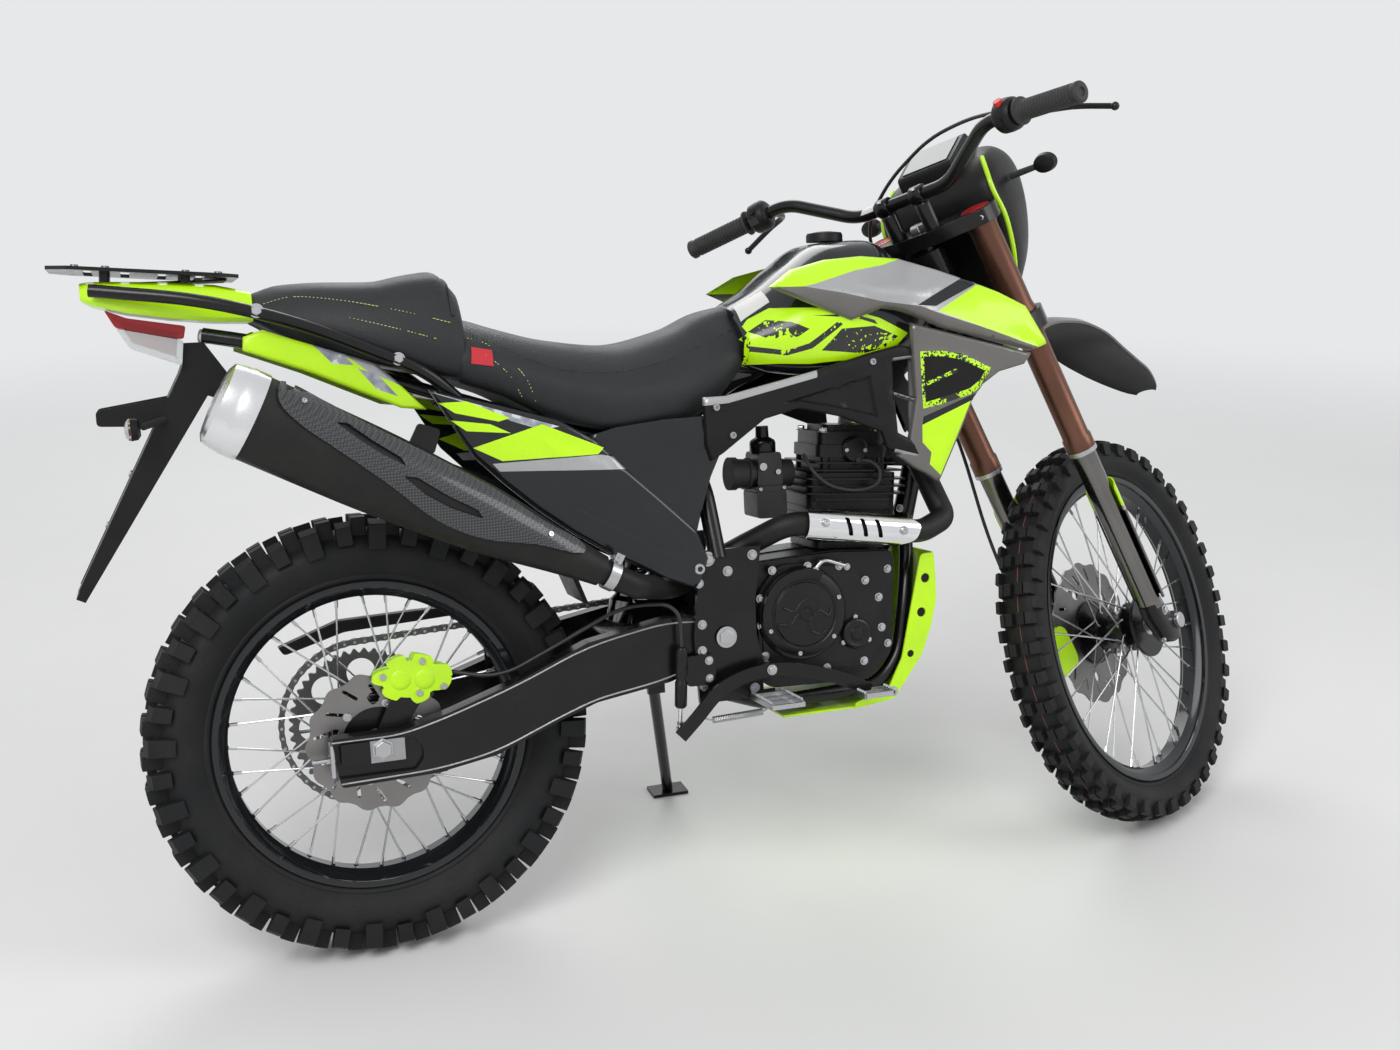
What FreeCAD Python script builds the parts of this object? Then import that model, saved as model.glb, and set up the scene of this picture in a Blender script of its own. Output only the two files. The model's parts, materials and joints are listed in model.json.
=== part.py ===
"""Dual sport motorcycle, resting on its side stand with the steering turned to its left stop.

Every sub-part is drawn in the upright machine: X forward, Y to the left, Z up, with the origin
on the ground line under the rear axle. The lean, the steering and the place on the ground come
with the placements.
"""
import FreeCAD, Part
import math
import os
import Sketcher
from FreeCAD import Placement, Rotation, Vector

os.makedirs("parts", exist_ok=True)
DOC = FreeCAD.newDocument("motorcycle")


# Sizes

SIZES = (
    ("grid", 1000), ("wheelbase", 1372), ("rear_axle_up", 338), ("front_axle_up", 350),
    ("rake_angle", 25.3), ("lean_angle", 9.1), ("steer_angle", 31),
    ("axle_lead", 60), ("leg_lead", 29), ("leg_side", 96),
    ("skin", 4), ("seat_gap", 0.3), ("run_gap", 5), ("pin_gap", 0.3), ("bolt_rad", 4.5),
    # wheels
    ("rear_tyre_rad", 338), ("rear_tyre_half", 58), ("rear_tyre_tall", 101), ("rear_lip_half", 34),
    ("front_tyre_rad", 350), ("front_tyre_half", 45), ("front_tyre_tall", 71),
    ("front_lip_half", 27), ("rear_knob_count", 20),
    ("front_knob_count", 20), ("rear_knob_long", 27), ("front_knob_long", 24),
    ("rear_tread_tall", 20), ("front_tread_tall", 13), ("rim_wall", 3), ("rim_seat_drop", 9), ("rim_well_drop", 19),
    ("rim_base_drop", 25), ("rim_well_half", 12), ("tread_drop", 14), ("bead_rise", 3),
    ("rear_hub_rad", 30), ("rear_flange_rad", 62),
    ("rear_flange_out", 30), ("flange_wide", 5), ("disc_seat_rad", 59),
    ("front_hub_rad", 22), ("front_flange_rad", 44), ("front_hub_half", 58),
    ("front_flange_out", 26), ("axle_rad", 8.5), ("spacer_rad", 14), ("nut_rad", 14),
    ("nut_wide", 9), ("spoke_wide", 3.6), ("spoke_count", 36),
    ("rear_disc_rad", 106), ("front_disc_rad", 132), ("disc_hole_rad", 52), ("disc_wide", 4),
    ("disc_out", 70), ("front_disc_out", 59),
    ("sprocket_rad", 117), ("sprocket_hole_rad", 48), ("sprocket_wide", 6),
    ("rear_tooth_count", 46), ("tooth_tall", 8), ("hole_count", 8), ("slot_count", 12),
    ("slot_wide", 6),
    ("chain_out", 74), ("chain_wide", 15), ("chain_tall", 12), ("chain_rad", 129),
    ("drive_rad", 37.7), ("drive_chain_rad", 44), ("drive_x", 600), ("drive_z", 455),
    # frame and swingarm
    ("head_rad", 27), ("head_low", 640), ("head_high", 790), ("stem_rad", 15),
    ("backbone_rad", 22), ("down_rad", 18), ("cradle_rad", 12), ("rail_rad", 10),
    ("plate_in", 118.5), ("plate_wide", 8), ("pivot_x", 540), ("pivot_z", 447),
    ("pivot_rad", 22), ("pivot_bolt_rad", 9), ("pivot_head_rad", 14),
    ("arm_in", 88), ("arm_wide", 30), ("adjuster_wide", 5),
    # engine
    ("case_right", 100), ("case_left", 56), ("stator_left", 110), ("clutch_rad", 77),
    ("clutch_wide", 30), ("clutch_x", 677), ("clutch_z", 468), ("stator_rad", 62),
    ("stator_wide", 24), ("filter_rad", 27), ("filter_x", 769), ("filter_z", 426),
    ("fin_pitch", 12), ("fin_thick", 3), ("fin_count", 9), ("barrel_half", 55),
    ("fin_half_y", 76), ("fin_half_x", 92), ("barrel_x", 793), ("barrel_z", 556),
    ("barrel_tall", 168), ("barrel_tilt", 4), ("header_rad", 19), ("shield_rad", 24),
    ("shield_gap", 0.4), ("shield_wall", 1.2),
    # fork, measured along the steering axis
    ("tube_rad", 27), ("tube_low", 363), ("tube_high", 826), ("stanchion_rad", 21),
    ("clamp_low", 600), ("clamp_thick", 32), ("clamp_top", 800), ("clamp_top_thick", 25),
    ("foot_top", 60), ("foot_low", 32), ("foot_half", 18), ("guard_rad", 29),
    ("guard_wall", 3), ("guard_drop", 63), ("bar_rad", 11), ("grip_rad", 16.5), ("riser_rad", 14),
    ("lever_rad", 5),
    # stand, pegs and controls
    ("stand_rad", 10), ("stand_x", 500), ("stand_y", 144.5), ("stand_z", 334),
    ("stand_pin_rad", 6), ("stand_eye_rad", 14),
    ("stand_foot_x", 590), ("stand_foot_y", 385), ("stand_foot_long", 34),
    ("stand_foot_wide", 22), ("stand_foot_thick", 6),
    ("peg_long", 96), ("peg_wide", 56), ("peg_thick", 14), ("pedal_rad", 7),
    ("hose_rad", 3.1), ("rack_thick", 5), ("rack_hole_rad", 3.3), ("grab_rad", 9),
)


class Size(float):
    """A number that carries the formula it came from, written in the cells of the sheet."""

    def __new__(cls, value, formula):
        made = super().__new__(cls, value)
        made.formula = formula
        return made

    def __add__(self, other):
        return Size(float(self) + float(other), f"({self.formula} + {formula_of(other)})")

    def __radd__(self, other):
        return Size(float(other) + float(self), f"({formula_of(other)} + {self.formula})")

    def __sub__(self, other):
        return Size(float(self) - float(other), f"({self.formula} - {formula_of(other)})")

    def __rsub__(self, other):
        return Size(float(other) - float(self), f"({formula_of(other)} - {self.formula})")

    def __mul__(self, other):
        return Size(float(self) * float(other), f"({self.formula} * {formula_of(other)})")

    def __rmul__(self, other):
        return Size(float(other) * float(self), f"({formula_of(other)} * {self.formula})")

    def __truediv__(self, other):
        return Size(float(self) / float(other), f"({self.formula} / {formula_of(other)})")

    def __neg__(self):
        return Size(-float(self), f"(-1 * {self.formula})")


def formula_of(value):
    """Formula text of a number, plain or from the sheet."""
    return value.formula if isinstance(value, Size) else repr(float(value))


class SizeSheet:
    """The sizes of the sheet, each read by its alias."""

    def __init__(self, table):
        self.sheet = DOC.addObject("Spreadsheet::Sheet", "Sizes")
        self.values = {}
        for row, (alias, value) in enumerate(table, 1):
            self.sheet.set(f"A{row}", alias)
            self.sheet.set(f"B{row}", str(value))
            self.sheet.setAlias(f"B{row}", alias)
            self.values[alias] = value
        DOC.recompute()

    def __getattr__(self, alias):
        return Size(self.values[alias], f"Sizes.{alias}")


S = SizeSheet(SIZES)
GRID = S.grid
LEFT, RIGHT = 1, -1
SIDES = (LEFT, RIGHT)


# Placements

def spot(x, y, z):
    """Point of the upright machine from shares of the drawing grid."""
    return Vector(x * GRID, y * GRID, z * GRID)


def turned(axis, degrees):
    """Placement that turns about an axis through the origin."""
    return Placement(Vector(), Rotation(axis, float(degrees)))


def moved(x, y, z):
    """Placement that only moves."""
    return Placement(Vector(x, y, z), Rotation())


AXIS_X, AXIS_Y, AXIS_Z = Vector(1, 0, 0), Vector(0, 1, 0), Vector(0, 0, 1)


def fork_place():
    """Fork frame: origin on the steering axis beside the front axle, Z up along the axis."""
    turn = turned(AXIS_Y, -S.rake_angle)
    foot = Vector(S.wheelbase, 0, S.front_axle_up) - turn.multVec(Vector(S.axle_lead, 0, 0))
    return Placement(foot, turn.Rotation)


FORK = fork_place()
STEER = turned(AXIS_Z, S.steer_angle)
FOLDED = Vector(-1, 0.02, 0.1)


def tyre_rings(radius, half):
    """Circles of the tread that can meet the ground, as radius and place across."""
    shoulder_share, crown_share = 0.9, 0.52
    drop = S.tread_drop
    return ((radius - drop, half * shoulder_share), (radius - drop / 6, half * crown_share))


def lowest(place, rings):
    """Height of the lowest point of the rings of a wheel put at a place."""
    axis = place.Rotation.multVec(AXIS_Y)
    slope = math.sqrt(1 - axis.z * axis.z)
    return min(place.Base.z + side * across * axis.z - radius * slope
               for radius, across in rings for side in SIDES)


def standing_place():
    """Placement of the upright machine as it rests: leaned, level on both tyres."""
    rear_rings = tyre_rings(S.rear_tyre_rad, S.rear_tyre_half)
    front_rings = tyre_rings(S.front_tyre_rad, S.front_tyre_half)
    rear = moved(0, 0, S.rear_axle_up)
    front = FORK * STEER * moved(S.axle_lead, 0, 0)
    leaned = turned(AXIS_X, -S.lean_angle)
    pitch, rounds = 0.0, 6
    for _ in range(rounds):
        place = turned(AXIS_Y, pitch) * leaned
        back, ahead = lowest(place * rear, rear_rings), lowest(place * front, front_rings)
        pitch += math.degrees(math.atan2(ahead - back, S.wheelbase))
    place = turned(AXIS_Y, pitch) * leaned
    return moved(0, 0, -lowest(place * rear, rear_rings)) * place


STAND = standing_place()
REAR_WHEEL = STAND * moved(0, 0, S.rear_axle_up)
REAR_LIP_RAD = S.rear_tyre_rad - S.rear_tyre_tall
FRONT_LIP_RAD = S.front_tyre_rad - S.front_tyre_tall
STEERED = STAND * FORK * STEER
FRONT_WHEEL = STEERED * moved(S.axle_lead, 0, 0)


# Drawing of bodies

MADE = []


def body(label, place):
    """New body at its place."""
    made = DOC.addObject("PartDesign::Body", label)
    made.Label = label
    MADE.append((made, place))
    return made


def sketch(owner, name, plane, lift=None):
    """Sketch on an origin plane of its body, lifted off it along its normal."""
    made = owner.newObject("Sketcher::SketchObject", name)
    support = next(item for item in owner.Origin.OriginFeatures if item.Role == plane)
    made.AttachmentSupport = [(support, "")]
    made.MapMode = "FlatFace"
    if lift is not None:
        made.setExpression("AttachmentOffset.Base.z", formula_of(lift))
    return made


def hold(sketched, kind, geometry, end, value):
    """Hold one end of a piece of geometry to a size of the sheet."""
    index = sketched.addConstraint(
        Sketcher.Constraint(kind, -1, 1, geometry, end, float(value)))
    if isinstance(value, Size):
        sketched.setExpression(f"Constraints[{index}]", value.formula)


def polygon(sketched, corners):
    """Closed outline with every corner held."""
    first = sketched.GeometryCount
    count = len(corners)
    for index in range(count):
        start, end = corners[index], corners[(index + 1) % count]
        line = Part.LineSegment(Vector(start[0], start[1], 0), Vector(end[0], end[1], 0))
        sketched.addGeometry(line, False)
    for index in range(count):
        follow = first + (index + 1) % count
        sketched.addConstraint(Sketcher.Constraint("Coincident", first + index, 2, follow, 1))
    for index, (across, up) in enumerate(corners):
        hold(sketched, "DistanceX", first + index, 1, across)
        hold(sketched, "DistanceY", first + index, 1, up)


def circle(sketched, across, up, radius):
    """Circle with its centre and radius held."""
    centre = Vector(across, up, 0)
    index = sketched.addGeometry(Part.Circle(centre, AXIS_Z, float(radius)), False)
    hold(sketched, "DistanceX", index, 3, across)
    hold(sketched, "DistanceY", index, 3, up)
    held = sketched.addConstraint(Sketcher.Constraint("Radius", index, float(radius)))
    if isinstance(radius, Size):
        sketched.setExpression(f"Constraints[{held}]", radius.formula)


def feature(owner, kind, name, profile, length=None):
    """Pad, pocket or another feature on a sketch."""
    made = owner.newObject(f"PartDesign::{kind}", name)
    made.Profile = profile
    if length is not None:
        made.setExpression("Length", formula_of(length))
    return made


def slab(owner, name, low, high, corners=None, rounds=(), cut=False):
    """Pad or pocket between two places across the machine, drawn in the side view."""
    drawn = sketch(owner, f"{name}_sketch", "XZ_Plane", -high)
    if corners:
        polygon(drawn, corners)
    for across, up, radius in rounds:
        circle(drawn, across, up, radius)
    made = feature(owner, "Pocket" if cut else "Pad", name, drawn, high - low)
    if cut:
        made.Reversed = True
    return made


def both_sides(owner, name, low, high, corners=None, rounds=()):
    """The same slab on the left and the right of the machine."""
    slab(owner, f"{name}_left", low, high, corners, rounds)
    slab(owner, f"{name}_right", -high, -low, corners, rounds)


def ring(owner, name, profile):
    """Revolution about the axle of a profile given as radius and place across."""
    drawn = sketch(owner, f"{name}_sketch", "XY_Plane")
    polygon(drawn, profile)
    made = feature(owner, "Revolution", name, drawn)
    made.ReferenceAxis = (drawn, ["V_Axis"])
    return made


def grid_points(table):
    """Corners in sizes of the sheet from shares of the drawing grid."""
    return tuple((GRID * first, GRID * second) for first, second in table)


def mirrored(points):
    """Half outline followed by its mirror image."""
    return tuple(points) + tuple((first, -second) for first, second in reversed(points))


# Shapes by functions

def shaped(label, place, shape):
    """Sub-part whose shape is set from its functions."""
    made = DOC.addObject("Part::Feature", label)
    made.Label = label
    made.Shape = shape
    MADE.append((made, place * shape.Placement))
    return made


def joined(shapes):
    """Union of shapes, with one face where faces lie flush."""
    first, *rest = shapes
    return first.fuse(rest).removeSplitter() if rest else first


def side_wire(points, across):
    """Closed wire in the side view at one place across."""
    corners = [Vector(x * GRID, across, z * GRID) for x, z in points]
    return Part.makePolygon(corners + corners[:1])


def side_solid(points, low, high):
    """Solid of an outline in the side view, in shares of the grid, between two places."""
    face = Part.Face(side_wire(points, low))
    return face.extrude(Vector(0, high - low, 0))


def dished(points, low, high, keep_share):
    """Panel whose outer face is smaller than its inner face by a share."""
    middle_x = sum(x for x, _ in points) / len(points)
    middle_z = sum(z for _, z in points) / len(points)
    shrunk = [(middle_x + (x - middle_x) * keep_share, middle_z + (z - middle_z) * keep_share)
              for x, z in points]
    wires = [side_wire(points, low), side_wire(shrunk, high)]
    return Part.makeLoft(wires, True, True)


def mirror(shape):
    """Shape on the other side of the machine."""
    return shape.mirror(Vector(), AXIS_Y)


def pair(shape):
    """Shape and its mirror image."""
    return Part.makeCompound([shape, mirror(shape)])


def rod(start, end, radius):
    """Round bar between two points."""
    return Part.makeCylinder(radius, (end - start).Length, start, end - start)


BEND_SHARE = 0.45


def bend_at(before, corner, after, bend_share):
    """Length cut from both runs at a corner and the radius of the arc between them."""
    back, ahead = before - corner, after - corner
    cut = bend_share * min(back.Length, ahead.Length)
    return cut, cut * math.tan(back.getAngle(ahead) / 2)


def spine(points, bend_share):
    """Wire of straight runs joined by tangent arcs."""
    edges, last = [], points[0]
    for before, corner, after in zip(points, points[1:], points[2:]):
        back, ahead = before - corner, after - corner
        half = back.getAngle(ahead) / 2
        cut, bend = bend_at(before, corner, after, bend_share)
        back.normalize()
        ahead.normalize()
        start, end = corner + back * cut, corner + ahead * cut
        inward = back + ahead
        inward.normalize()
        centre = corner + inward * (cut / math.cos(half))
        edges.append(Part.makeLine(last, start))
        edges.append(Part.Arc(start, centre - inward * bend, end).toShape())
        last = end
    edges.append(Part.makeLine(last, points[-1]))
    return Part.Wire(edges)


def pipe(points, radius, bend_share=BEND_SHARE):
    """Round bar along straight runs joined by tangent arcs."""
    disc = Part.Wire(Part.makeCircle(radius, points[0], points[1] - points[0]))
    return spine(points, bend_share).makePipeShell([disc], True, True)


def hose(label, place, points):
    """Hose along its route, with the radii of its bends and how full it is in the log."""
    made = pipe(points, S.hose_rad)
    bends = [round(bend_at(*corners, BEND_SHARE)[1], 1)
             for corners in zip(points, points[1:], points[2:])]
    length = spine(points, BEND_SHARE).Length
    full = made.Volume / (math.pi * S.hose_rad ** 2 * length)
    print("hose", label, "bends", bends, "length", round(length, 1), "fullness", round(full, 4))
    shaped(label, place, made)


def grid_path(table):
    """Points of a path from shares of the grid."""
    return [spot(*row) for row in table]


def box(low, high):
    """Box between two corners given in shares of the grid."""
    first, second = spot(*low), spot(*high)
    size = second - first
    return Part.makeBox(size.x, size.y, size.z, first)


def body_loft(table, smooth=True):
    """Solid through cross-sections along the machine, each a rounded arch in shares.

    A row holds the place along, the heights of foot, waist, shoulder and crown and the half
    widths of foot, waist and shoulder.
    """
    wires = []
    for along, foot, waist, shoulder, crown, foot_half, waist_half, shoulder_half in table:
        half = ((foot_half, foot), (waist_half, waist), (shoulder_half, shoulder))
        left = [spot(along, side, up) for side, up in half]
        right = [spot(along, -side, up) for side, up in reversed(half)]
        corners = left + [spot(along, 0, crown)] + right
        wires.append(Part.makePolygon(corners + corners[:1]))
    return Part.makeLoft(wires, True, not smooth)


# Wheels

def rim(label, place, lip_rad, lip_half):
    """Spoked rim: lips, bead seats and the well between them."""
    seat = lip_rad - S.rim_seat_drop
    well = lip_rad - S.rim_well_drop
    base = lip_rad - S.rim_base_drop
    outer = ((lip_rad, lip_half), (lip_rad, lip_half - S.rim_wall),
             (seat, lip_half - S.rim_wall - S.rim_wall / 3), (seat, S.rim_well_half + S.rim_wall * 2),
             (well, S.rim_well_half))
    inner = ((base, S.rim_well_half), (seat - S.rim_wall * 2, S.rim_well_half + S.rim_wall * 3),
             (seat - S.rim_wall / 2, lip_half))
    profile = outer + tuple((rad, -out) for rad, out in reversed(outer))
    profile += tuple((rad, -out) for rad, out in reversed(inner)) + inner
    made = body(label, place)
    ring(made, f"{label}_ring", profile)


# Rows of tread blocks: shift along by a share of the pitch, then the inner foot, inner top,
# outer top and outer foot, each as a drop in shares of the tread drop and a place in shares
# of the half width.

REAR_ROW_SHARES = (
    (0.5, ((2.14, 0.57), (0.50, 0.63), (1.00, 0.90), (3.00, 0.965))),
    (0.0, ((1.70, 0.20), (1 / 6, 0.235), (1 / 6, 0.52), (2.05, 0.58))))
FRONT_ROW_SHARES = (
    (0.5, ((2.30, 0.58), (0.60, 0.69), (1.00, 0.90), (2.30, 0.80))),
    (0.0, ((1.10, 0.08), (1 / 6, 0.11), (1 / 6, 0.52), (1.35, 0.58))))


def faceted(profile, count):
    """Solid of revolution about the axle with flat facets, from radius and place across."""
    rings, sides = [], count * 2
    reach = 1 / math.cos(math.pi / sides)
    for index in range(sides):
        turn = turned(AXIS_Y, (index + 1 / 2) * 360 / sides)
        rings.append([turn.multVec(Vector(0, out, rad * reach)) for rad, out in profile])
    faces = []
    for index, here in enumerate(rings):
        there = rings[(index + 1) % len(rings)]
        for first in range(len(profile)):
            after = (first + 1) % len(profile)
            corners = [here[first], here[after], there[after], there[first], here[first]]
            faces.append(Part.Face(Part.makePolygon(corners)))
    return Part.Solid(Part.Shell(faces))


def knob(section, side, long):
    """Tread block of a section given as radius and place across."""
    corners = [Vector(-long / 2, side * out, rad) for rad, out in section]
    return Part.Face(Part.makePolygon(corners + corners[:1])).extrude(Vector(long, 0, 0))


def tyre(label, place, tyre_rad, tyre_half, lip_rad, lip_half, tread_tall, row_shares, count,
         long):
    """Tyre seated on its rim, with rows of tread blocks around it."""
    seat = lip_rad - S.rim_seat_drop + S.seat_gap
    bead = lip_half - S.rim_wall - S.rim_wall / 3 - S.seat_gap
    side = tyre_rad - lip_rad
    wide_share, upper_share, crown_share = 0.55, 0.86, 0.5
    half = ((seat, bead), (lip_rad + S.seat_gap, bead), (lip_rad + S.bead_rise, lip_half),
            (lip_rad + side * wide_share, tyre_half * upper_share),
            (tyre_rad - tread_tall, tyre_half * crown_share))
    shapes = [faceted(mirrored(half), int(count))]
    down = place.Rotation.inverted().multVec(-AXIS_Z)
    phase = math.degrees(math.atan2(down.x, down.z))
    for shift, points in row_shares:
        section = [(tyre_rad - S.tread_drop * drop, tyre_half * out) for drop, out in points]
        for lug_side in SIDES:
            first = knob(section, lug_side, long)
            for index in range(int(count)):
                copy = first.copy()
                copy.Placement = turned(AXIS_Y, (index + shift) * 360 / count)
                shapes.append(copy)
    whole = shapes[0].fuse(shapes[1:])
    whole.Placement = turned(AXIS_Y, phase)
    return shaped(label, place, whole)


def hub(label, place, hub_rad, flange_rad, flange_out, seats, rim_base):
    """Hub with its flanges, its seats on the right and left, and the spokes to the rim."""
    bore = S.axle_rad + S.pin_gap
    wide = S.flange_wide
    turned_profile = []
    for side, seat in zip((RIGHT, LEFT), seats):
        half = [(bore, seat), (S.disc_seat_rad, seat), (S.disc_seat_rad, seat - wide),
                (hub_rad, seat - wide * 2), (hub_rad, flange_out + wide),
                (flange_rad, flange_out), (flange_rad, flange_out - wide),
                (hub_rad, flange_out - wide * 2)]
        corners = [Vector(rad, side * out, 0) for rad, out in half]
        turned_profile += corners if side == RIGHT else corners[::-1]
    core = Part.Face(Part.makePolygon(turned_profile + turned_profile[:1]))
    shapes = [core.revolve(Vector(), AXIS_Y, 360)]
    count = int(S.spoke_count)
    half_wide = S.spoke_wide / 2
    sink_share = 0.1
    lean_turn = 360 / count * 3
    for index in range(count):
        side = LEFT if index % 2 else RIGHT
        way = LEFT if index % 4 < 2 else RIGHT
        turn = turned(AXIS_Y, 360 / count * index)
        start_turn = turned(AXIS_Y, 360 / count * index + way * lean_turn)
        root = flange_rad * (1 - sink_share)
        start = start_turn.multVec(Vector(root, side * (flange_out - wide / 2), 0))
        end = turn.multVec(Vector(rim_base - S.seat_gap * 3, 0, 0))
        along = end - start
        shapes.append(prism(start, along, half_wide))
    return shaped(label, place, joined(shapes))


def prism(start, along, half_wide):
    """Square bar from a point along a vector."""
    length = along.Length
    made = Part.makeBox(half_wide * 2, half_wide * 2, length,
                        Vector(-half_wide, -half_wide, 0))
    made.Placement = Placement(start, Rotation(AXIS_Z, along))
    return made


def disc(label, place, radius, out):
    """Brake disc on its hub, with slanted slots and a scalloped edge."""
    low, high = out - S.disc_wide / 2, out + S.disc_wide / 2
    start, across = Vector(0, low, 0), Vector(0, high - low, 0)
    whole = rod(start, start + across, radius).cut(rod(start, start + across, S.disc_hole_rad))
    inner_share, outer_share, slant = 0.30, 0.72, 26
    band = radius - S.disc_hole_rad
    cuts = []
    for index in range(int(S.slot_count)):
        turn = turned(AXIS_Y, 360 / S.slot_count * index)
        inner = Vector(0, low, S.disc_hole_rad + band * inner_share)
        outer = turned(AXIS_Y, slant / 2).multVec(
            Vector(0, low, S.disc_hole_rad + band * outer_share))
        slot = Part.makeBox(S.slot_wide, high - low, (outer - inner).Length,
                            Vector(-S.slot_wide / 2, 0, 0))
        slot.Placement = turn * Placement(inner, Rotation(AXIS_Z, outer - inner))
        edge = turned(AXIS_Y, 360 / S.slot_count * (index + 1 / 2))
        scallop = rod(start, start + across, S.slot_wide)
        scallop.Placement = edge * moved(0, 0, radius + S.slot_wide / 2) * scallop.Placement
        cuts += [slot, scallop]
    return shaped(label, place, whole.cut(cuts))


def rear_seats():
    """Ends of the rear hub on the right and left, just inside the disc and the sprocket."""
    return (S.disc_out - S.disc_wide / 2 - S.seat_gap,
            S.chain_out - S.sprocket_wide / 2 - S.seat_gap)


def front_seats():
    """Ends of the front hub on the right and left."""
    return (S.front_hub_half, S.front_disc_out - S.disc_wide / 2 - S.seat_gap)


def rear_wheel():
    """Rear wheel with its tyre, rim, hub, disc and sprocket."""
    tyre("rear_tyre", REAR_WHEEL, S.rear_tyre_rad, S.rear_tyre_half, REAR_LIP_RAD,
         S.rear_lip_half, S.rear_tread_tall, REAR_ROW_SHARES, S.rear_knob_count, S.rear_knob_long)
    rim("rear_rim", REAR_WHEEL, REAR_LIP_RAD, S.rear_lip_half)
    hub("rear_hub", REAR_WHEEL, S.rear_hub_rad, S.rear_flange_rad, S.rear_flange_out,
        rear_seats(), REAR_LIP_RAD - S.rim_base_drop)
    disc("rear_disc", REAR_WHEEL, S.rear_disc_rad, -S.disc_out)
    sprocket("rear_sprocket", REAR_WHEEL, S.sprocket_rad, S.sprocket_hole_rad,
             S.rear_tooth_count)


def sprocket(label, place, tip_rad, hole_rad, count):
    """Toothed ring with round holes between its hub and its teeth."""
    low, high = S.chain_out - S.sprocket_wide / 2, S.chain_out + S.sprocket_wide / 2
    root_rad = tip_rad - S.tooth_tall
    pitch = 2 * math.pi / float(count)
    tip_share, root_share = 0.1, 0.3
    corners = []
    for index in range(int(count)):
        for share, radius in ((-root_share, root_rad), (-tip_share, tip_rad),
                              (tip_share, tip_rad), (root_share, root_rad)):
            turn = (index + share) * pitch
            corners.append(Vector(radius * math.sin(turn), low, radius * math.cos(turn)))
    whole = Part.Face(Part.makePolygon(corners + corners[:1])).extrude(Vector(0, high - low, 0))
    holes = [rod(Vector(0, low * 0, 0), Vector(0, high * 2, 0), hole_rad)]
    middle_rad = (hole_rad + root_rad) / 2
    round_rad = (root_rad - hole_rad) / 2 - S.tooth_tall
    for index in range(int(S.hole_count)):
        turn = 2 * math.pi * index / float(S.hole_count)
        centre = Vector(middle_rad * math.sin(turn), 0, middle_rad * math.cos(turn))
        holes.append(rod(centre, centre + Vector(0, high * 2, 0), round_rad))
    return shaped(label, place, whole.cut(holes))


def front_wheel():
    """Front wheel with its tyre, rim, hub and disc."""
    tyre("front_tyre", FRONT_WHEEL, S.front_tyre_rad, S.front_tyre_half, FRONT_LIP_RAD,
         S.front_lip_half, S.front_tread_tall, FRONT_ROW_SHARES, S.front_knob_count, S.front_knob_long)
    rim("front_rim", FRONT_WHEEL, FRONT_LIP_RAD, S.front_lip_half)
    hub("front_hub", FRONT_WHEEL, S.front_hub_rad, S.front_flange_rad, S.front_flange_out,
        front_seats(), FRONT_LIP_RAD - S.rim_base_drop)
    disc("front_disc", FRONT_WHEEL, S.front_disc_rad, S.front_disc_out)


# Frame and swingarm

def frame():
    """Welded frame: head tube, backbone, down tube, cradle, pivot plates and seat rails."""
    head_low, head_high = Vector(0, 0, S.head_low), Vector(0, 0, S.head_high)
    head = rod(FORK.multVec(head_low), FORK.multVec(head_high), S.head_rad)
    head_bore = rod(FORK.multVec(head_low * 0), FORK.multVec(head_high * 2),
                    S.stem_rad + S.pin_gap)
    backbone_shares = ((1.0, 0, 0.945), (0.80, 0, 0.875), (0.60, 0, 0.795), (0.525, 0, 0.705))
    down_shares = ((1.005, 0, 0.938), (0.915, 0, 0.59))
    cradle_shares = ((0.915, 0.01, 0.595), (0.885, 0.07, 0.50), (0.858, 0.085, 0.375),
                     (0.815, 0.09, 0.330), (0.62, 0.100, 0.325), (0.548, 0.112, 0.352))
    spar_shares = ((0.53, 0.0, 0.712), (0.528, 0.085, 0.69), (0.535, 0.122, 0.57))
    rail_shares = ((0.54, 0.03, 0.718), (0.50, 0.08, 0.732), (0.40, 0.085, 0.757),
                   (0.12, 0.088, 0.850), (-0.13, 0.075, 0.9375), (-0.20, 0.055, 0.9512))
    stay_shares = ((0.515, 0.1135, 0.56), (0.42, 0.105, 0.64), (0.15, 0.09, 0.835))
    plate_shares = ((0.493, 0.345), (0.600, 0.345), (0.600, 0.41), (0.592, 0.445), (0.592, 0.50),
                    (0.605, 0.585),
                    (0.505, 0.585), (0.488, 0.45))
    half = [pipe(grid_path(cradle_shares), S.cradle_rad),
            pipe(grid_path(spar_shares), S.rail_rad * 1.4),
            pipe(grid_path(rail_shares), S.rail_rad),
            pipe(grid_path(stay_shares), S.rail_rad),
            side_solid(plate_shares, S.plate_in, S.plate_in + S.plate_wide)]
    middle = [head, pipe(grid_path(backbone_shares), S.backbone_rad),
              rod(*grid_path(down_shares), S.down_rad),
              rod(spot(0.525, -0.12, 0.36), spot(0.525, 0.12, 0.36), S.rail_rad),
              rod(spot(0.12, -0.088, 0.850), spot(0.12, 0.088, 0.850), S.rail_rad),
              rod(spot(-0.192, -0.058, 0.9485), spot(-0.192, 0.058, 0.9485), S.rail_rad)]
    across = S.plate_in + S.plate_wide + S.nut_wide / 2
    pivot = Vector(S.pivot_x, 0, S.pivot_z)
    bolt = rod(pivot - AXIS_Y * across, pivot + AXIS_Y * across, S.pivot_bolt_rad)
    whole = joined(middle + half + [mirror(shape) for shape in half] + [bolt] + stand_lug())
    shaped("frame", STAND, whole.cut(head_bore))


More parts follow.
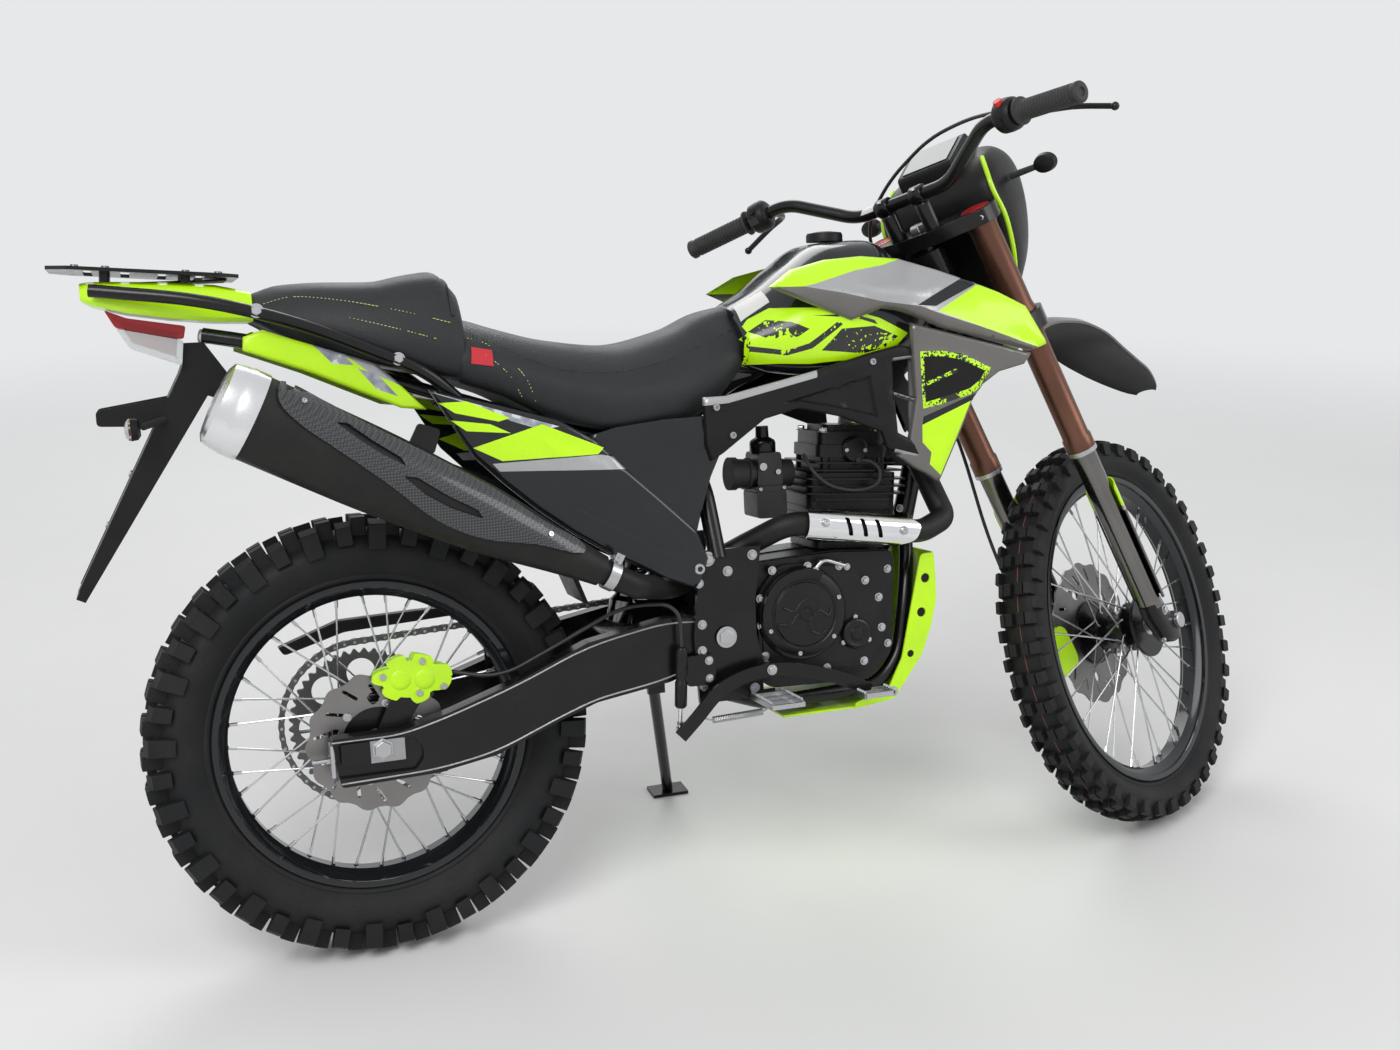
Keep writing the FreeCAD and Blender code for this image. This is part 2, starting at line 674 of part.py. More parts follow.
def stand_spots():
    """Pivot of the side stand, the middle of its foot and the line of its hinge."""
    pivot = Vector(S.stand_x, S.stand_y, S.stand_z)
    ground = STAND.multVec(Vector(S.stand_foot_x, S.stand_foot_y, 0))
    foot = Vector(ground.x, ground.y, S.stand_foot_thick)
    down = STAND.inverse().multVec(foot) - pivot
    hinge = down.cross(FOLDED)
    hinge.normalize()
    return pivot, foot, hinge


def stand_lug():
    """Lug and pin on the left pivot plate that carry the side stand."""
    pivot, _, hinge = stand_spots()
    inner = pivot - hinge * (S.stand_rad + S.pin_gap)
    back = pivot - hinge * (S.stand_rad * 1.9)
    plate_shares = ((0.484, 0.312), (0.514, 0.312), (0.514, 0.36), (0.484, 0.36))
    plate = side_solid(plate_shares, S.plate_in, S.plate_in + S.plate_wide)
    pin = rod(back, pivot + hinge * (S.stand_rad * 1.4), S.stand_pin_rad)
    return [plate, rod(back, inner, S.stand_eye_rad), pin]


def swingarm():
    """Two arms joined by a cross beam and the pivot tube."""
    arm_shares = ((-0.072, 0.360), (0.03, 0.360), (0.10, 0.378), (0.21, 0.414), (0.32, 0.460),
                  (0.45, 0.484), (0.548, 0.474), (0.568, 0.447), (0.555, 0.424), (0.45, 0.384),
                  (0.33, 0.366), (0.27, 0.345), (0.17, 0.305), (0.08, 0.290), (-0.062, 0.286))
    beam_shares = ((0.37, 0.385), (0.425, 0.385), (0.425, 0.455), (0.37, 0.455))
    made = body("swingarm", STAND)
    both_sides(made, "arm", S.arm_in, S.arm_in + S.arm_wide, grid_points(arm_shares))
    slab(made, "cross_beam", -S.arm_in, S.arm_in, grid_points(beam_shares))
    slab(made, "pivot_tube", -S.arm_in, S.arm_in, rounds=((S.pivot_x, S.pivot_z, S.pivot_rad),))
    across = S.arm_in + S.arm_wide
    slab(made, "pivot_bore", -across, across, cut=True,
         rounds=((S.pivot_x, S.pivot_z, S.pivot_bolt_rad + S.pin_gap),))
    slab(made, "axle_bore", -across, across, cut=True,
         rounds=((0, S.rear_axle_up, S.axle_rad + S.pin_gap),))


def rear_axle():
    """Axle with its spacers, nuts and chain adjuster plates."""
    centre = Vector(0, 0, S.rear_axle_up)
    arm_out = S.arm_in + S.arm_wide
    end = arm_out + S.adjuster_wide + S.nut_wide
    shapes = [rod(centre - AXIS_Y * end, centre + AXIS_Y * end, S.axle_rad)]
    plate_shares = ((-0.062, 0.318), (0.034, 0.318), (0.034, 0.352), (-0.062, 0.352))
    plate_low = arm_out + S.seat_gap
    for side, seat in zip((RIGHT, LEFT), rear_seats()):
        inner = centre + AXIS_Y * (side * (seat + S.run_gap))
        outer = centre + AXIS_Y * (side * (S.arm_in - S.seat_gap))
        shapes.append(rod(inner, outer, S.spacer_rad))
        nut = centre + AXIS_Y * (side * (plate_low + S.adjuster_wide / 2))
        shapes.append(rod(nut, centre + AXIS_Y * (side * (end - S.nut_wide / 4)), S.nut_rad))
    plate = side_solid(plate_shares, plate_low, plate_low + S.adjuster_wide)
    shapes += [plate, mirror(plate)]
    shaped("rear_axle", STAND, joined(shapes))


def shock_absorber():
    """Single spring and damper between the cross beam and the backbone."""
    low, high = spot(0.4035, 0, 0.4607), spot(0.47, 0, 0.735)
    along = high - low
    spring_low_share, spring_high_share, eye_share = 0.2, 0.78, 0.94
    spring_rad, damper_rad = S.pivot_rad * 1.5, S.pivot_rad
    shapes = [rod(low, low + along * eye_share, damper_rad),
              rod(low + along * spring_low_share, low + along * spring_high_share, spring_rad)]
    shaped("shock_absorber", STAND, joined(shapes))


# Chain drive

def belt(radius_back, radius_ahead):
    """Closed wire around both sprockets at the given radii."""
    span = Vector(S.drive_x, 0, S.drive_z) - Vector(0, 0, S.rear_axle_up)
    slope = math.atan2(span.z, span.x)
    open_turn = math.acos((radius_back - radius_ahead) / span.Length)
    back, ahead = Vector(0, 0, S.rear_axle_up), Vector(S.drive_x, 0, S.drive_z)

    def at(centre, radius, turn):
        return centre + Vector(radius * math.cos(turn), 0, radius * math.sin(turn))

    up, down = slope + open_turn, slope - open_turn
    edges = [Part.makeLine(at(back, radius_back, up), at(ahead, radius_ahead, up)),
             Part.Arc(at(ahead, radius_ahead, up), at(ahead, radius_ahead, slope),
                      at(ahead, radius_ahead, down)).toShape(),
             Part.makeLine(at(ahead, radius_ahead, down), at(back, radius_back, down)),
             Part.Arc(at(back, radius_back, down), at(back, radius_back, slope + math.pi),
                      at(back, radius_back, up)).toShape()]
    return Part.Wire(edges)


def chain():
    """Drive chain around both sprockets, clear of their teeth."""
    half = S.chain_tall / 2
    across = Vector(0, S.chain_wide, 0)
    outer = Part.Face(belt(S.chain_rad + half, S.drive_chain_rad + half)).extrude(across)
    inner = Part.Face(belt(S.chain_rad - half, S.drive_chain_rad - half)).extrude(across)
    whole = outer.cut(inner)
    whole.translate(Vector(0, S.chain_out - S.chain_wide / 2, 0))
    shaped("chain", STAND, whole)


def drive_sprocket():
    """Small sprocket on the output shaft of the engine."""
    made = body("drive_sprocket", STAND)
    slab(made, "drive_disc", S.chain_out - S.sprocket_wide / 2, S.chain_out + S.sprocket_wide / 2,
         rounds=((S.drive_x, S.drive_z, S.drive_rad),))
    shaft = S.axle_rad * 1.5
    slab(made, "drive_shaft", S.case_left + S.seat_gap, S.chain_out,
         rounds=((S.drive_x, S.drive_z, shaft),))


def chain_guard():
    """Plain guard above the upper run of the chain."""
    guard_shares = ((-0.115, 0.452), (-0.02, 0.480), (0.10, 0.486), (0.29, 0.496),
                    (0.29, 0.506), (0.09, 0.506), (-0.03, 0.502), (-0.125, 0.470))
    tab_shares = ((0.20, 0.40), (0.24, 0.41), (0.24, 0.500), (0.20, 0.498))
    made = body("chain_guard", STAND)
    top = S.chain_out + S.chain_wide / 2
    slab(made, "guard_strip", S.chain_out - S.chain_wide / 2, top + S.skin * 1.5,
         grid_points(guard_shares))
    slab(made, "guard_tab", S.arm_in - S.seat_gap - S.skin / 2, S.arm_in - S.seat_gap,
         grid_points(tab_shares))


# Engine

def crankcase():
    """Crankcase between its side covers."""
    low_shares = ((0.625, 0.350), (0.80, 0.345), (0.838, 0.385), (0.846, 0.50),
                  (0.848, 0.5518), (0.738, 0.5595), (0.60, 0.553), (0.563, 0.52),
                  (0.575, 0.40))
    stator_shares = ((0.668, 0.375), (0.80, 0.365), (0.836, 0.40), (0.836, 0.49),
                     (0.79, 0.54), (0.668, 0.54))
    made = body("crankcase", STAND)
    slab(made, "case", -S.case_right, S.case_left, grid_points(low_shares))
    slab(made, "stator_case", S.case_left, S.stator_left, grid_points(stator_shares))
    lug = S.cradle_rad * 1.2
    slab(made, "rear_lug", -S.plate_in + S.seat_gap, S.plate_in - S.seat_gap,
         rounds=((GRID * 0.588, GRID * 0.535, lug),))


def engine_covers():
    """Clutch and filter covers on the right of the engine, ignition cover on the left."""
    made = body("engine_covers", STAND)
    face = -S.case_right - S.seat_gap
    cover_shares = ((0.605, 0.385), (0.79, 0.365), (0.825, 0.41), (0.82, 0.49), (0.75, 0.545),
                    (0.64, 0.548), (0.60, 0.50))
    base = face - S.skin * 2
    slab(made, "cover_plate", base, face, grid_points(cover_shares))
    slab(made, "clutch_dome", base - S.clutch_wide * 2 / 3, base,
         rounds=((S.clutch_x, S.clutch_z, S.clutch_rad),))
    ring_rad, ring_high = S.clutch_rad * 2 / 3, S.skin / 2
    top = base - S.clutch_wide * 2 / 3
    slab(made, "clutch_ring", top - ring_high, top,
         rounds=((S.clutch_x, S.clutch_z, ring_rad), (S.clutch_x, S.clutch_z, S.filter_rad)))
    slab(made, "filter_dome", base - S.clutch_wide / 2, base,
         rounds=((S.filter_x, S.filter_z, S.filter_rad),))
    face = S.stator_left + S.seat_gap
    slab(made, "stator_dome", face, face + S.stator_wide,
         rounds=((GRID * 0.748, GRID * 0.452, S.stator_rad),))


def cylinder():
    """Finned cylinder and head, leaning a little forward."""
    place = STAND * moved(S.barrel_x, 0, S.barrel_z) * turned(AXIS_Y, S.barrel_tilt)
    made = body("cylinder", place)
    drawn = sketch(made, "barrel_sketch", "XY_Plane")
    half = S.barrel_half
    polygon(drawn, ((-half, -half), (half, -half), (half, half), (-half, half)))
    feature(made, "Pad", "barrel", drawn, S.barrel_tall)
    first_fin = S.fin_pitch * 1.5
    fin_sketch = sketch(made, "fin_sketch", "XY_Plane", first_fin)
    wide, deep = S.fin_half_x, S.fin_half_y
    corner = S.fin_pitch * 2
    polygon(fin_sketch, ((-wide, -deep + corner), (-wide + corner, -deep),
                         (wide - corner, -deep), (wide, -deep + corner),
                         (wide, deep - corner), (wide - corner, deep),
                         (-wide + corner, deep), (-wide, deep - corner)))
    fin = feature(made, "Pad", "fin", fin_sketch, S.fin_thick)
    rows = made.newObject("PartDesign::LinearPattern", "fins")
    rows.Originals = [fin]
    rows.Direction = (fin_sketch, ["N_Axis"])
    rows.setExpression("Length", (S.fin_pitch * (S.fin_count - 1)).formula)
    rows.setExpression("Occurrences", S.fin_count.formula)
    made.Tip = rows
    cover = sketch(made, "cover_sketch", "XY_Plane", S.barrel_tall)
    polygon(cover, ((-half, -half + corner), (half, -half + corner), (half, half - corner),
                    (-half, half - corner)))
    feature(made, "Pad", "cover", cover, S.fin_pitch * 3)


def carburettor():
    """Carburettor and its intake rubber behind the cylinder."""
    low, high = spot(0.60, -0.01, 0.69), spot(0.7090, -0.01, 0.684)
    shapes = [rod(low, high, S.header_rad * 1.1),
              box((0.635, -0.04, 0.66), (0.69, 0.03, 0.725)),
              rod(spot(0.66, -0.005, 0.615), spot(0.66, -0.005, 0.665), S.header_rad),
              rod(spot(0.662, -0.005, 0.70), spot(0.662, -0.005, 0.765), S.header_rad)]
    shaped("carburettor", STAND, joined(shapes))


def air_box():
    """Air box between the seat rails behind the carburettor."""
    box_shares = ((0.36, 0.62), (0.43, 0.60), (0.455, 0.66), (0.455, 0.7325), (0.40, 0.7443),
                  (0.36, 0.7574))
    made = body("air_box", STAND)
    slab(made, "air_box_slab", -GRID * 0.084, -GRID * 0.036, grid_points(box_shares))
    slab(made, "air_box_slab_left", GRID * 0.036, GRID * 0.084, grid_points(box_shares))


MUFFLER_START, MUFFLER_END = (0.330, -0.178, 0.578), (-0.178, -0.192, 0.850)
HEADER_SHARES = ((0.8604, -0.03, 0.705), (0.925, -0.035, 0.70), (0.938, -0.11, 0.60),
                 (0.885, -0.128, 0.583), (0.655, -0.128, 0.617), (0.585, -0.075, 0.575),
                 (0.475, -0.078, 0.525), (0.385, -0.1765, 0.5485), (0.3303, -0.178, 0.5778))
HEADER_BEND_SHARE = 0.3


def exhaust_header():
    """Exhaust pipe from the cylinder, round its front right corner and back to the silencer."""
    path = grid_path(HEADER_SHARES)
    shaped("exhaust_header", STAND, pipe(path, S.header_rad, HEADER_BEND_SHARE))


def header_shield():
    """Half round heat shield over the straight run of the pipe."""
    start, end = spot(*HEADER_SHARES[3]), spot(*HEADER_SHARES[4])
    along = end - start
    low_share, high_share = 0.09, 0.86
    low, high = start + along * low_share, start + along * high_share
    inner = S.header_rad + S.shield_gap
    shell = rod(low, high, inner + S.shield_wall).cut(rod(low, high, inner))
    reach = S.grid
    half = Part.makeBox(reach, reach, reach, Vector(0, -reach + start.y, 0))
    shaped("header_shield", STAND, shell.common(half))


MUFFLER_SHARES = ((0.0, 0.024, 0.024), (0.12, 0.032, 0.030), (0.35, 0.050, 0.040),
                  (0.70, 0.060, 0.046), (1.0, 0.061, 0.047))


def muffler_loft(first, last, grow):
    """Oval can between two shares of its length, grown outward."""
    start, end = spot(*MUFFLER_START), spot(*MUFFLER_END)
    along = end - start
    place = Placement(start, Rotation(AXIS_Z, along))
    wires = []
    for share, tall, wide in MUFFLER_SHARES:
        if first <= share <= last:
            major, minor = tall * GRID + grow, wide * GRID + grow
            if major - minor < S.seat_gap:
                edge = Part.makeCircle(major)
            else:
                edge = Part.Ellipse(Vector(), major, minor).toShape()
            wire = Part.Wire(edge)
            wire.Placement = place * moved(0, 0, along.Length * share)
            wires.append(wire)
    return wires


def muffler():
    """Oval silencer can rising to the rear, with its end cap and outlet."""
    can = Part.makeLoft(muffler_loft(0, 1, 0), True, True)
    start, end = spot(*MUFFLER_START), spot(*MUFFLER_END)
    along = end - start
    share, tall, wide = MUFFLER_SHARES[-1]
    place = Placement(end, Rotation(AXIS_Z, along)) * moved(0, 0, S.seat_gap)
    oval = Part.Face(Part.Wire(Part.Ellipse(Vector(), tall * GRID, wide * GRID).toShape()))
    cap = oval.extrude(Vector(0, 0, S.stator_wide))
    outlet = Part.makeCylinder(S.header_rad, S.stator_wide * 1.4)
    bore_rad = S.header_rad - S.rim_wall
    bore = Part.makeCylinder(bore_rad, S.stator_wide * 2, Vector(0, 0, S.stator_wide / 2))
    whole = cap.fuse(outlet).cut(bore)
    whole.Placement = place
    shaped("muffler", STAND, Part.makeCompound([can, whole]))


# Bodywork

def fuel_tank():
    """Fuel tank over the backbone, in front of the seat, with its filler cap."""
    table_shares = (
        (0.620, 0.860, 0.905, 0.940, 0.955, 0.100, 0.118, 0.075),
        (0.700, 0.850, 0.930, 0.998, 1.018, 0.116, 0.148, 0.102),
        (0.790, 0.850, 0.945, 1.030, 1.060, 0.1214, 0.148, 0.100),
        (0.880, 0.870, 0.945, 1.018, 1.042, 0.106, 0.132, 0.088),
        (0.925, 0.900, 0.940, 0.980, 0.990, 0.080, 0.100, 0.050))
    whole = body_loft(table_shares)
    tunnel = box((0.60, -0.031, 0.80), (0.95, 0.031, 0.945))
    low = spot(0.79, 0, 1.0620)
    cap = rod(low, low + Vector(0, 0, S.stator_wide / 2), S.tube_rad)
    shaped("fuel_tank", STAND, Part.makeCompound([whole.cut(tunnel), cap]))


def seat():
    """Two-step seat, low for the rider and higher for the passenger."""
    table_shares = (
        (-0.125, 0.960, 0.975, 0.992, 1.004, 0.075, 0.085, 0.060),
        (-0.040, 0.925, 0.960, 1.008, 1.022, 0.105, 0.115, 0.085),
        (0.060, 0.895, 0.940, 1.008, 1.024, 0.120, 0.130, 0.095),
        (0.140, 0.880, 0.925, 1.014, 1.031, 0.122, 0.134, 0.095),
        (0.180, 0.858, 0.905, 0.975, 0.995, 0.124, 0.136, 0.100),
        (0.215, 0.845, 0.885, 0.935, 0.950, 0.125, 0.136, 0.100),
        (0.300, 0.8012, 0.855, 0.905, 0.922, 0.125, 0.136, 0.095),
        (0.400, 0.782, 0.835, 0.888, 0.906, 0.120, 0.130, 0.085),
        (0.500, 0.790, 0.840, 0.890, 0.908, 0.108, 0.118, 0.075),
        (0.6195, 0.860, 0.890, 0.930, 0.948, 0.090, 0.098, 0.060))
    shaped("seat", STAND, body_loft(table_shares, smooth=False))


UPPER_SHROUD_SHARES = (
    ((0.630, 0.150, 0.984), (0.674, 0.130, 1.010), (0.736, 0.121, 1.024), (0.800, 0.119, 1.028),
     (0.864, 0.121, 1.022), (0.925, 0.134, 1.002), (0.975, 0.150, 0.982), (1.066, 0.168, 0.938),
     (1.098, 0.178, 0.880)),
    ((0.634, 0.151, 0.982), (0.682, 0.160, 0.980), (0.748, 0.168, 0.970), (0.808, 0.172, 0.955),
     (0.874, 0.176, 0.945), (0.930, 0.179, 0.925), (0.986, 0.180, 0.905), (1.076, 0.180, 0.875),
     (1.096, 0.179, 0.874)),
    ((0.640, 0.151, 0.979), (0.683, 0.155, 0.961), (0.763, 0.1527, 0.928), (0.814, 0.158, 0.944),
     (0.871, 0.162, 0.929), (0.914, 0.165, 0.910), (0.991, 0.170, 0.888), (1.068, 0.176, 0.866),
     (1.094, 0.178, 0.868)))
LOWER_SHROUD_SHARES = ((0.866, 0.918), (0.930, 0.898), (0.990, 0.881), (1.072, 0.858),
                       (1.059, 0.842), (1.016, 0.835), (0.990, 0.816), (0.971, 0.791),
                       (0.953, 0.750), (0.913, 0.662), (0.890, 0.678), (0.871, 0.688),
                       (0.841, 0.711), (0.860, 0.722), (0.874, 0.800))


def sheet(rows, inward):
    """Sheet through rows of points, as thick as the inward vector is long."""
    outer = [grid_path(row) for row in rows]
    inner = [[point + inward for point in row] for row in outer]
    faces = []

    def add(first, second, third, fourth):
        """Two flat triangles between four points."""
        for corners in ((first, second, third), (first, third, fourth)):
            faces.append(Part.Face(Part.makePolygon([*corners, corners[0]])))

    for level in range(len(rows) - 1):
        for index in range(len(outer[0]) - 1):
            for side in (outer, inner):
                add(side[level][index], side[level][index + 1], side[level + 1][index + 1],
                    side[level + 1][index])
    last = len(outer[0]) - 1
    for index in range(last):
        for level in (0, len(rows) - 1):
            add(outer[level][index], outer[level][index + 1], inner[level][index + 1],
                inner[level][index])
    for level in range(len(rows) - 1):
        for index in (0, last):
            add(outer[level][index], outer[level + 1][index], inner[level + 1][index],
                inner[level][index])
    return Part.Solid(Part.Shell(faces))


def shrouds():
    """Upper and lower tank shrouds of both sides, flaring out toward their tips."""
    upper = sheet(UPPER_SHROUD_SHARES, Vector(0, -S.skin, 0))
    foot_share, flare_share, rise_share = 0.0195, 0.1095, 0.0454
    corners = [spot(x, foot_share + flare_share * x + rise_share * z, z)
               for x, z in LOWER_SHROUD_SHARES]
    face = Part.Face(Part.makePolygon(corners + corners[:1]))
    lower = face.extrude(Vector(0, -S.skin, 0))
    shaped("upper_shrouds", STAND, pair(upper))
    shaped("lower_shrouds", STAND, pair(lower))


def side_covers():
    """Covers below the tank and beside the seat, left and right."""
    fin_shares = ((0.517, 0.823), (0.553, 0.823), (0.700, 0.853), (0.809, 0.878),
                  (0.850, 0.886), (0.919, 0.869), (0.918, 0.855), (0.837, 0.861),
                  (0.836, 0.815), (0.904, 0.791), (0.897, 0.784), (0.838, 0.805),
                  (0.843, 0.747), (0.895, 0.720), (0.897, 0.697), (0.835, 0.716),
                  (0.814, 0.750), (0.743, 0.779), (0.673, 0.796), (0.616, 0.783),
                  (0.572, 0.753), (0.525, 0.724), (0.518, 0.749))
    panel_shares = ((0.113, 0.848), (0.288, 0.805), (0.347, 0.768), (0.383, 0.728),
                    (0.497, 0.620), (0.514, 0.575), (0.495, 0.545), (0.42, 0.578),
                    (0.368, 0.600), (0.249, 0.675), (0.165, 0.751))
    keep_share = 0.92
    fins = side_solid(fin_shares, GRID * 0.1285, GRID * 0.1399)
    panels = dished(panel_shares, GRID * 0.1269, GRID * 0.1425, keep_share)
    shaped("tank_side_covers", STAND, pair(fins))
    shaped("side_panels", STAND, pair(panels))


def tail():
    """Tail cowl, side pieces, lamp, rack, grab rails and rear mudguard."""
    cowl_shares = ((-0.355, 1.004), (-0.358, 1.030), (-0.20, 1.024), (-0.13, 1.008),
                   (-0.13, 0.962), (-0.20, 0.962), (-0.30, 0.980))
    cowl = body("tail_cowl", STAND)
    slab(cowl, "cowl_slab", -GRID * 0.085, GRID * 0.085, grid_points(cowl_shares))
    side_shares = ((-0.15, 0.950), (-0.088, 0.940), (0.06, 0.882), (0.102, 0.827),
                   (0.035, 0.831), (-0.152, 0.925))
    keep_share = 0.9
    shaped("tail_panels", STAND, pair(dished(side_shares, GRID * 0.0953, GRID * 0.114, keep_share)))
    lamp_shares = ((-0.330, 0.9926), (-0.30, 0.9796), (-0.222, 0.9655), (-0.232, 0.908),
                   (-0.30, 0.935))
    lamp = side_solid(lamp_shares, -GRID * 0.065, GRID * 0.065)
    arm = rod(spot(-0.262, 0.0552, 0.835), spot(-0.290, 0.10, 0.828), S.lever_rad)
    turn_lamp = arm.fuse(box((-0.318, 0.098, 0.810), (-0.282, 0.143, 0.842)))
    shaped("rear_lights", STAND, Part.makeCompound([lamp, turn_lamp, mirror(turn_lamp)]))
    rail_shares = ((-0.345, 0.0945, 1.017), (-0.200, 0.126, 0.998), (-0.07, 0.130, 0.960),
                   (0.10, 0.134, 0.884), (0.16, 0.111, 0.829))
    shaped("grab_rails", STAND, pair(pipe(grid_path(rail_shares), S.grab_rad)))
    mud_shares = ((-0.1998, 0.941), (-0.2259, 0.941), (-0.2314, 0.909), (-0.236, 0.898),
                  (-0.40, 0.590), (-0.388, 0.584),
                  (-0.20, 0.865), (0.05, 0.770), (0.20, 0.700), (0.30, 0.60), (0.335, 0.51),
                  (0.342, 0.51), (0.31, 0.60), (0.21, 0.712), (0.05, 0.786), (-0.16, 0.880))
    mud = body("rear_fender", STAND)
    slab(mud, "mudguard", -GRID * 0.052, GRID * 0.052, grid_points(mud_shares))


def rack_plate():
    """Flat luggage plate with long slots."""
    place = STAND * Placement(spot(-0.272, 0, 1.0385), Rotation(AXIS_Y, 4.8))
    made = body("rack_plate", place)
    drawn = sketch(made, "plate_sketch", "XY_Plane")
    plan_shares = ((-0.128, 0.060), (-0.10, 0.092), (0.10, 0.095), (0.126, 0.080))
    polygon(drawn, mirrored(grid_points(plan_shares)))
    feature(made, "Pad", "plate", drawn, S.rack_thick)
    slot_shares = (-0.075, -0.025, 0.025, 0.075)
    long_share, wide_share, hole_x_share, hole_y_share = 0.075, 0.012, 0.095, 0.05
    slots = sketch(made, "slots_sketch", "XY_Plane")
    for share in slot_shares:
        low, high = GRID * (share - wide_share / 2), GRID * (share + wide_share / 2)
        reach = GRID * long_share
        polygon(slots, ((low, -reach), (high, -reach), (high, reach), (low, reach)))
    for first in (LEFT, RIGHT):
        for second in (LEFT, RIGHT):
            circle(slots, GRID * hole_x_share * first, GRID * hole_y_share * second,
                   S.rack_hole_rad)
    cut = feature(made, "Pocket", "slots", slots, S.rack_thick)
    cut.Reversed = True
    boss_table_shares = (("front", 0.055, 0.0083), ("rear", -0.052, 0.0133))
    for name, along_share, deep_share in boss_table_shares:
        drawn = sketch(made, f"{name}_boss_sketch", "XY_Plane")
        for side in SIDES:
            circle(drawn, GRID * along_share, GRID * hole_y_share * side, S.nut_rad / 2)
        boss = feature(made, "Pad", f"{name}_boss", drawn, GRID * deep_share)
        boss.Reversed = True


def skid_plate():
    """Plate that wraps the front and bottom of the cradle."""
    outer_shares = ((0.9168, 0.545), (0.918, 0.465), (0.888, 0.375), (0.835, 0.308),
                    (0.765, 0.300), (0.64, 0.300))
    inner_shares = ((0.64, 0.304), (0.765, 0.304), (0.832, 0.312), (0.884, 0.377),
                    (0.914, 0.466), (0.9128, 0.545))
    flange_shares = ((0.9168, 0.545), (0.918, 0.465), (0.888, 0.375), (0.835, 0.308),
                     (0.765, 0.300), (0.765, 0.310), (0.825, 0.325), (0.852, 0.375),
                     (0.872, 0.460), (0.892, 0.545))
    made = body("skid_plate", STAND)
    half = GRID * 0.11
    slab(made, "skid_band", -half, half, grid_points(outer_shares + inner_shares))
    both_sides(made, "skid_flange", half - S.skin, half, grid_points(flange_shares))


# Controls and stand

def foot_pegs():
    """Rider's pegs on both sides."""
    start = S.plate_in + S.plate_wide + S.seat_gap
    peg = Part.makeBox(S.peg_wide, S.peg_long, S.peg_thick, Vector(GRID * 0.575, start, GRID * 0.343))
    shaped("foot_pegs", STAND, pair(peg))


def foot_controls():
    """Rear brake pedal on the right and gear lever on the left."""
    path_shares = ((0.450, -0.150, 0.305), (0.475, -0.150, 0.328), (0.526, -0.150, 0.374),
                   (0.604, -0.150, 0.392), (0.70, -0.152, 0.372), (0.775, -0.158, 0.338))
    arm = pipe(grid_path(path_shares), S.pedal_rad)
    tread = box((0.745, -0.19, 0.333), (0.80, -0.148, 0.347))
    boss = rod(spot(0.604, -0.155, 0.392), spot(0.604, -0.1268, 0.392), S.pedal_rad * 1.5)
    pedal = joined([arm, tread, boss])
    path_shares = ((0.66, 0.150, 0.385), (0.74, 0.152, 0.375), (0.81, 0.155, 0.365))
    arm = pipe(grid_path(path_shares), S.pedal_rad)
    tread = rod(spot(0.805, 0.152, 0.366), spot(0.805, 0.195, 0.366), S.pedal_rad * 1.3)
    shaft = rod(spot(0.67, 0.1103, 0.384), spot(0.67, 0.152, 0.384), S.pedal_rad)
    lever = joined([arm, tread, shaft])
    shaped("foot_controls", STAND, Part.makeCompound([pedal, lever]))


def rear_master_cylinder():
    """Rear brake master cylinder with its push rod."""
    barrel = rod(spot(0.458, -0.134, 0.345), spot(0.464, -0.134, 0.440), S.stand_rad)
    push = rod(spot(0.455, -0.134, 0.303), spot(0.458, -0.134, 0.35), S.bolt_rad)
    tab = box((0.47, -0.1345, 0.375), (0.52, -0.127, 0.425))
    shaped("rear_master_cylinder", STAND, joined([barrel, push, tab]))


def rear_caliper():
    """Rear brake caliper over the disc, on a bracket from the axle."""
    block_shares = ((0.012, 0.402), (0.088, 0.392), (0.112, 0.412), (0.095, 0.452),
                    (0.02, 0.466), (0.0, 0.44))
    block = side_solid(block_shares, -GRID * 0.087, -GRID * 0.050)
    slot_half = S.disc_wide / 2 + S.run_gap + S.seat_gap
    reach = S.rear_disc_rad + S.run_gap + S.seat_gap
    centre = Vector(0, -S.disc_out - slot_half, S.rear_axle_up)
    slot = Part.makeCylinder(reach, slot_half * 2, centre, AXIS_Y)
    bracket_shares = ((-0.018, 0.322), (0.018, 0.322), (0.07, 0.40), (0.03, 0.42))
    bracket = side_solid(bracket_shares, -GRID * 0.0868, -GRID * 0.0790)
    centre_low = Vector(0, -S.arm_in, S.rear_axle_up)
    hole = Part.makeCylinder(S.spacer_rad + S.pin_gap, S.arm_wide, centre_low, AXIS_Y)
    shaped("rear_caliper", STAND, block.cut(slot).fuse(bracket).cut(hole))


def rear_brake_hose():
    """Brake hose from the master cylinder over the right arm to the rear caliper."""
    path_shares = ((0.1060, -0.0705, 0.4330), (0.185, -0.098, 0.418), (0.300, -0.103, 0.470),
                   (0.385, -0.103, 0.509), (0.464, -0.134, 0.508), (0.464, -0.134, 0.4406))
    hose("rear_brake_hose", STAND, grid_path(path_shares))


def side_stand():
    """Side stand with its foot flat on the ground."""
    pivot, foot, hinge = stand_spots()
    back = STAND.inverse()
    end = back.multVec(foot)
    leg = rod(pivot, end, S.stand_rad)
    eye = rod(pivot - hinge * S.stand_rad, pivot + hinge * S.stand_rad, S.stand_eye_rad)
    bore_rad = S.stand_pin_rad + S.pin_gap
    bore = rod(pivot - hinge * S.stand_rad * 2, pivot + hinge * S.stand_rad * 2, bore_rad)
    plate = Part.makeBox(S.stand_foot_long * 2, S.stand_foot_wide * 2, S.stand_foot_thick,
                         Vector(foot.x - S.stand_foot_long, foot.y - S.stand_foot_wide, 0))
    plate.Placement = back * plate.Placement
    whole = joined([leg, plate, eye]).cut(bore)
    trim = Part.makeBox(GRID, GRID, GRID, Vector(-GRID / 4, -GRID / 2, -GRID))
    trim.Placement = back * trim.Placement
    shaped("side_stand", STAND, whole.cut(trim))


# Steering, drawn in the fork frame

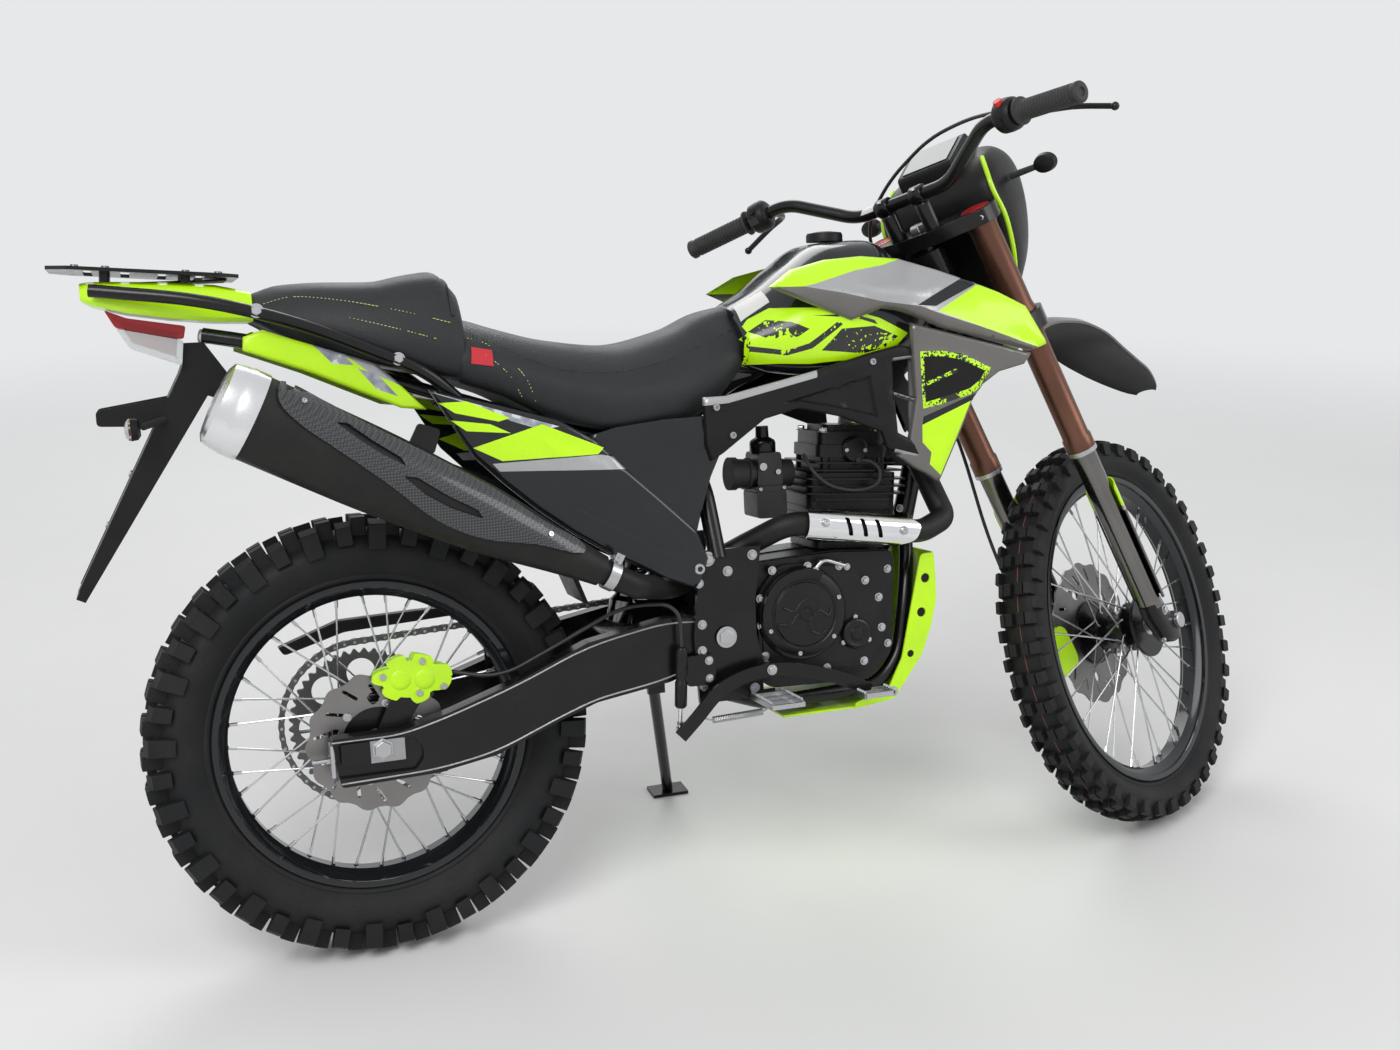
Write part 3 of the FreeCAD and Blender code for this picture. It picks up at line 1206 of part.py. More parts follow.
def fork_spots(height):
    """Centres of both fork legs at one height along the steering axis."""
    return [Vector(S.leg_lead, side * S.leg_side, height) for side in SIDES]


def triple_clamps():
    """Upper and lower fork clamps on the steering stem."""
    plan_shares = ((-0.030, 0.03), (-0.004, 0.125), (0.030, 0.134), (0.062, 0.120),
                   (0.062, 0.068), (0.040, 0.05))
    made = body("triple_clamps", STEERED)
    for name, low, thick in (("lower", S.clamp_low, S.clamp_thick),
                             ("upper", S.clamp_top, S.clamp_top_thick)):
        drawn = sketch(made, f"{name}_sketch", "XY_Plane", low)
        polygon(drawn, mirrored(grid_points(plan_shares)))
        for side in SIDES:
            circle(drawn, S.leg_lead, S.leg_side * side, S.tube_rad + S.seat_gap)
        feature(made, "Pad", f"{name}_clamp", drawn, thick)
    drawn = sketch(made, "stem_sketch", "XY_Plane", S.clamp_low)
    circle(drawn, 0, 0, S.stem_rad)
    feature(made, "Pad", "stem", drawn, S.clamp_top - S.clamp_low + S.clamp_top_thick * 1.5)


def fork_tubes():
    """Outer fork tubes held by the clamps."""
    made = body("fork_tubes", STEERED)
    drawn = sketch(made, "tube_sketch", "XY_Plane", S.tube_low)
    for side in SIDES:
        circle(drawn, S.leg_lead, S.leg_side * side, S.tube_rad)
    feature(made, "Pad", "tubes", drawn, S.tube_high - S.tube_low)


def fork_legs():
    """Inner fork legs with the castings that hold the axle."""
    shapes = []
    for centre in fork_spots(0):
        top = centre + Vector(0, 0, S.tube_low - S.seat_gap)
        shapes.append(rod(centre + Vector(0, 0, S.foot_top / 2), top, S.stanchion_rad))
        low = Vector(centre.x - S.stanchion_rad, centre.y - S.foot_half, -S.foot_low)
        shapes.append(Part.makeBox(S.stanchion_rad * 2 + S.leg_lead, S.foot_half * 2,
                                   S.foot_low + S.foot_top, low))
    whole = Part.makeCompound([joined(shapes[:2]), joined(shapes[2:])])
    across = S.leg_side * 2
    bore = rod(Vector(S.axle_lead, -across, 0), Vector(S.axle_lead, across, 0),
               S.axle_rad + S.pin_gap)
    shaped("fork_legs", STEERED, whole.cut(bore))


def fork_guards():
    """Guards in front of the inner fork legs."""
    shapes = []
    for centre in fork_spots(0):
        low = centre + Vector(0, 0, S.foot_top + S.seat_gap)
        high = centre + Vector(0, 0, S.tube_low - S.guard_drop)
        ring_shape = rod(low, high, S.guard_rad).cut(rod(low, high, S.guard_rad - S.guard_wall))
        reach = S.guard_rad * 2
        keep = Part.makeBox(reach, reach * 2, GRID, centre + Vector(0, -reach, 0))
        shapes.append(ring_shape.common(keep))
    shaped("fork_guards", STEERED, Part.makeCompound(shapes))


def front_axle():
    """Front axle with its spacers and end nut."""
    centre = Vector(S.axle_lead, 0, 0)
    casting_in, casting_out = S.leg_side - S.foot_half, S.leg_side + S.foot_half
    end = casting_out + S.nut_wide
    shapes = [rod(centre - AXIS_Y * end, centre + AXIS_Y * end, S.axle_rad)]
    for side in SIDES:
        shapes.append(rod(centre + AXIS_Y * (side * (S.front_hub_half + S.run_gap)),
                          centre + AXIS_Y * (side * (casting_in - S.seat_gap)), S.spacer_rad))
        shapes.append(rod(centre + AXIS_Y * (side * (casting_out + S.seat_gap)),
                          centre + AXIS_Y * (side * (end - S.seat_gap)), S.nut_rad))
    shaped("front_axle", STEERED, joined(shapes))


def front_caliper():
    """Front brake caliper behind the left fork leg."""
    block = box((-0.098, 0.044, -0.005), (-0.032, 0.088, 0.080))
    slot_half = S.disc_wide / 2 + S.run_gap + S.seat_gap
    reach = S.front_disc_rad + S.run_gap + S.seat_gap
    slot = Part.makeCylinder(reach, slot_half * 2,
                             Vector(S.axle_lead, S.front_disc_out - slot_half, 0), AXIS_Y)
    bracket = box((-0.05, 0.0785, 0.005), (0.0077, 0.088, 0.050))
    shaped("front_caliper", STEERED, block.cut(slot).fuse(bracket))


def front_fender():
    """High front fender under the lower clamp."""
    side_shares = ((0.005, 0.588), (0.06, 0.5925), (0.15, 0.585), (0.25, 0.547), (0.321, 0.495),
                   (0.366, 0.443), (0.43, 0.375), (0.502, 0.285), (0.495, 0.280),
                   (0.42, 0.365), (0.355, 0.432), (0.31, 0.482), (0.243, 0.530),
                   (0.15, 0.567), (0.06, 0.576), (0.005, 0.572))
    plan_shares = ((0.0, 0.050), (0.10, 0.062), (0.30, 0.070), (0.43, 0.058), (0.51, 0.022))
    side = side_solid(side_shares, -GRID * 0.08, GRID * 0.08)
    half = [Vector(x * GRID, y * GRID, 0) for x, y in plan_shares]
    other = [Vector(x * GRID, -y * GRID, 0) for x, y in reversed(plan_shares)]
    plan = Part.Face(Part.makePolygon(half + other + half[:1])).extrude(Vector(0, 0, GRID))
    post_low = Vector(S.leg_lead, 0, S.clamp_low - S.stator_wide)
    post = rod(post_low, Vector(S.leg_lead, 0, S.clamp_low - S.seat_gap), S.nut_rad)
    shaped("front_fender", STEERED, side.common(plan).fuse(post))


def handlebar():
    """Handlebar with its clamps on the upper fork clamp."""
    half_shares = ((-0.078, 0.395, 0.950), (-0.026, 0.205, 0.955), (-0.012, 0.095, 0.885))
    left = grid_path(half_shares)
    right = [Vector(point.x, -point.y, point.z) for point in reversed(left)]
    bend_share, long_share = 0.2, 0.118
    shapes = [pipe(left + right, S.bar_rad, bend_share)]
    top = S.clamp_top + S.clamp_top_thick + S.seat_gap
    bar_z = left[-1].z
    for side in SIDES:
        low = Vector(left[-1].x, side * S.riser_rad * 2.5, top)
        shapes.append(rod(low, Vector(low.x, low.y, bar_z + S.bar_rad * 1.6), S.riser_rad))
    shaped("handlebar", STEERED, joined(shapes))
    start, end = left[0], left[1]
    along = start - end
    along.normalize()
    gap = S.bar_rad + S.seat_gap
    inner = start - along * (GRID * long_share)
    outer = start + along * S.stand_foot_thick
    grip = rod(inner, outer, S.grip_rad).cut(rod(inner, start + along * S.seat_gap, gap))
    shaped("grips", STEERED, pair(grip))


def controls():
    """Switch housings and the two levers."""
    bar_start, bar_end = spot(-0.078, 0.395, 0.950), spot(-0.026, 0.205, 0.955)
    along = bar_start - bar_end
    along.normalize()
    low, high = bar_end + along * (GRID * 0.036), bar_end + along * (GRID * 0.072)
    pod = rod(low, high, S.tube_rad).cut(rod(low - along, high + along, S.bar_rad + S.seat_gap))
    start = low + along * (S.tube_rad / 2) + Vector(S.tube_rad * 0.6, 0, 0)
    path = [start, spot(0.045, 0.275, 0.928), spot(0.045, 0.385, 0.893)]
    lever = pipe(path, S.lever_rad)
    shaped("controls", STEERED, pair(pod.fuse(lever)))


def front_brake_hose():
    """Brake hose from the right lever's housing, over the clamps and down the left leg."""
    path_shares = ((-0.0160, -0.2385, 0.9600), (0.030, -0.150, 0.964), (0.045, -0.060, 0.957),
                   (0.050, 0.050, 0.915), (0.046, 0.1335, 0.850), (0.046, 0.1335, 0.45),
                   (-0.010, 0.130, 0.26), (-0.060, 0.100, 0.150), (-0.060, 0.0685, 0.0822))
    hose("front_brake_hose", STEERED, grid_path(path_shares))


def headlight_mask():
    """Mask around the headlight, in front of the fork."""
    side_shares = ((0.0623, 0.640), (0.110, 0.628), (0.195, 0.705), (0.245, 0.830),
                   (0.235, 0.885), (0.190, 0.898), (0.120, 0.880), (0.0623, 0.844))
    front_shares = ((0.060, 0.620), (0.100, 0.690), (0.122, 0.790), (0.112, 0.870),
                    (0.080, 0.905))
    side = side_solid(side_shares, -GRID * 0.13, GRID * 0.13)
    half = [Vector(0, y * GRID, z * GRID) for y, z in front_shares]
    other = [Vector(0, -y * GRID, z * GRID) for y, z in reversed(front_shares)]
    front = Part.Face(Part.makePolygon(half + other + half[:1])).extrude(Vector(GRID, 0, 0))
    shaped("headlight_mask", STEERED, side.common(front))


def instrument():
    """Instrument housing behind the mask."""
    side_shares = ((0.085, 0.8588), (0.120, 0.8806), (0.185, 0.8973), (0.168, 0.930),
                   (0.085, 0.905))
    made = body("instrument", STEERED)
    slab(made, "housing", -GRID * 0.055, GRID * 0.055, grid_points(side_shares))


def front_lights():
    """Headlight lens in the front of the mask and the turn indicators on their stalks."""
    lens_shares = ((0.2005, 0.7175), (0.2455, 0.8275), (0.253, 0.823), (0.210, 0.715))
    lens = side_solid(lens_shares, -GRID * 0.075, GRID * 0.075)
    low, high = spot(0.140, 0.1178, 0.835), spot(0.140, 0.165, 0.835)
    lamp = rod(low, high, S.lever_rad).fuse(box((0.122, 0.16, 0.818), (0.158, 0.205, 0.852)))
    shaped("front_lights", STEERED, Part.makeCompound([lens, lamp, mirror(lamp)]))


# Whole machine

for build in (rear_wheel, front_wheel, frame, swingarm, rear_axle, shock_absorber, chain,
              drive_sprocket, chain_guard, crankcase, engine_covers, cylinder, carburettor,
              air_box, exhaust_header, header_shield, muffler, fuel_tank, seat, shrouds,
              side_covers, tail, rack_plate, skid_plate, foot_pegs, foot_controls,
              rear_master_cylinder, rear_caliper, rear_brake_hose, side_stand, triple_clamps, fork_tubes,
              fork_legs, fork_guards, front_axle, front_caliper, front_fender, handlebar,
              controls, front_brake_hose, headlight_mask, front_lights, instrument):
    build()

for made, place in MADE:
    made.Placement = place
DOC.recompute()


def whole_box():
    """Box around every sub-part at its place."""
    total = FreeCAD.BoundBox()
    for made, _ in MADE:
        total.add(made.Shape.optimalBoundingBox(False))
    return total


reach = whole_box()
CENTRE = moved(-(reach.XMin + reach.XMax) / 2, -(reach.YMin + reach.YMax) / 2, 0)
for made, place in MADE:
    made.Placement = CENTRE * place
DOC.recompute()

for made, _ in MADE:
    if "Invalid" in made.State or "Error" in made.State:
        raise RuntimeError(f"{made.Label} did not build: {made.State}")
    if made.Shape.isNull() or not made.Shape.isValid():
        raise RuntimeError(f"{made.Label} has no valid shape")
    made.Shape.exportStep(f"parts/{made.Label}.step")
    print("part", made.Label, "solids", len(made.Shape.Solids), "volume", round(made.Shape.Volume))

PIVOT, FOOT, HINGE = stand_spots()
LEG = STAND.inverse().multVec(FOOT) - PIVOT
for title, place in (("stand", STAND), ("steered", STEERED), ("rear_wheel", REAR_WHEEL),
                     ("front_wheel", FRONT_WHEEL), ("fork", STAND * FORK)):
    whole = CENTRE * place
    print("place", title, tuple(whole.Base), tuple(whole.Rotation.Q))
print("hinge", tuple(PIVOT), tuple(HINGE), math.degrees(LEG.getAngle(FOLDED)))
print("box", reach)
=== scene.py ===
"""Looks of a dual sport motorcycle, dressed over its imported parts.

Lengths are metres. Every sub-assembly is drawn in the upright machine or in its fork and wheels,
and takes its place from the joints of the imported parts.
"""

import json
import logging
import math
from dataclasses import dataclass
from enum import Enum
from typing import Callable, Optional, Sequence

import bpy
import numpy as np
from mathutils import Matrix, Vector, geometry
from mathutils.bvhtree import BVHTree

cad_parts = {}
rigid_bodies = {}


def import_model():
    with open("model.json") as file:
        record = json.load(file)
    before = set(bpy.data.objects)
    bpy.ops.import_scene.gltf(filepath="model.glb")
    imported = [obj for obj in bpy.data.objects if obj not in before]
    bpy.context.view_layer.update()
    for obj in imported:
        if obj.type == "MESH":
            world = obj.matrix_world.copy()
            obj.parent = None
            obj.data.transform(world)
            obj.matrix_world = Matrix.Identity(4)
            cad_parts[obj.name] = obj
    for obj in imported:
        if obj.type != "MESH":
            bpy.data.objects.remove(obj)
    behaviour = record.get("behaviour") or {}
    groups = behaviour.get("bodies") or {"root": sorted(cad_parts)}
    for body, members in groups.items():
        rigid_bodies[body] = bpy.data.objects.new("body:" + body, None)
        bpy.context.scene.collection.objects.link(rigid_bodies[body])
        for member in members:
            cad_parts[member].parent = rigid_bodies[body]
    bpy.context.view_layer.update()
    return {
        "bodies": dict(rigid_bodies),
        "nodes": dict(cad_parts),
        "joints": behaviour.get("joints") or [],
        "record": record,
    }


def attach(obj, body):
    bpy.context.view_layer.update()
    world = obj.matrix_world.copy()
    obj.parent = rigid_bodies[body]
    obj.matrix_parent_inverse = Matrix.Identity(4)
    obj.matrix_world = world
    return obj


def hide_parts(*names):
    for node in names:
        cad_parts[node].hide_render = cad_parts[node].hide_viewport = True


Point = tuple[float, float, float]
Flat = tuple[float, float]
Colour = tuple[float, float, float]

log = logging.getLogger("motorcycle")


class Side(Enum):
    """Side of the machine, as the sign of its Y."""

    LEFT = 1
    RIGHT = -1


class Body(Enum):
    """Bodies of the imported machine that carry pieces."""

    CHASSIS = "chassis"
    STEERING = "steering"
    FRONT_WHEEL = "front_wheel"
    REAR_WHEEL = "rear_wheel"


class Slot(Enum):
    """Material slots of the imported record."""

    TYRE_RUBBER = "tyre_rubber"
    BLACK_RIM = "black_rim"
    BRIGHT_STEEL = "bright_steel"
    CHROME = "chrome"
    BLACK_STEEL = "black_steel"
    BLACK_ALLOY = "black_alloy"
    ALLOY = "alloy"
    BRONZE = "bronze_anodised"
    NEON = "neon_paint"
    GREY = "grey_plastic"
    GLOSS_BLACK = "gloss_black"
    MATTE_BLACK = "matte_black"
    SEAT = "seat_vinyl"
    GRIP = "grip_rubber"
    RED_LENS = "red_lens"
    CLEAR_LENS = "clear_lens"
    SPRING = "spring_steel"


# Finishes

class NodeTree:
    """Short hand for placing and linking shader nodes."""

    def __init__(self, tree: bpy.types.NodeTree) -> None:
        """Keep the tree that is drawn in."""
        self.tree = tree

    def add(self, kind: str, inputs: Optional[dict] = None, **settings: object) -> bpy.types.Node:
        """Place a node.

        Args:
            kind: node type, without its ShaderNode prefix.
            inputs: values or sockets for the node's inputs, by name or index.
            settings: properties of the node.

        Returns:
            The new node.
        """
        node = self.tree.nodes.new(kind if kind.startswith("NodeGroup") else "ShaderNode" + kind)
        for name, value in settings.items():
            setattr(node, name, value)
        for name, value in (inputs or {}).items():
            if isinstance(value, bpy.types.NodeSocket):
                self.tree.links.new(value, node.inputs[name])
            else:
                node.inputs[name].default_value = value
        return node


def new_group(name: str, inputs: Sequence[tuple], outputs: Sequence[tuple]) -> tuple:
    """Make an empty shader node group with named sockets.

    Args:
        name: name of the group.
        inputs: name, socket kind and default of each input.
        outputs: name and socket kind of each output.

    Returns:
        The group, its drawing helper, its input node and its output node.
    """
    tree = bpy.data.node_groups.new(name, "ShaderNodeTree")
    for label, kind, default in inputs:
        socket = tree.interface.new_socket(label, in_out="INPUT", socket_type="NodeSocket" + kind)
        socket.default_value = default
    for label, kind in outputs:
        tree.interface.new_socket(label, in_out="OUTPUT", socket_type="NodeSocket" + kind)
    return tree, NodeTree(tree), tree.nodes.new("NodeGroupInput"), tree.nodes.new("NodeGroupOutput")


class Effects:
    """Shader node groups that the finishes share, each built once."""

    def __init__(self) -> None:
        """Build every group."""
        self.mottle = self._mottle()
        self.smudge = self._smudge()
        self.grain = self._grain()
        self.brushing = self._brushing()
        self.dust = self._dust()
        self.speckle = self._speckle()
        self.weave = self._weave()

    @staticmethod
    def _mottle() -> bpy.types.NodeTree:
        """Cloudy change between two colours.

        Returns:
            Group with the output Color.
        """
        tree, draw, start, end = new_group(
            "Mottle", (("First", "Color", (1, 1, 1, 1)), ("Second", "Color", (0, 0, 0, 1)),
                       ("Scale", "Float", 30.0), ("Amount", "Float", 0.5)), (("Color", "Color"),))
        place = draw.add("TexCoord")
        noise = draw.add("TexNoise", {"Vector": place.outputs["Object"],
                                      "Scale": start.outputs["Scale"], "Detail": 6.0})
        spread = draw.add("MapRange", {"Value": noise.outputs["Fac"], "From Min": 0.35,
                                       "From Max": 0.65})
        share = draw.add("Math", {0: spread.outputs["Result"], 1: start.outputs["Amount"]},
                         operation="MULTIPLY")
        mix = draw.add("Mix", {"Factor": share.outputs[0], 6: start.outputs["First"],
                               7: start.outputs["Second"]}, data_type="RGBA")
        tree.links.new(mix.outputs[2], end.inputs["Color"])
        return tree

    @staticmethod
    def _smudge() -> bpy.types.NodeTree:
        """Roughness that drifts between two values, with fine scratches.

        Returns:
            Group with the output Roughness.
        """
        tree, draw, start, end = new_group(
            "Smudge", (("Low", "Float", 0.2), ("High", "Float", 0.4), ("Scale", "Float", 12.0)),
            (("Roughness", "Float"),))
        place = draw.add("TexCoord")
        broad = draw.add("TexNoise", {"Vector": place.outputs["Object"],
                                      "Scale": start.outputs["Scale"], "Detail": 4.0})
        fine = draw.add("TexNoise", {"Vector": place.outputs["Object"], "Scale": 420.0,
                                     "Detail": 2.0})
        both = draw.add("Mix", {0: 0.25, 2: broad.outputs["Fac"], 3: fine.outputs["Fac"]})
        value = draw.add("MapRange", {"Value": both.outputs[0], "From Min": 0.3, "From Max": 0.7,
                                      "To Min": start.outputs["Low"],
                                      "To Max": start.outputs["High"]})
        tree.links.new(value.outputs["Result"], end.inputs["Roughness"])
        return tree

    @staticmethod
    def _grain() -> bpy.types.NodeTree:
        """Fine moulded grain as a normal.

        Returns:
            Group with the output Normal.
        """
        tree, draw, start, end = new_group(
            "Grain", (("Scale", "Float", 900.0), ("Depth", "Float", 0.1)),
            (("Normal", "Vector"),))
        place = draw.add("TexCoord")
        cells = draw.add("TexVoronoi", {"Vector": place.outputs["Object"],
                                        "Scale": start.outputs["Scale"]})
        noise = draw.add("TexNoise", {"Vector": place.outputs["Object"],
                                      "Scale": start.outputs["Scale"], "Detail": 3.0})
        both = draw.add("Math", {0: cells.outputs["Distance"], 1: noise.outputs["Fac"]},
                        operation="ADD")
        bump = draw.add("Bump", {"Height": both.outputs[0], "Strength": start.outputs["Depth"],
                                 "Distance": 0.0006})
        tree.links.new(bump.outputs["Normal"], end.inputs["Normal"])
        return tree

    @staticmethod
    def _brushing() -> bpy.types.NodeTree:
        """Long fine lines of brushed or machined metal as a normal.

        Returns:
            Group with the output Normal.
        """
        tree, draw, start, end = new_group(
            "Brushing", (("Scale", "Float", 60.0), ("Stretch", "Vector", (1, 40, 1)),
                         ("Depth", "Float", 0.05)), (("Normal", "Vector"),))
        place = draw.add("TexCoord")
        drawn = draw.add("Mapping", {"Vector": place.outputs["Object"],
                                     "Scale": start.outputs["Stretch"]})
        noise = draw.add("TexNoise", {"Vector": drawn.outputs["Vector"],
                                      "Scale": start.outputs["Scale"], "Detail": 3.0})
        bump = draw.add("Bump", {"Height": noise.outputs["Fac"],
                                 "Strength": start.outputs["Depth"], "Distance": 0.0004})
        tree.links.new(bump.outputs["Normal"], end.inputs["Normal"])
        return tree

    @staticmethod
    def _dust() -> bpy.types.NodeTree:
        """Road dust over a colour, in patches.

        Returns:
            Group with the output Color.
        """
        tree, draw, start, end = new_group(
            "Dust", (("Color", "Color", (0, 0, 0, 1)), ("Dust", "Color", (0.23, 0.2, 0.17, 1)),
                     ("Amount", "Float", 0.2), ("Scale", "Float", 20.0)), (("Color", "Color"),))
        place = draw.add("TexCoord")
        broad = draw.add("TexNoise", {"Vector": place.outputs["Object"],
                                      "Scale": start.outputs["Scale"], "Detail": 5.0})
        fine = draw.add("TexNoise", {"Vector": place.outputs["Object"], "Scale": 700.0,
                                     "Detail": 2.0})
        both = draw.add("Math", {0: broad.outputs["Fac"], 1: fine.outputs["Fac"]},
                        operation="MULTIPLY")
        patch = draw.add("MapRange", {"Value": both.outputs[0], "From Min": 0.18,
                                      "From Max": 0.4})
        share = draw.add("Math", {0: patch.outputs["Result"], 1: start.outputs["Amount"]},
                         operation="MULTIPLY")
        mix = draw.add("Mix", {"Factor": share.outputs[0], 6: start.outputs["Color"],
                               7: start.outputs["Dust"]}, data_type="RGBA")
        tree.links.new(mix.outputs[2], end.inputs["Color"])
        return tree

    @staticmethod
    def _speckle() -> bpy.types.NodeTree:
        """Worn print: flecks of a second colour, denser in some patches.

        Returns:
            Group with the output Color.
        """
        tree, draw, start, end = new_group(
            "Speckle", (("Color", "Color", (1, 1, 1, 1)), ("Fleck", "Color", (0, 0, 0, 1)),
                        ("Scale", "Float", 260.0), ("Cover", "Float", 0.5)),
            (("Color", "Color"),))
        place = draw.add("TexCoord")
        fine = draw.add("TexNoise", {"Vector": place.outputs["Object"],
                                     "Scale": start.outputs["Scale"], "Detail": 2.0})
        broad = draw.add("TexNoise", {"Vector": place.outputs["Object"], "Scale": 22.0})
        both = draw.add("Math", {0: fine.outputs["Fac"], 1: broad.outputs["Fac"]},
                        operation="MULTIPLY")
        mask = draw.add("Math", {0: both.outputs[0], 1: start.outputs["Cover"]},
                        operation="LESS_THAN")
        mix = draw.add("Mix", {"Factor": mask.outputs[0], 6: start.outputs["Color"],
                               7: start.outputs["Fleck"]}, data_type="RGBA")
        tree.links.new(mix.outputs[2], end.inputs["Color"])
        return tree

    @staticmethod
    def _weave() -> bpy.types.NodeTree:
        """Twill of crossing strands.

        Returns:
            Group with the outputs Color and Roughness.
        """
        tree, draw, start, end = new_group(
            "Weave", (("Dark", "Color", (0.01, 0.01, 0.01, 1)),
                      ("Light", "Color", (0.1, 0.1, 0.1, 1)), ("Scale", "Float", 300.0)),
            (("Color", "Color"), ("Roughness", "Float")))
        place = draw.add("TexCoord")
        turned = draw.add("Mapping", {"Vector": place.outputs["Object"],
                                      "Rotation": (0.0, 0.785, 0.0)})
        check = draw.add("TexChecker", {"Vector": turned.outputs["Vector"],
                                        "Color1": start.outputs["Dark"],
                                        "Color2": start.outputs["Light"],
                                        "Scale": start.outputs["Scale"]})
        tree.links.new(check.outputs["Color"], end.inputs["Color"])
        rough = draw.add("MapRange", {"Value": check.outputs["Fac"], "To Min": 0.25,
                                      "To Max": 0.4})
        tree.links.new(rough.outputs["Result"], end.inputs["Roughness"])
        return tree


def rgba(colour: Colour) -> tuple[float, float, float, float]:
    """Colour with full alpha."""
    return (*colour, 1.0)


@dataclass(frozen=True)
class Finish:
    """Painted, moulded or cast surface: mottled colour, smudged gloss and a grain."""

    name: str
    colour: Colour
    second: Colour
    metallic: float = 0.0
    rough_low: float = 0.3
    rough_high: float = 0.5
    mottle_scale: float = 14.0
    mottle_amount: float = 0.5
    grain_scale: float = 900.0
    grain_depth: float = 0.08
    coat: float = 0.0
    specular: float = 0.5
    dust: float = 0.0
    dust_scale: float = 18.0

    def material(self, effects: Effects) -> bpy.types.Material:
        """Build the material.

        Args:
            effects: the shared node groups.

        Returns:
            The material, ready to assign.
        """
        made = bpy.data.materials.new(self.name)
        made.use_nodes = True
        draw = NodeTree(made.node_tree)
        shader = made.node_tree.nodes["Principled BSDF"]
        shader.inputs["Metallic"].default_value = self.metallic
        shader.inputs["Coat Weight"].default_value = self.coat
        shader.inputs["Specular IOR Level"].default_value = self.specular
        shader.inputs["Coat Roughness"].default_value = 0.06
        self.dress(draw, shader, effects)
        return made

    def colour_socket(self, draw: NodeTree, effects: Effects) -> bpy.types.NodeSocket:
        """Colour with its mottling and dust.

        Args:
            draw: helper of the material's tree.
            effects: the shared node groups.

        Returns:
            Socket that carries the colour.
        """
        base = draw.add("Group", node_tree=effects.mottle)
        base.inputs["First"].default_value = rgba(self.colour)
        base.inputs["Second"].default_value = rgba(self.second)
        base.inputs["Scale"].default_value = self.mottle_scale
        base.inputs["Amount"].default_value = self.mottle_amount
        if not self.dust:
            return base.outputs["Color"]
        dusty = draw.add("Group", node_tree=effects.dust)
        draw.tree.links.new(base.outputs["Color"], dusty.inputs["Color"])
        dusty.inputs["Amount"].default_value = self.dust
        dusty.inputs["Scale"].default_value = self.dust_scale
        return dusty.outputs["Color"]

    def dress(self, draw: NodeTree, shader: bpy.types.Node, effects: Effects) -> None:
        """Link colour, roughness and grain to the shader.

        Args:
            draw: helper of the material's tree.
            shader: the Principled BSDF of the material.
            effects: the shared node groups.
        """
        draw.tree.links.new(self.colour_socket(draw, effects), shader.inputs["Base Color"])
        smudge = draw.add("Group", node_tree=effects.smudge)
        smudge.inputs["Low"].default_value = self.rough_low
        smudge.inputs["High"].default_value = self.rough_high
        draw.tree.links.new(smudge.outputs["Roughness"], shader.inputs["Roughness"])
        grain = draw.add("Group", node_tree=effects.grain)
        grain.inputs["Scale"].default_value = self.grain_scale
        grain.inputs["Depth"].default_value = self.grain_depth
        draw.tree.links.new(grain.outputs["Normal"], shader.inputs["Normal"])


@dataclass(frozen=True)
class BrushedFinish(Finish):
    """Bare metal with fine machining lines."""

    stretch: Point = (1.0, 1.0, 30.0)
    brush_scale: float = 40.0
    brush_depth: float = 0.12

    def dress(self, draw: NodeTree, shader: bpy.types.Node, effects: Effects) -> None:
        """Link as the plain finish does, then lay machining lines over it."""
        super().dress(draw, shader, effects)
        lines = draw.add("Group", node_tree=effects.brushing)
        lines.inputs["Scale"].default_value = self.brush_scale
        lines.inputs["Stretch"].default_value = self.stretch
        lines.inputs["Depth"].default_value = self.brush_depth
        draw.tree.links.new(lines.outputs["Normal"], shader.inputs["Normal"])


@dataclass(frozen=True)
class SpeckledFinish(Finish):
    """Printed plastic with worn flecks of a second ink."""

    fleck: Colour = (0.01, 0.01, 0.01)
    fleck_scale: float = 260.0
    cover: float = 0.22

    def colour_socket(self, draw: NodeTree, effects: Effects) -> bpy.types.NodeSocket:
        """Mottled colour with flecks over it."""
        base = super().colour_socket(draw, effects)
        flecks = draw.add("Group", node_tree=effects.speckle)
        draw.tree.links.new(base, flecks.inputs["Color"])
        flecks.inputs["Fleck"].default_value = rgba(self.fleck)
        flecks.inputs["Scale"].default_value = self.fleck_scale
        flecks.inputs["Cover"].default_value = self.cover
        return flecks.outputs["Color"]


@dataclass(frozen=True)
class WovenFinish(Finish):
    """Clear-coated twill."""

    weave_scale: float = 330.0

    def dress(self, draw: NodeTree, shader: bpy.types.Node, effects: Effects) -> None:
        """Link the strands' colours and gloss."""
        weave = draw.add("Group", node_tree=effects.weave)
        weave.inputs["Dark"].default_value = rgba(self.colour)
        weave.inputs["Light"].default_value = rgba(self.second)
        weave.inputs["Scale"].default_value = self.weave_scale
        draw.tree.links.new(weave.outputs["Color"], shader.inputs["Base Color"])
        draw.tree.links.new(weave.outputs["Roughness"], shader.inputs["Roughness"])
        grain = draw.add("Group", node_tree=effects.grain)
        grain.inputs["Scale"].default_value = self.grain_scale
        grain.inputs["Depth"].default_value = self.grain_depth
        draw.tree.links.new(grain.outputs["Normal"], shader.inputs["Normal"])


@dataclass(frozen=True)
class LensFinish(Finish):
    """Clear or coloured lamp lens."""

    def material(self, effects: Effects) -> bpy.types.Material:
        """Build the material, with light passing through it."""
        made = super().material(effects)
        shader = made.node_tree.nodes["Principled BSDF"]
        shader.inputs["Transmission Weight"].default_value = 0.55
        shader.inputs["IOR"].default_value = 1.49
        return made


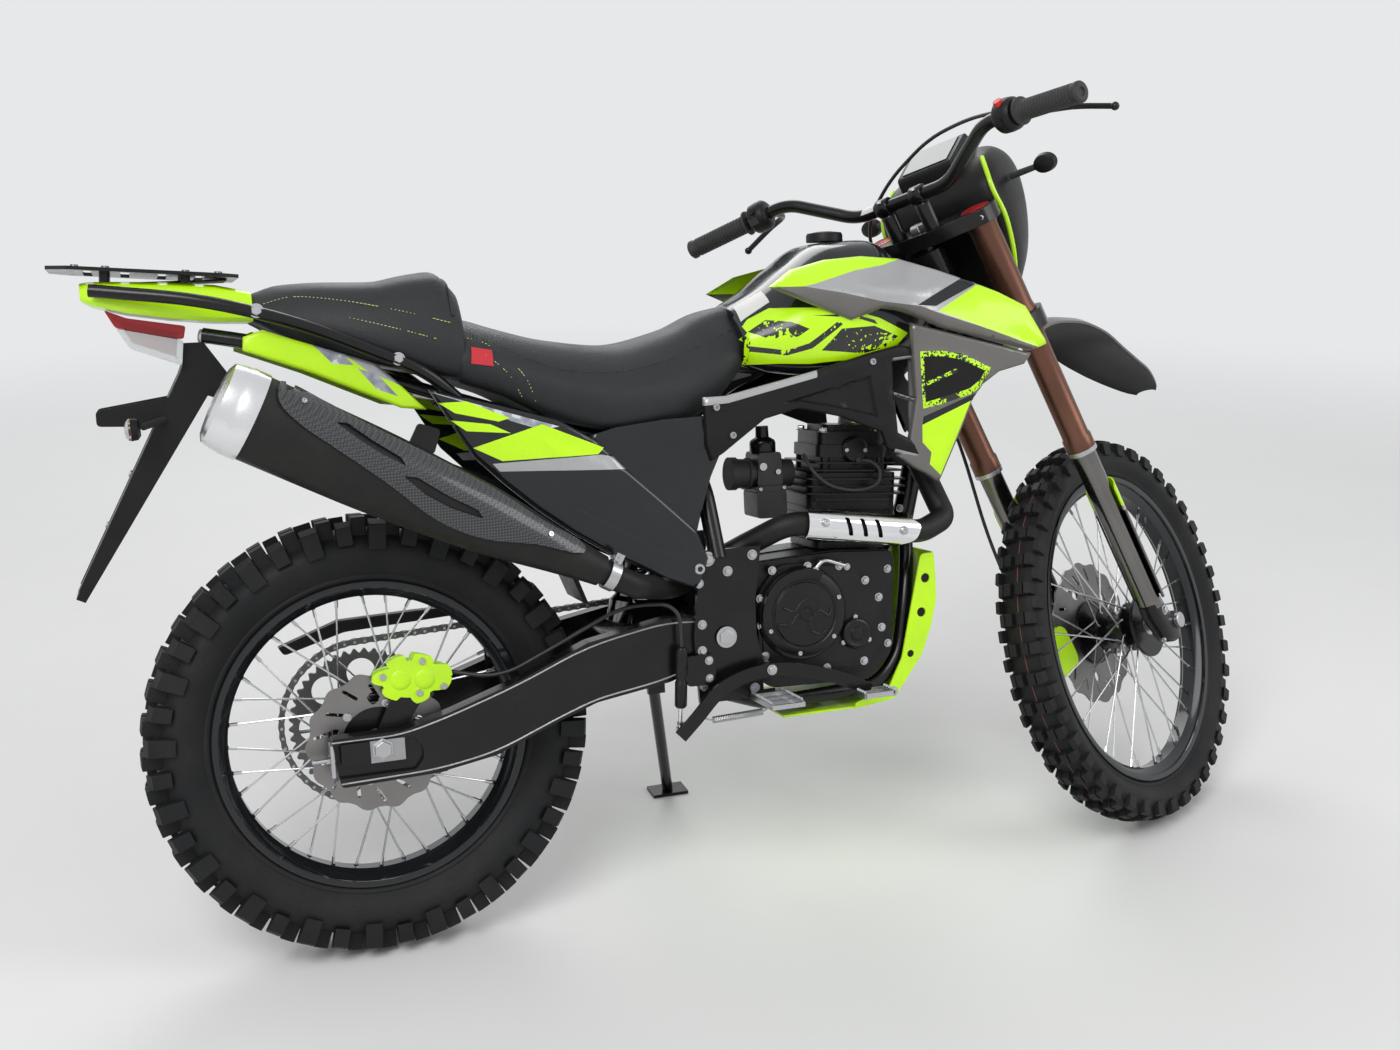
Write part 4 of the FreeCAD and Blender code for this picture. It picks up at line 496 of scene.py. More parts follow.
NEON = Finish("neon_plastic", (0.56, 0.95, 0.0), (0.48, 0.86, 0.0), rough_low=0.25, rough_high=0.4,
              coat=0.35, grain_depth=0.02)
NEON_FLECKED = SpeckledFinish("neon_flecked", (0.56, 0.95, 0.0), (0.48, 0.86, 0.0), rough_low=0.25,
                              rough_high=0.4, coat=0.3, grain_depth=0.02, cover=0.235)
NEON_METAL = Finish("neon_painted_metal", (0.56, 0.95, 0.0), (0.46, 0.84, 0.0), rough_low=0.32,
                    rough_high=0.5, coat=0.15, grain_depth=0.15, dust=0.12)
NEON_ON_BLACK = SpeckledFinish("neon_flecks_on_black", (0.010, 0.010, 0.011),
                               (0.016, 0.016, 0.017), rough_low=0.2, rough_high=0.35, coat=0.3,
                               grain_depth=0.02, fleck=(0.56, 0.95, 0.0), fleck_scale=160.0,
                               cover=0.16)
GUNMETAL = Finish("gunmetal_plastic", (0.145, 0.137, 0.128), (0.165, 0.157, 0.147), metallic=0.35,
                  rough_low=0.28, rough_high=0.42, coat=0.3, grain_depth=0.02)
SILVER_PRINT = Finish("silver_print", (0.42, 0.42, 0.43), (0.36, 0.36, 0.37), metallic=0.4,
                      rough_low=0.3, rough_high=0.42, coat=0.3, grain_depth=0.02)
CAMOUFLAGE = SpeckledFinish("grey_camouflage", (0.45, 0.46, 0.5), (0.2, 0.22, 0.27), rough_low=0.3,
                            rough_high=0.42, mottle_scale=60.0, mottle_amount=1.0, coat=0.3,
                            grain_depth=0.02, fleck=(0.62, 0.66, 0.7), fleck_scale=60.0, cover=0.19)
GLOSS_BLACK = Finish("gloss_black_plastic", (0.008, 0.009, 0.011), (0.013, 0.014, 0.017),
                     rough_low=0.08, rough_high=0.2, coat=0.25, specular=0.35,
                     grain_depth=0.015)
MATTE_BLACK = Finish("matte_black_plastic", (0.006, 0.006, 0.0065), (0.010, 0.010, 0.011),
                     rough_low=0.32, rough_high=0.48, specular=0.22, grain_depth=0.2, dust=0.02)
BLACK_PAINT = Finish("black_powder_coat", (0.003, 0.003, 0.0035), (0.006, 0.006, 0.007),
                     rough_low=0.14, rough_high=0.3, coat=0.1, specular=0.3, grain_depth=0.1,
                     dust=0.02)
ENGINE_BLACK = Finish("engine_black", (0.0035, 0.0035, 0.004), (0.007, 0.007, 0.008),
                      rough_low=0.2, rough_high=0.36, specular=0.32, grain_depth=0.25, dust=0.02)
RUBBER = Finish("tyre_rubber", (0.009, 0.0095, 0.0105), (0.014, 0.015, 0.0165), rough_low=0.48,
                rough_high=0.66, specular=0.2, grain_depth=0.3, dust=0.05, dust_scale=9.0)
TREAD_LINE = Finish("tread_line", (0.25, 0.06, 0.08), (0.12, 0.03, 0.04), rough_low=0.6,
                    rough_high=0.8, mottle_scale=40.0, grain_depth=0.1)
GRIP_RUBBER = Finish("grip_rubber", (0.02, 0.02, 0.02), (0.03, 0.03, 0.03), rough_low=0.55,
                     rough_high=0.75, grain_depth=0.3)
HOSE_RUBBER = Finish("hose_rubber", (0.012, 0.012, 0.012), (0.02, 0.02, 0.02), rough_low=0.35,
                     rough_high=0.5, grain_depth=0.15)
VINYL = Finish("seat_vinyl", (0.0130, 0.0140, 0.0155), (0.0180, 0.0195, 0.0215), rough_low=0.4,
               rough_high=0.55, specular=0.35, grain_scale=620.0, grain_depth=0.55)
STITCH = Finish("seat_thread", (0.55, 0.7, 0.12), (0.6, 0.6, 0.5), rough_low=0.6, rough_high=0.8)
DARK_THREAD = Finish("dark_thread", (0.03, 0.03, 0.03), (0.05, 0.05, 0.05), rough_low=0.6,
                     rough_high=0.8)
RED_TAG = Finish("red_tag", (0.55, 0.02, 0.03), (0.45, 0.02, 0.03), rough_low=0.5, rough_high=0.7,
                 grain_depth=0.4)
RED_METAL = Finish("red_anodised", (0.6, 0.015, 0.02), (0.5, 0.01, 0.02), metallic=0.6,
                   rough_low=0.2, rough_high=0.35, grain_depth=0.05)
RED_PLASTIC = Finish("red_plastic", (0.6, 0.02, 0.02), (0.5, 0.02, 0.02), rough_low=0.3,
                     rough_high=0.45)
WHITE_LABEL = Finish("white_label", (0.72, 0.72, 0.7), (0.66, 0.66, 0.64), rough_low=0.35,
                     rough_high=0.5)
BRONZE = BrushedFinish("bronze_anodised", (0.16, 0.075, 0.05), (0.12, 0.055, 0.04), metallic=0.85,
                       rough_low=0.3, rough_high=0.42, stretch=(1.0, 1.0, 0.3), brush_scale=300.0,
                       brush_depth=0.06)
STEEL = BrushedFinish("bright_steel", (0.52, 0.52, 0.53), (0.42, 0.42, 0.44), metallic=1.0,
                      rough_low=0.22, rough_high=0.4, brush_depth=0.1)
DISC_STEEL = BrushedFinish("disc_steel", (0.25, 0.24, 0.235), (0.19, 0.18, 0.177), metallic=1.0,
                           rough_low=0.3, rough_high=0.46, stretch=(1.0, 40.0, 1.0),
                           brush_scale=80.0, brush_depth=0.16)
SPOKE_STEEL = Finish("spoke_steel", (0.58, 0.58, 0.6), (0.45, 0.45, 0.47), metallic=1.0,
                     rough_low=0.18, rough_high=0.34, grain_depth=0.05)
BRIGHT_ALLOY = BrushedFinish("bright_alloy", (0.78, 0.78, 0.79), (0.68, 0.68, 0.7), metallic=1.0,
                             rough_low=0.2, rough_high=0.32, brush_depth=0.06)
CHROME = Finish("chrome", (0.82, 0.82, 0.84), (0.74, 0.74, 0.76), metallic=1.0, rough_low=0.03,
                rough_high=0.1, grain_depth=0.01)
ALLOY = Finish("cast_alloy", (0.4, 0.4, 0.41), (0.3, 0.3, 0.31), metallic=0.9, rough_low=0.32,
               rough_high=0.5, grain_depth=0.4, dust=0.15)
DARK_STEEL = BrushedFinish("dark_stanchion", (0.2, 0.19, 0.18), (0.15, 0.14, 0.14), metallic=1.0,
                           rough_low=0.12, rough_high=0.22, stretch=(1.0, 1.0, 0.2),
                           brush_scale=200.0, brush_depth=0.04)
# Carburettor castings: the dark grey is painted shade for the shadow under the tank; the dust is
# real.
SHADED_CASTING = Finish("shaded_casting", (0.045, 0.045, 0.048), (0.03, 0.03, 0.032), metallic=0.7,
                      rough_low=0.3, rough_high=0.5, grain_depth=0.3, dust=0.08)
GREY_STEEL = Finish("sprocket_steel", (0.16, 0.16, 0.165), (0.1, 0.1, 0.1), metallic=0.9,
                    rough_low=0.3, rough_high=0.5, grain_depth=0.2, dust=0.15)
HEAT_BLACK = Finish("heat_black", (0.007, 0.007, 0.007), (0.012, 0.0115, 0.011), rough_low=0.34,
                    rough_high=0.52, specular=0.26, grain_depth=0.3, dust=0.03)
CARBON = WovenFinish("clear_coated_twill", (0.010, 0.011, 0.012), (0.06, 0.064, 0.07), coat=0.5,
                     specular=0.35, grain_depth=0.02)
RED_LENS = LensFinish("red_lens", (0.45, 0.01, 0.015), (0.35, 0.01, 0.01), rough_low=0.08,
                      rough_high=0.16, grain_scale=300.0, grain_depth=0.15)
CLEAR_LENS = LensFinish("clear_lens", (0.82, 0.84, 0.85), (0.78, 0.8, 0.82), rough_low=0.05,
                        rough_high=0.12, grain_scale=250.0, grain_depth=0.1)
AMBER_LENS = LensFinish("smoked_amber_lens", (0.10, 0.035, 0.01), (0.06, 0.02, 0.008),
                        rough_low=0.1, rough_high=0.2, grain_scale=300.0, grain_depth=0.15)
REFLECTOR = Finish("lamp_reflector", (0.85, 0.85, 0.86), (0.8, 0.8, 0.82), metallic=1.0,
                   rough_low=0.08, rough_high=0.16, grain_depth=0.02)
FLOOR_GREY = Finish("studio_floor", (0.8, 0.8, 0.79), (0.77, 0.77, 0.76), rough_low=0.6,
                    rough_high=0.75, mottle_scale=1.5, mottle_amount=0.6, grain_depth=0.0)


class Paintbox:
    """Materials of the finishes, each made when it is first asked for."""

    def __init__(self) -> None:
        """Build the shared effects."""
        self.effects = Effects()
        self.made: dict[str, bpy.types.Material] = {}

    def __call__(self, finish: Finish) -> bpy.types.Material:
        """Material of a finish."""
        if finish.name not in self.made:
            self.made[finish.name] = finish.material(self.effects)
        return self.made[finish.name]


# Places of the machine

@dataclass(frozen=True)
class Rig:
    """Frames in which the sub-assemblies are drawn, as the machine rests."""

    bike: Matrix
    fork: Matrix
    rear: Matrix
    front: Matrix

    @classmethod
    def from_joints(cls, joints: Sequence[dict], rake: float = 25.3,
                    axle_up: float = 0.338) -> "Rig":
        """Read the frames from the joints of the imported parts.

        Args:
            joints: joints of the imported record.
            rake: angle of the steering axis from upright, in degrees.
            axle_up: height of the rear axle over the origin of the upright machine.

        Returns:
            The frames.
        """
        found = {joint["name"]: joint for joint in joints}
        steering, rear, front = (found[name] for name in (
            "steering_turn", "rear_wheel_spin", "front_wheel_spin"))
        across, stem = Vector(rear["axis"]), Vector(steering["axis"])
        ahead = Matrix.Rotation(math.radians(rake), 3, across) @ across.cross(stem)
        up = ahead.cross(across)
        axle = Vector(rear["pos_m"])
        spun = Vector(front["axis"])
        return cls(cls.framed(ahead, across, up, axle - up * axle_up),
                   cls.framed(spun.cross(stem), spun, stem, Vector(steering["pos_m"])),
                   cls.framed(ahead, across, up, axle),
                   cls.framed(spun.cross(stem), spun, stem, Vector(front["pos_m"])))

    @staticmethod
    def framed(ahead: Vector, across: Vector, up: Vector, origin: Vector) -> Matrix:
        """Matrix of three axes and an origin.

        Args:
            ahead: X axis.
            across: Y axis.
            up: Z axis.
            origin: origin.

        Returns:
            The matrix.
        """
        rows = [[*(axis[row] for axis in (ahead, across, up)), origin[row]] for row in range(3)]
        return Matrix(rows + [[0.0, 0.0, 0.0, 1.0]])


# Shapes

class Shape:
    """Mesh under construction: points, faces and the finish of each face."""

    def __init__(self) -> None:
        """Start empty."""
        self.points: list[Vector] = []
        self.faces: list[tuple[int, ...]] = []
        self.finishes: list[Finish] = []

    def add(self, points: Sequence, faces: Sequence[Sequence[int]], finish: Finish) -> "Shape":
        """Add points and faces of one finish.

        Args:
            points: new points.
            faces: faces by the index of the new points.
            finish: finish of the new faces.

        Returns:
            This shape.
        """
        start = len(self.points)
        self.points.extend(Vector(point) for point in points)
        self.faces.extend(tuple(start + index for index in face) for face in faces)
        self.finishes.extend([finish] * len(faces))
        return self

    def join(self, *others: "Shape") -> "Shape":
        """Add other shapes to this one.

        Args:
            others: shapes to add.

        Returns:
            This shape.
        """
        for other in others:
            start = len(self.points)
            self.points.extend(other.points)
            self.faces.extend(tuple(start + index for index in face) for face in other.faces)
            self.finishes.extend(other.finishes)
        return self

    def at(self, matrix: Matrix) -> "Shape":
        """Moved copy of the shape.

        Args:
            matrix: where the copy goes.

        Returns:
            The copy.
        """
        made = Shape()
        made.points = [matrix @ point for point in self.points]
        flip = matrix.to_3x3().determinant() < 0
        made.faces = [face[::-1] if flip else face for face in self.faces]
        made.finishes = list(self.finishes)
        return made

    def mirrored(self) -> "Shape":
        """Copy on the other side of the machine."""
        return self.at(Matrix.Scale(-1, 4, Vector((0, 1, 0))))

    def both(self) -> "Shape":
        """The shape and its mirror image."""
        return Shape().join(self, self.mirrored())

    def ring(self, count: int, first: float = 0.0) -> "Shape":
        """Copies around the Y axis.

        Args:
            count: number of copies.
            first: angle of the first copy, in degrees.

        Returns:
            All copies in one shape.
        """
        made = Shape()
        for index in range(count):
            turn = math.radians(first + 360 * index / count)
            made.join(self.at(Matrix.Rotation(turn, 4, "Y")))
        return made


@dataclass(frozen=True)
class Maker:
    """Turns shapes into objects that ride on the bodies of the machine."""

    paint: Paintbox

    def piece(self, name: str, shape: Shape, place: Matrix, body: Body,
              replaces: Sequence[str] = (), bevel: float = 0.0, segments: int = 2,
              sharp: float = 38.0, subdivide: int = 0, slot: Optional[Slot] = None,
              ) -> bpy.types.Object:
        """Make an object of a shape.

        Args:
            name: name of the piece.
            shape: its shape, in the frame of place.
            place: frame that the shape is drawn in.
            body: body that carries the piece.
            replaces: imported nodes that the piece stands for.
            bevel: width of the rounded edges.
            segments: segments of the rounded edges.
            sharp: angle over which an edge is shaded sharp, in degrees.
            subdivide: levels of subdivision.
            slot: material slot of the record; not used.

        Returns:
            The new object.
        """
        mesh = bpy.data.meshes.new(name)
        mesh.from_pydata([tuple(place @ point) for point in shape.points], [], shape.faces)
        order: dict[str, int] = {}
        for finish in shape.finishes:
            if finish.name not in order:
                order[finish.name] = len(order)
                mesh.materials.append(self.paint(finish))
        mesh.polygons.foreach_set("material_index", [order[f.name] for f in shape.finishes])
        mesh.validate()
        mesh.shade_smooth()
        mesh.set_sharp_from_angle(angle=math.radians(sharp))
        made = bpy.data.objects.new(name, mesh)
        bpy.context.scene.collection.objects.link(made)
        if bevel:
            rounded = made.modifiers.new("edges", "BEVEL")
            rounded.width = bevel
            rounded.segments = segments
            rounded.limit_method = "ANGLE"
            rounded.angle_limit = math.radians(sharp)
            rounded.harden_normals = True
        if subdivide:
            smooth = made.modifiers.new("smooth", "SUBSURF")
            smooth.levels = smooth.render_levels = subdivide
        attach(made, body.value)
        if replaces:
            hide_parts(*replaces)
        log.info("%s: %d faces", name, len(shape.faces))
        return made

    def dress(self, frame: dict, finish: Finish, *nodes: str) -> None:
        """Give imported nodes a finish.

        Args:
            frame: the loaded frame.
            finish: the finish.
            nodes: names of the nodes.
        """
        for name in nodes:
            shown = frame["nodes"][name]
            shown.data.materials.clear()
            shown.data.materials.append(self.paint(finish))
            log.info("%s: packed node in %s", name, finish.name)


@dataclass(frozen=True)
class Assembly:
    """Sub-assembly that is drawn in the upright machine and rides on its chassis."""

    maker: Maker
    rig: Rig

    def carrier(self) -> tuple[Matrix, Body]:
        """Frame that the pieces are drawn in, and the body that carries them."""
        return self.rig.bike, Body.CHASSIS

    def put(self, name: str, shape: Shape, *nodes: str, slot: Optional[Slot] = None,
            **settings: float) -> bpy.types.Object:
        """Make a piece of the sub-assembly.

        Args:
            name: name of the piece.
            shape: its shape.
            nodes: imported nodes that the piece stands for.
            slot: material slot of the record.
            settings: bevel, segments, sharp or subdivide of Maker.piece.

        Returns:
            The new object.
        """
        place, body = self.carrier()
        return self.maker.piece(name, shape, place, body, nodes, slot=slot, **settings)


@dataclass(frozen=True)
class SteeredAssembly(Assembly):
    """Sub-assembly that is drawn in the fork and turns with the steering."""

    def carrier(self) -> tuple[Matrix, Body]:
        """Frame that the pieces are drawn in, and the body that carries them."""
        return self.rig.fork, Body.STEERING


def lathe(profile: Sequence[Flat], finish: Finish, segments: int = 64, closed: bool = True,
          ) -> Shape:
    """Revolve a profile about the Y axis.

    Args:
        profile: radius and place along the axis of each corner.
        finish: finish of the surface.
        segments: steps around.
        closed: whether the last corner joins the first.

    Returns:
        The turned shape.
    """
    points, faces, count = [], [], len(profile)
    for step in range(segments):
        turn = 2 * math.pi * step / segments
        points += [(rad * math.sin(turn), along, rad * math.cos(turn)) for rad, along in profile]
    for step in range(segments):
        here, there = step * count, (step + 1) % segments * count
        for index in range(count if closed else count - 1):
            follow = (index + 1) % count
            faces.append((here + index, here + follow, there + follow, there + index))
    return Shape().add(points, faces, finish)


def turned_part(profile: Sequence[Flat], finish: Finish, segments: int = 32) -> Shape:
    """Turned part closed at both ends, from corners in order along the Y axis.

    Args:
        profile: radius and place along the axis of each corner.
        finish: finish of the part.
        segments: number of sides.

    Returns:
        The part.
    """
    low, high = profile[0][1], profile[-1][1]
    return lathe(((0.0, low), *profile, (0.0, high)), finish, segments, closed=False)


def along(start: Sequence[float], end: Sequence[float]) -> Matrix:
    """Frame at a point whose Y axis runs to another point.

    Args:
        start: origin of the frame.
        end: point that its Y axis runs to.

    Returns:
        The frame.
    """
    first = Vector(start)
    way = Vector(end) - first
    return Matrix.Translation(first) @ way.to_track_quat("Y", "Z").to_matrix().to_4x4()


def rod(start: Sequence[float], end: Sequence[float], radius: float, finish: Finish,
        segments: int = 24, tip: Optional[float] = None) -> Shape:
    """Round bar between two points, tapering to a tip radius if given.

    Args:
        start: middle of the first end.
        end: middle of the other end.
        radius: radius of the first end.
        finish: finish of the bar.
        segments: number of sides.
        tip: radius of the other end, if it differs.

    Returns:
        The bar.
    """
    length = (Vector(end) - Vector(start)).length
    profile = ((radius, 0.0), (radius if tip is None else tip, length))
    return turned_part(profile, finish, segments).at(along(start, end))


def bent_path(points: Sequence[Sequence[float]], share: float = 0.45, steps: int = 8,
              ) -> list[Vector]:
    """Round the corners of a path.

    Args:
        points: corners of the path.
        share: share of the shorter run that each bend takes.
        steps: points in each bend.

    Returns:
        Points of the rounded path.
    """
    corners = [Vector(point) for point in points]
    path = [corners[0]]
    for before, corner, after in zip(corners, corners[1:], corners[2:]):
        cut = share * min((before - corner).length, (after - corner).length)
        start = corner + (before - corner).normalized() * cut
        end = corner + (after - corner).normalized() * cut
        for step in range(steps + 1):
            part = step / steps
            path.append(start * (1 - part) ** 2 + corner * 2 * part * (1 - part) + end * part ** 2)
    path.append(corners[-1])
    return path


def tube(path: Sequence[Sequence[float]], radius: float | Sequence[float], finish: Finish,
         sides: int = 16, flat: float = 1.0) -> Shape:
    """Sweep a round or oval section along a path.

    Args:
        path: points of the path.
        radius: radius, or one radius for each point.
        finish: finish of the surface.
        sides: corners of the section.
        flat: share of the second radius of an oval section.

    Returns:
        The closed tube.
    """
    line = [Vector(point) for point in path]
    sizes = [radius] * len(line) if isinstance(radius, float) else list(radius)
    points, faces = [], []
    side = None
    for index, centre in enumerate(line):
        way = (line[min(index + 1, len(line) - 1)] - line[max(index - 1, 0)]).normalized()
        if side is None:
            side = way.orthogonal().normalized()
        side = (side - way * side.dot(way)).normalized()
        up = way.cross(side)
        for corner in range(sides):
            turn = 2 * math.pi * corner / sides
            points.append(centre + side * (math.cos(turn) * sizes[index])
                          + up * (math.sin(turn) * sizes[index] * flat))
    for index in range(len(line) - 1):
        here, there = index * sides, (index + 1) * sides
        for corner in range(sides):
            follow = (corner + 1) % sides
            faces.append((here + corner, here + follow, there + follow, there + corner))
    last = (len(line) - 1) * sides
    faces += [tuple(range(sides))[::-1], tuple(range(last, last + sides))]
    return Shape().add(points, faces, finish)


def loft(rings: Sequence[Sequence[Sequence[float]]], finish: Finish, caps: bool = True) -> Shape:
    """Surface through closed rings of equal count.

    Args:
        rings: points of each ring.
        finish: finish of the surface.
        caps: whether the ends are closed.

    Returns:
        The lofted shape.
    """
    count = len(rings[0])
    points = [point for ring in rings for point in ring]
    faces = []
    for index in range(len(rings) - 1):
        here, there = index * count, (index + 1) * count
        for corner in range(count):
            follow = (corner + 1) % count
            faces.append((here + corner, here + follow, there + follow, there + corner))
    if caps:
        last = (len(rings) - 1) * count
        faces += [tuple(range(count))[::-1], tuple(range(last, last + count))]
    return Shape().add(points, faces, finish)


def block(low: Sequence[float], high: Sequence[float], finish: Finish) -> Shape:
    """Box between two corners, for a bevelled piece."""
    (x0, y0, z0), (x1, y1, z1) = low, high
    points = [(x, y, z) for x in (x0, x1) for y in (y0, y1) for z in (z0, z1)]
    faces = ((0, 1, 3, 2), (4, 6, 7, 5), (0, 4, 5, 1), (2, 3, 7, 6), (0, 2, 6, 4), (1, 5, 7, 3))
    return Shape().add(points, faces, finish)


def circle(centre: Flat, radius: float, count: int = 24, first: float = 0.0) -> list[Flat]:
    """Points of a circle in a flat drawing.

    Args:
        centre: middle of the circle.
        radius: its radius.
        count: number of points.
        first: angle of the first point, in degrees.

    Returns:
        The points in order.
    """
    turns = [math.radians(first) + 2 * math.pi * step / count for step in range(count)]
    return [(centre[0] + radius * math.cos(turn), centre[1] + radius * math.sin(turn))
            for turn in turns]


def rounded(outline: Sequence[Flat], radius: float, steps: int = 4) -> list[Flat]:
    """Round the corners of a closed outline.

    Args:
        outline: corners of the outline.
        radius: length that each corner gives to its bend, along both its edges.
        steps: points in each bend.

    Returns:
        The rounded outline.
    """
    corners = [Vector((*corner, 0.0)) for corner in outline]
    made: list[Flat] = []
    for index, corner in enumerate(corners):
        before, after = corners[index - 1], corners[(index + 1) % len(corners)]
        back, ahead = before - corner, after - corner
        start = corner + back.normalized() * min(radius, back.length * 0.45)
        end = corner + ahead.normalized() * min(radius, ahead.length * 0.45)
        for step in range(steps + 1):
            part = step / steps
            at = start * (1 - part) ** 2 + corner * 2 * part * (1 - part) + end * part ** 2
            made.append((at.x, at.y))
    return made


def divided(outline: Sequence[Flat], step: float, closed: bool = True) -> list[Flat]:
    """Outline, or open line, with no edge longer than a step.

    Args:
        outline: points of the outline or line.
        step: longest edge allowed.
        closed: whether the last point joins the first.

    Returns:
        The denser points.
    """
    made: list[Flat] = []
    for index, (x0, z0) in enumerate(outline if closed else outline[:-1]):
        x1, z1 = outline[(index + 1) % len(outline)]
        parts = max(1, math.ceil(math.hypot(x1 - x0, z1 - z0) / step))
        made += [(x0 + (x1 - x0) * part / parts, z0 + (z1 - z0) * part / parts)
                 for part in range(parts)]
    return made if closed else [*made, tuple(outline[-1])]


def inside(x: float, z: float, outline: Sequence[Flat]) -> bool:
    """Whether a point lies in a closed outline.

    Args:
        x: first coordinate of the point.
        z: second coordinate of the point.
        outline: closed outline.

    Returns:
        True for a point within the outline.
    """
    odd = False
    for index, (x0, z0) in enumerate(outline):
        x1, z1 = outline[index - 1]
        if (z0 > z) != (z1 > z) and x < (x1 - x0) * (z - z0) / (z1 - z0) + x0:
            odd = not odd
    return odd


@dataclass(frozen=True)
class Drawing:
    """Flat outline with holes and painted areas, cut into faces."""

    points: list[Flat]
    faces: list[tuple[int, ...]]
    inks: list[Finish]

    @classmethod
    def of(cls, outline: Sequence[Flat], finish: Finish, holes: Sequence = (),
           marks: Sequence[tuple] = (), lines: Sequence = (), spots: Sequence[Flat] = (),
           ) -> "Drawing":
        """Cut an outline into faces.

        Args:
            outline: closed outline.
            finish: finish outside the painted areas.
            holes: closed outlines cut out.
            marks: pairs of a closed outline and its finish, the first one on top.
            lines: open lines that faces keep to.
            spots: more points inside.

        Returns:
            The drawing.
        """
        flat, edges = [], []
        for loop in [outline, *holes, *[mark for mark, _ in marks]]:
            start = len(flat)
            flat += [Vector(point) for point in loop]
            edges += [(start + index, start + (index + 1) % len(loop))
                      for index in range(len(loop))]
        for line in lines:
            start = len(flat)
            flat += [Vector(point) for point in line]
            edges += [(start + index, start + index + 1) for index in range(len(line) - 1)]
        flat += [Vector(spot) for spot in spots]
        points, _, faces, *_ = geometry.delaunay_2d_cdt(flat, edges, [], 0, 1e-7)
        kept, inks = [], []
        for face in faces:
            x = sum(points[index].x for index in face) / len(face)
            z = sum(points[index].y for index in face) / len(face)
            if inside(x, z, outline) and not any(inside(x, z, hole) for hole in holes):
                kept.append(tuple(face))
                inks.append(next((ink for mark, ink in marks if inside(x, z, mark)), finish))
        used = sorted({index for face in kept for index in face})
        place = {index: number for number, index in enumerate(used)}
        return cls([(points[index].x, points[index].y) for index in used],
                   [tuple(place[index] for index in face) for face in kept], inks)

    def solid(self, outer: Sequence, inner: Sequence, flip: bool = False,
              back: Optional[Finish] = None) -> Shape:
        """Closed solid between an outer and an inner place of every point.

        Args:
            outer: place of each point on the outer face.
            inner: place of each point on the inner face.
            flip: whether the faces run the other way round.
            back: finish of the inner face.

        Returns:
            The solid.
        """
        made, count = Shape(), len(self.points)
        made.points = [Vector(point) for point in [*outer, *inner]]
        border: dict[tuple[int, int], Finish] = {}
        for face, ink in zip(self.faces, self.inks):
            under = tuple(count + index for index in face)
            made.faces += [face if flip else face[::-1], under[::-1] if flip else under]
            made.finishes += [ink, back or ink]
            for first, second in zip(face, face[1:] + face[:1]):
                if (second, first) in border:
                    del border[(second, first)]
                else:
                    border[(first, second)] = ink
        for (first, second), ink in border.items():
            face = (first, second, count + second, count + first)
            made.faces.append(face[::-1] if flip else face)
            made.finishes.append(ink)
        return made


def plate(outline: Sequence[Flat], low: float, high: float, finish: Finish,
          holes: Sequence[Sequence[Flat]] = (), marks: Sequence[tuple] = ()) -> Shape:
    """Flat plate in the side view, with holes and painted areas.

    Args:
        outline: closed outline as x and z.
        low: lower Y of the plate.
        high: higher Y of the plate.
        finish: finish of the plate.
        holes: closed outlines cut out of it.
        marks: pairs of a closed outline and its finish.

    Returns:
        The plate.
    """
    drawn = Drawing.of(outline, finish, holes, marks)
    return drawn.solid([(x, high, z) for x, z in drawn.points],
                       [(x, low, z) for x, z in drawn.points])


def wrapped(outline: Sequence[Flat], place: Callable[[float, float, float], Vector],
            thick: float, finish: Finish, holes: Sequence = (), marks: Sequence[tuple] = (),
            step: float = 0.008) -> Shape:
    """Sheet laid over a surface.

    Args:
        outline: closed outline in the surface's own two measures.
        place: point of the surface from both measures and a depth under it.
        thick: thickness of the sheet.
        finish: finish of the sheet.
        holes: closed outlines cut out of it.
        marks: pairs of a closed outline and its finish.
        step: spacing of the points.

    Returns:
        The sheet.
    """
    border = divided(outline, step)
    drawn = Drawing.of(border, finish, [divided(hole, step) for hole in holes],
                       [(divided(mark, step), ink) for mark, ink in marks],
                       spots=spread(border, step, step * 0.4))
    return drawn.solid([place(u, v, 0.0) for u, v in drawn.points],
                       [place(u, v, thick) for u, v in drawn.points])


def spread(border: Sequence[Flat], step: float, clear: float) -> list[Flat]:
    """Evenly spread points inside an outline, clear of its edge.

    Args:
        border: closed outline.
        step: distance between the points.
        clear: distance kept from the edge.

    Returns:
        The points.
    """
    xs, zs = [x for x, _ in border], [z for _, z in border]
    made = []
    for row in range(int((max(zs) - min(zs)) / step / 0.87) + 2):
        for column in range(int((max(xs) - min(xs)) / step) + 2):
            x = min(xs) + (column + 0.5 * (row % 2)) * step
            z = min(zs) + row * step * 0.87
            if inside(x, z, border) and edge_gap(x, z, border) > clear:
                made.append((x, z))
    return made


def bolt(radius: float, height: float, finish: Finish, washer: bool = True) -> Shape:
    """Hexagon bolt head with its washer, standing up along Y.

    Args:
        radius: radius over the corners of the head.
        height: height of the head.
        finish: finish of the bolt.
        washer: whether a washer lies under it.

    Returns:
        The bolt.
    """
    shape = Shape()
    base = 0.0
    if washer:
        base = height * 0.18
        shape.join(turned_part(((radius * 1.35, 0.0), (radius * 1.35, base)), finish, 20))
    head = ((radius, base), (radius, height * 0.85), (radius * 0.84, height))
    shape.join(turned_part(head, finish, 6))
    return shape


def cap_screw(radius: float, height: float, finish: Finish) -> Shape:
    """Round screw head with a socket, standing up along Y.

    Args:
        radius: radius of the head.
        height: height of the head.
        finish: finish of the screw.

    Returns:
        The screw.
    """
    head = ((radius, 0.0), (radius, height * 0.8), (radius * 0.9, height),
            (radius * 0.5, height), (radius * 0.5, height * 0.4))
    return turned_part(head, finish, 18)


def facing(centre: Sequence[float], way: Sequence[float]) -> Matrix:
    """Frame at a point whose Y axis looks along a direction."""
    start = Vector(centre)
    return along(start, start + Vector(way))


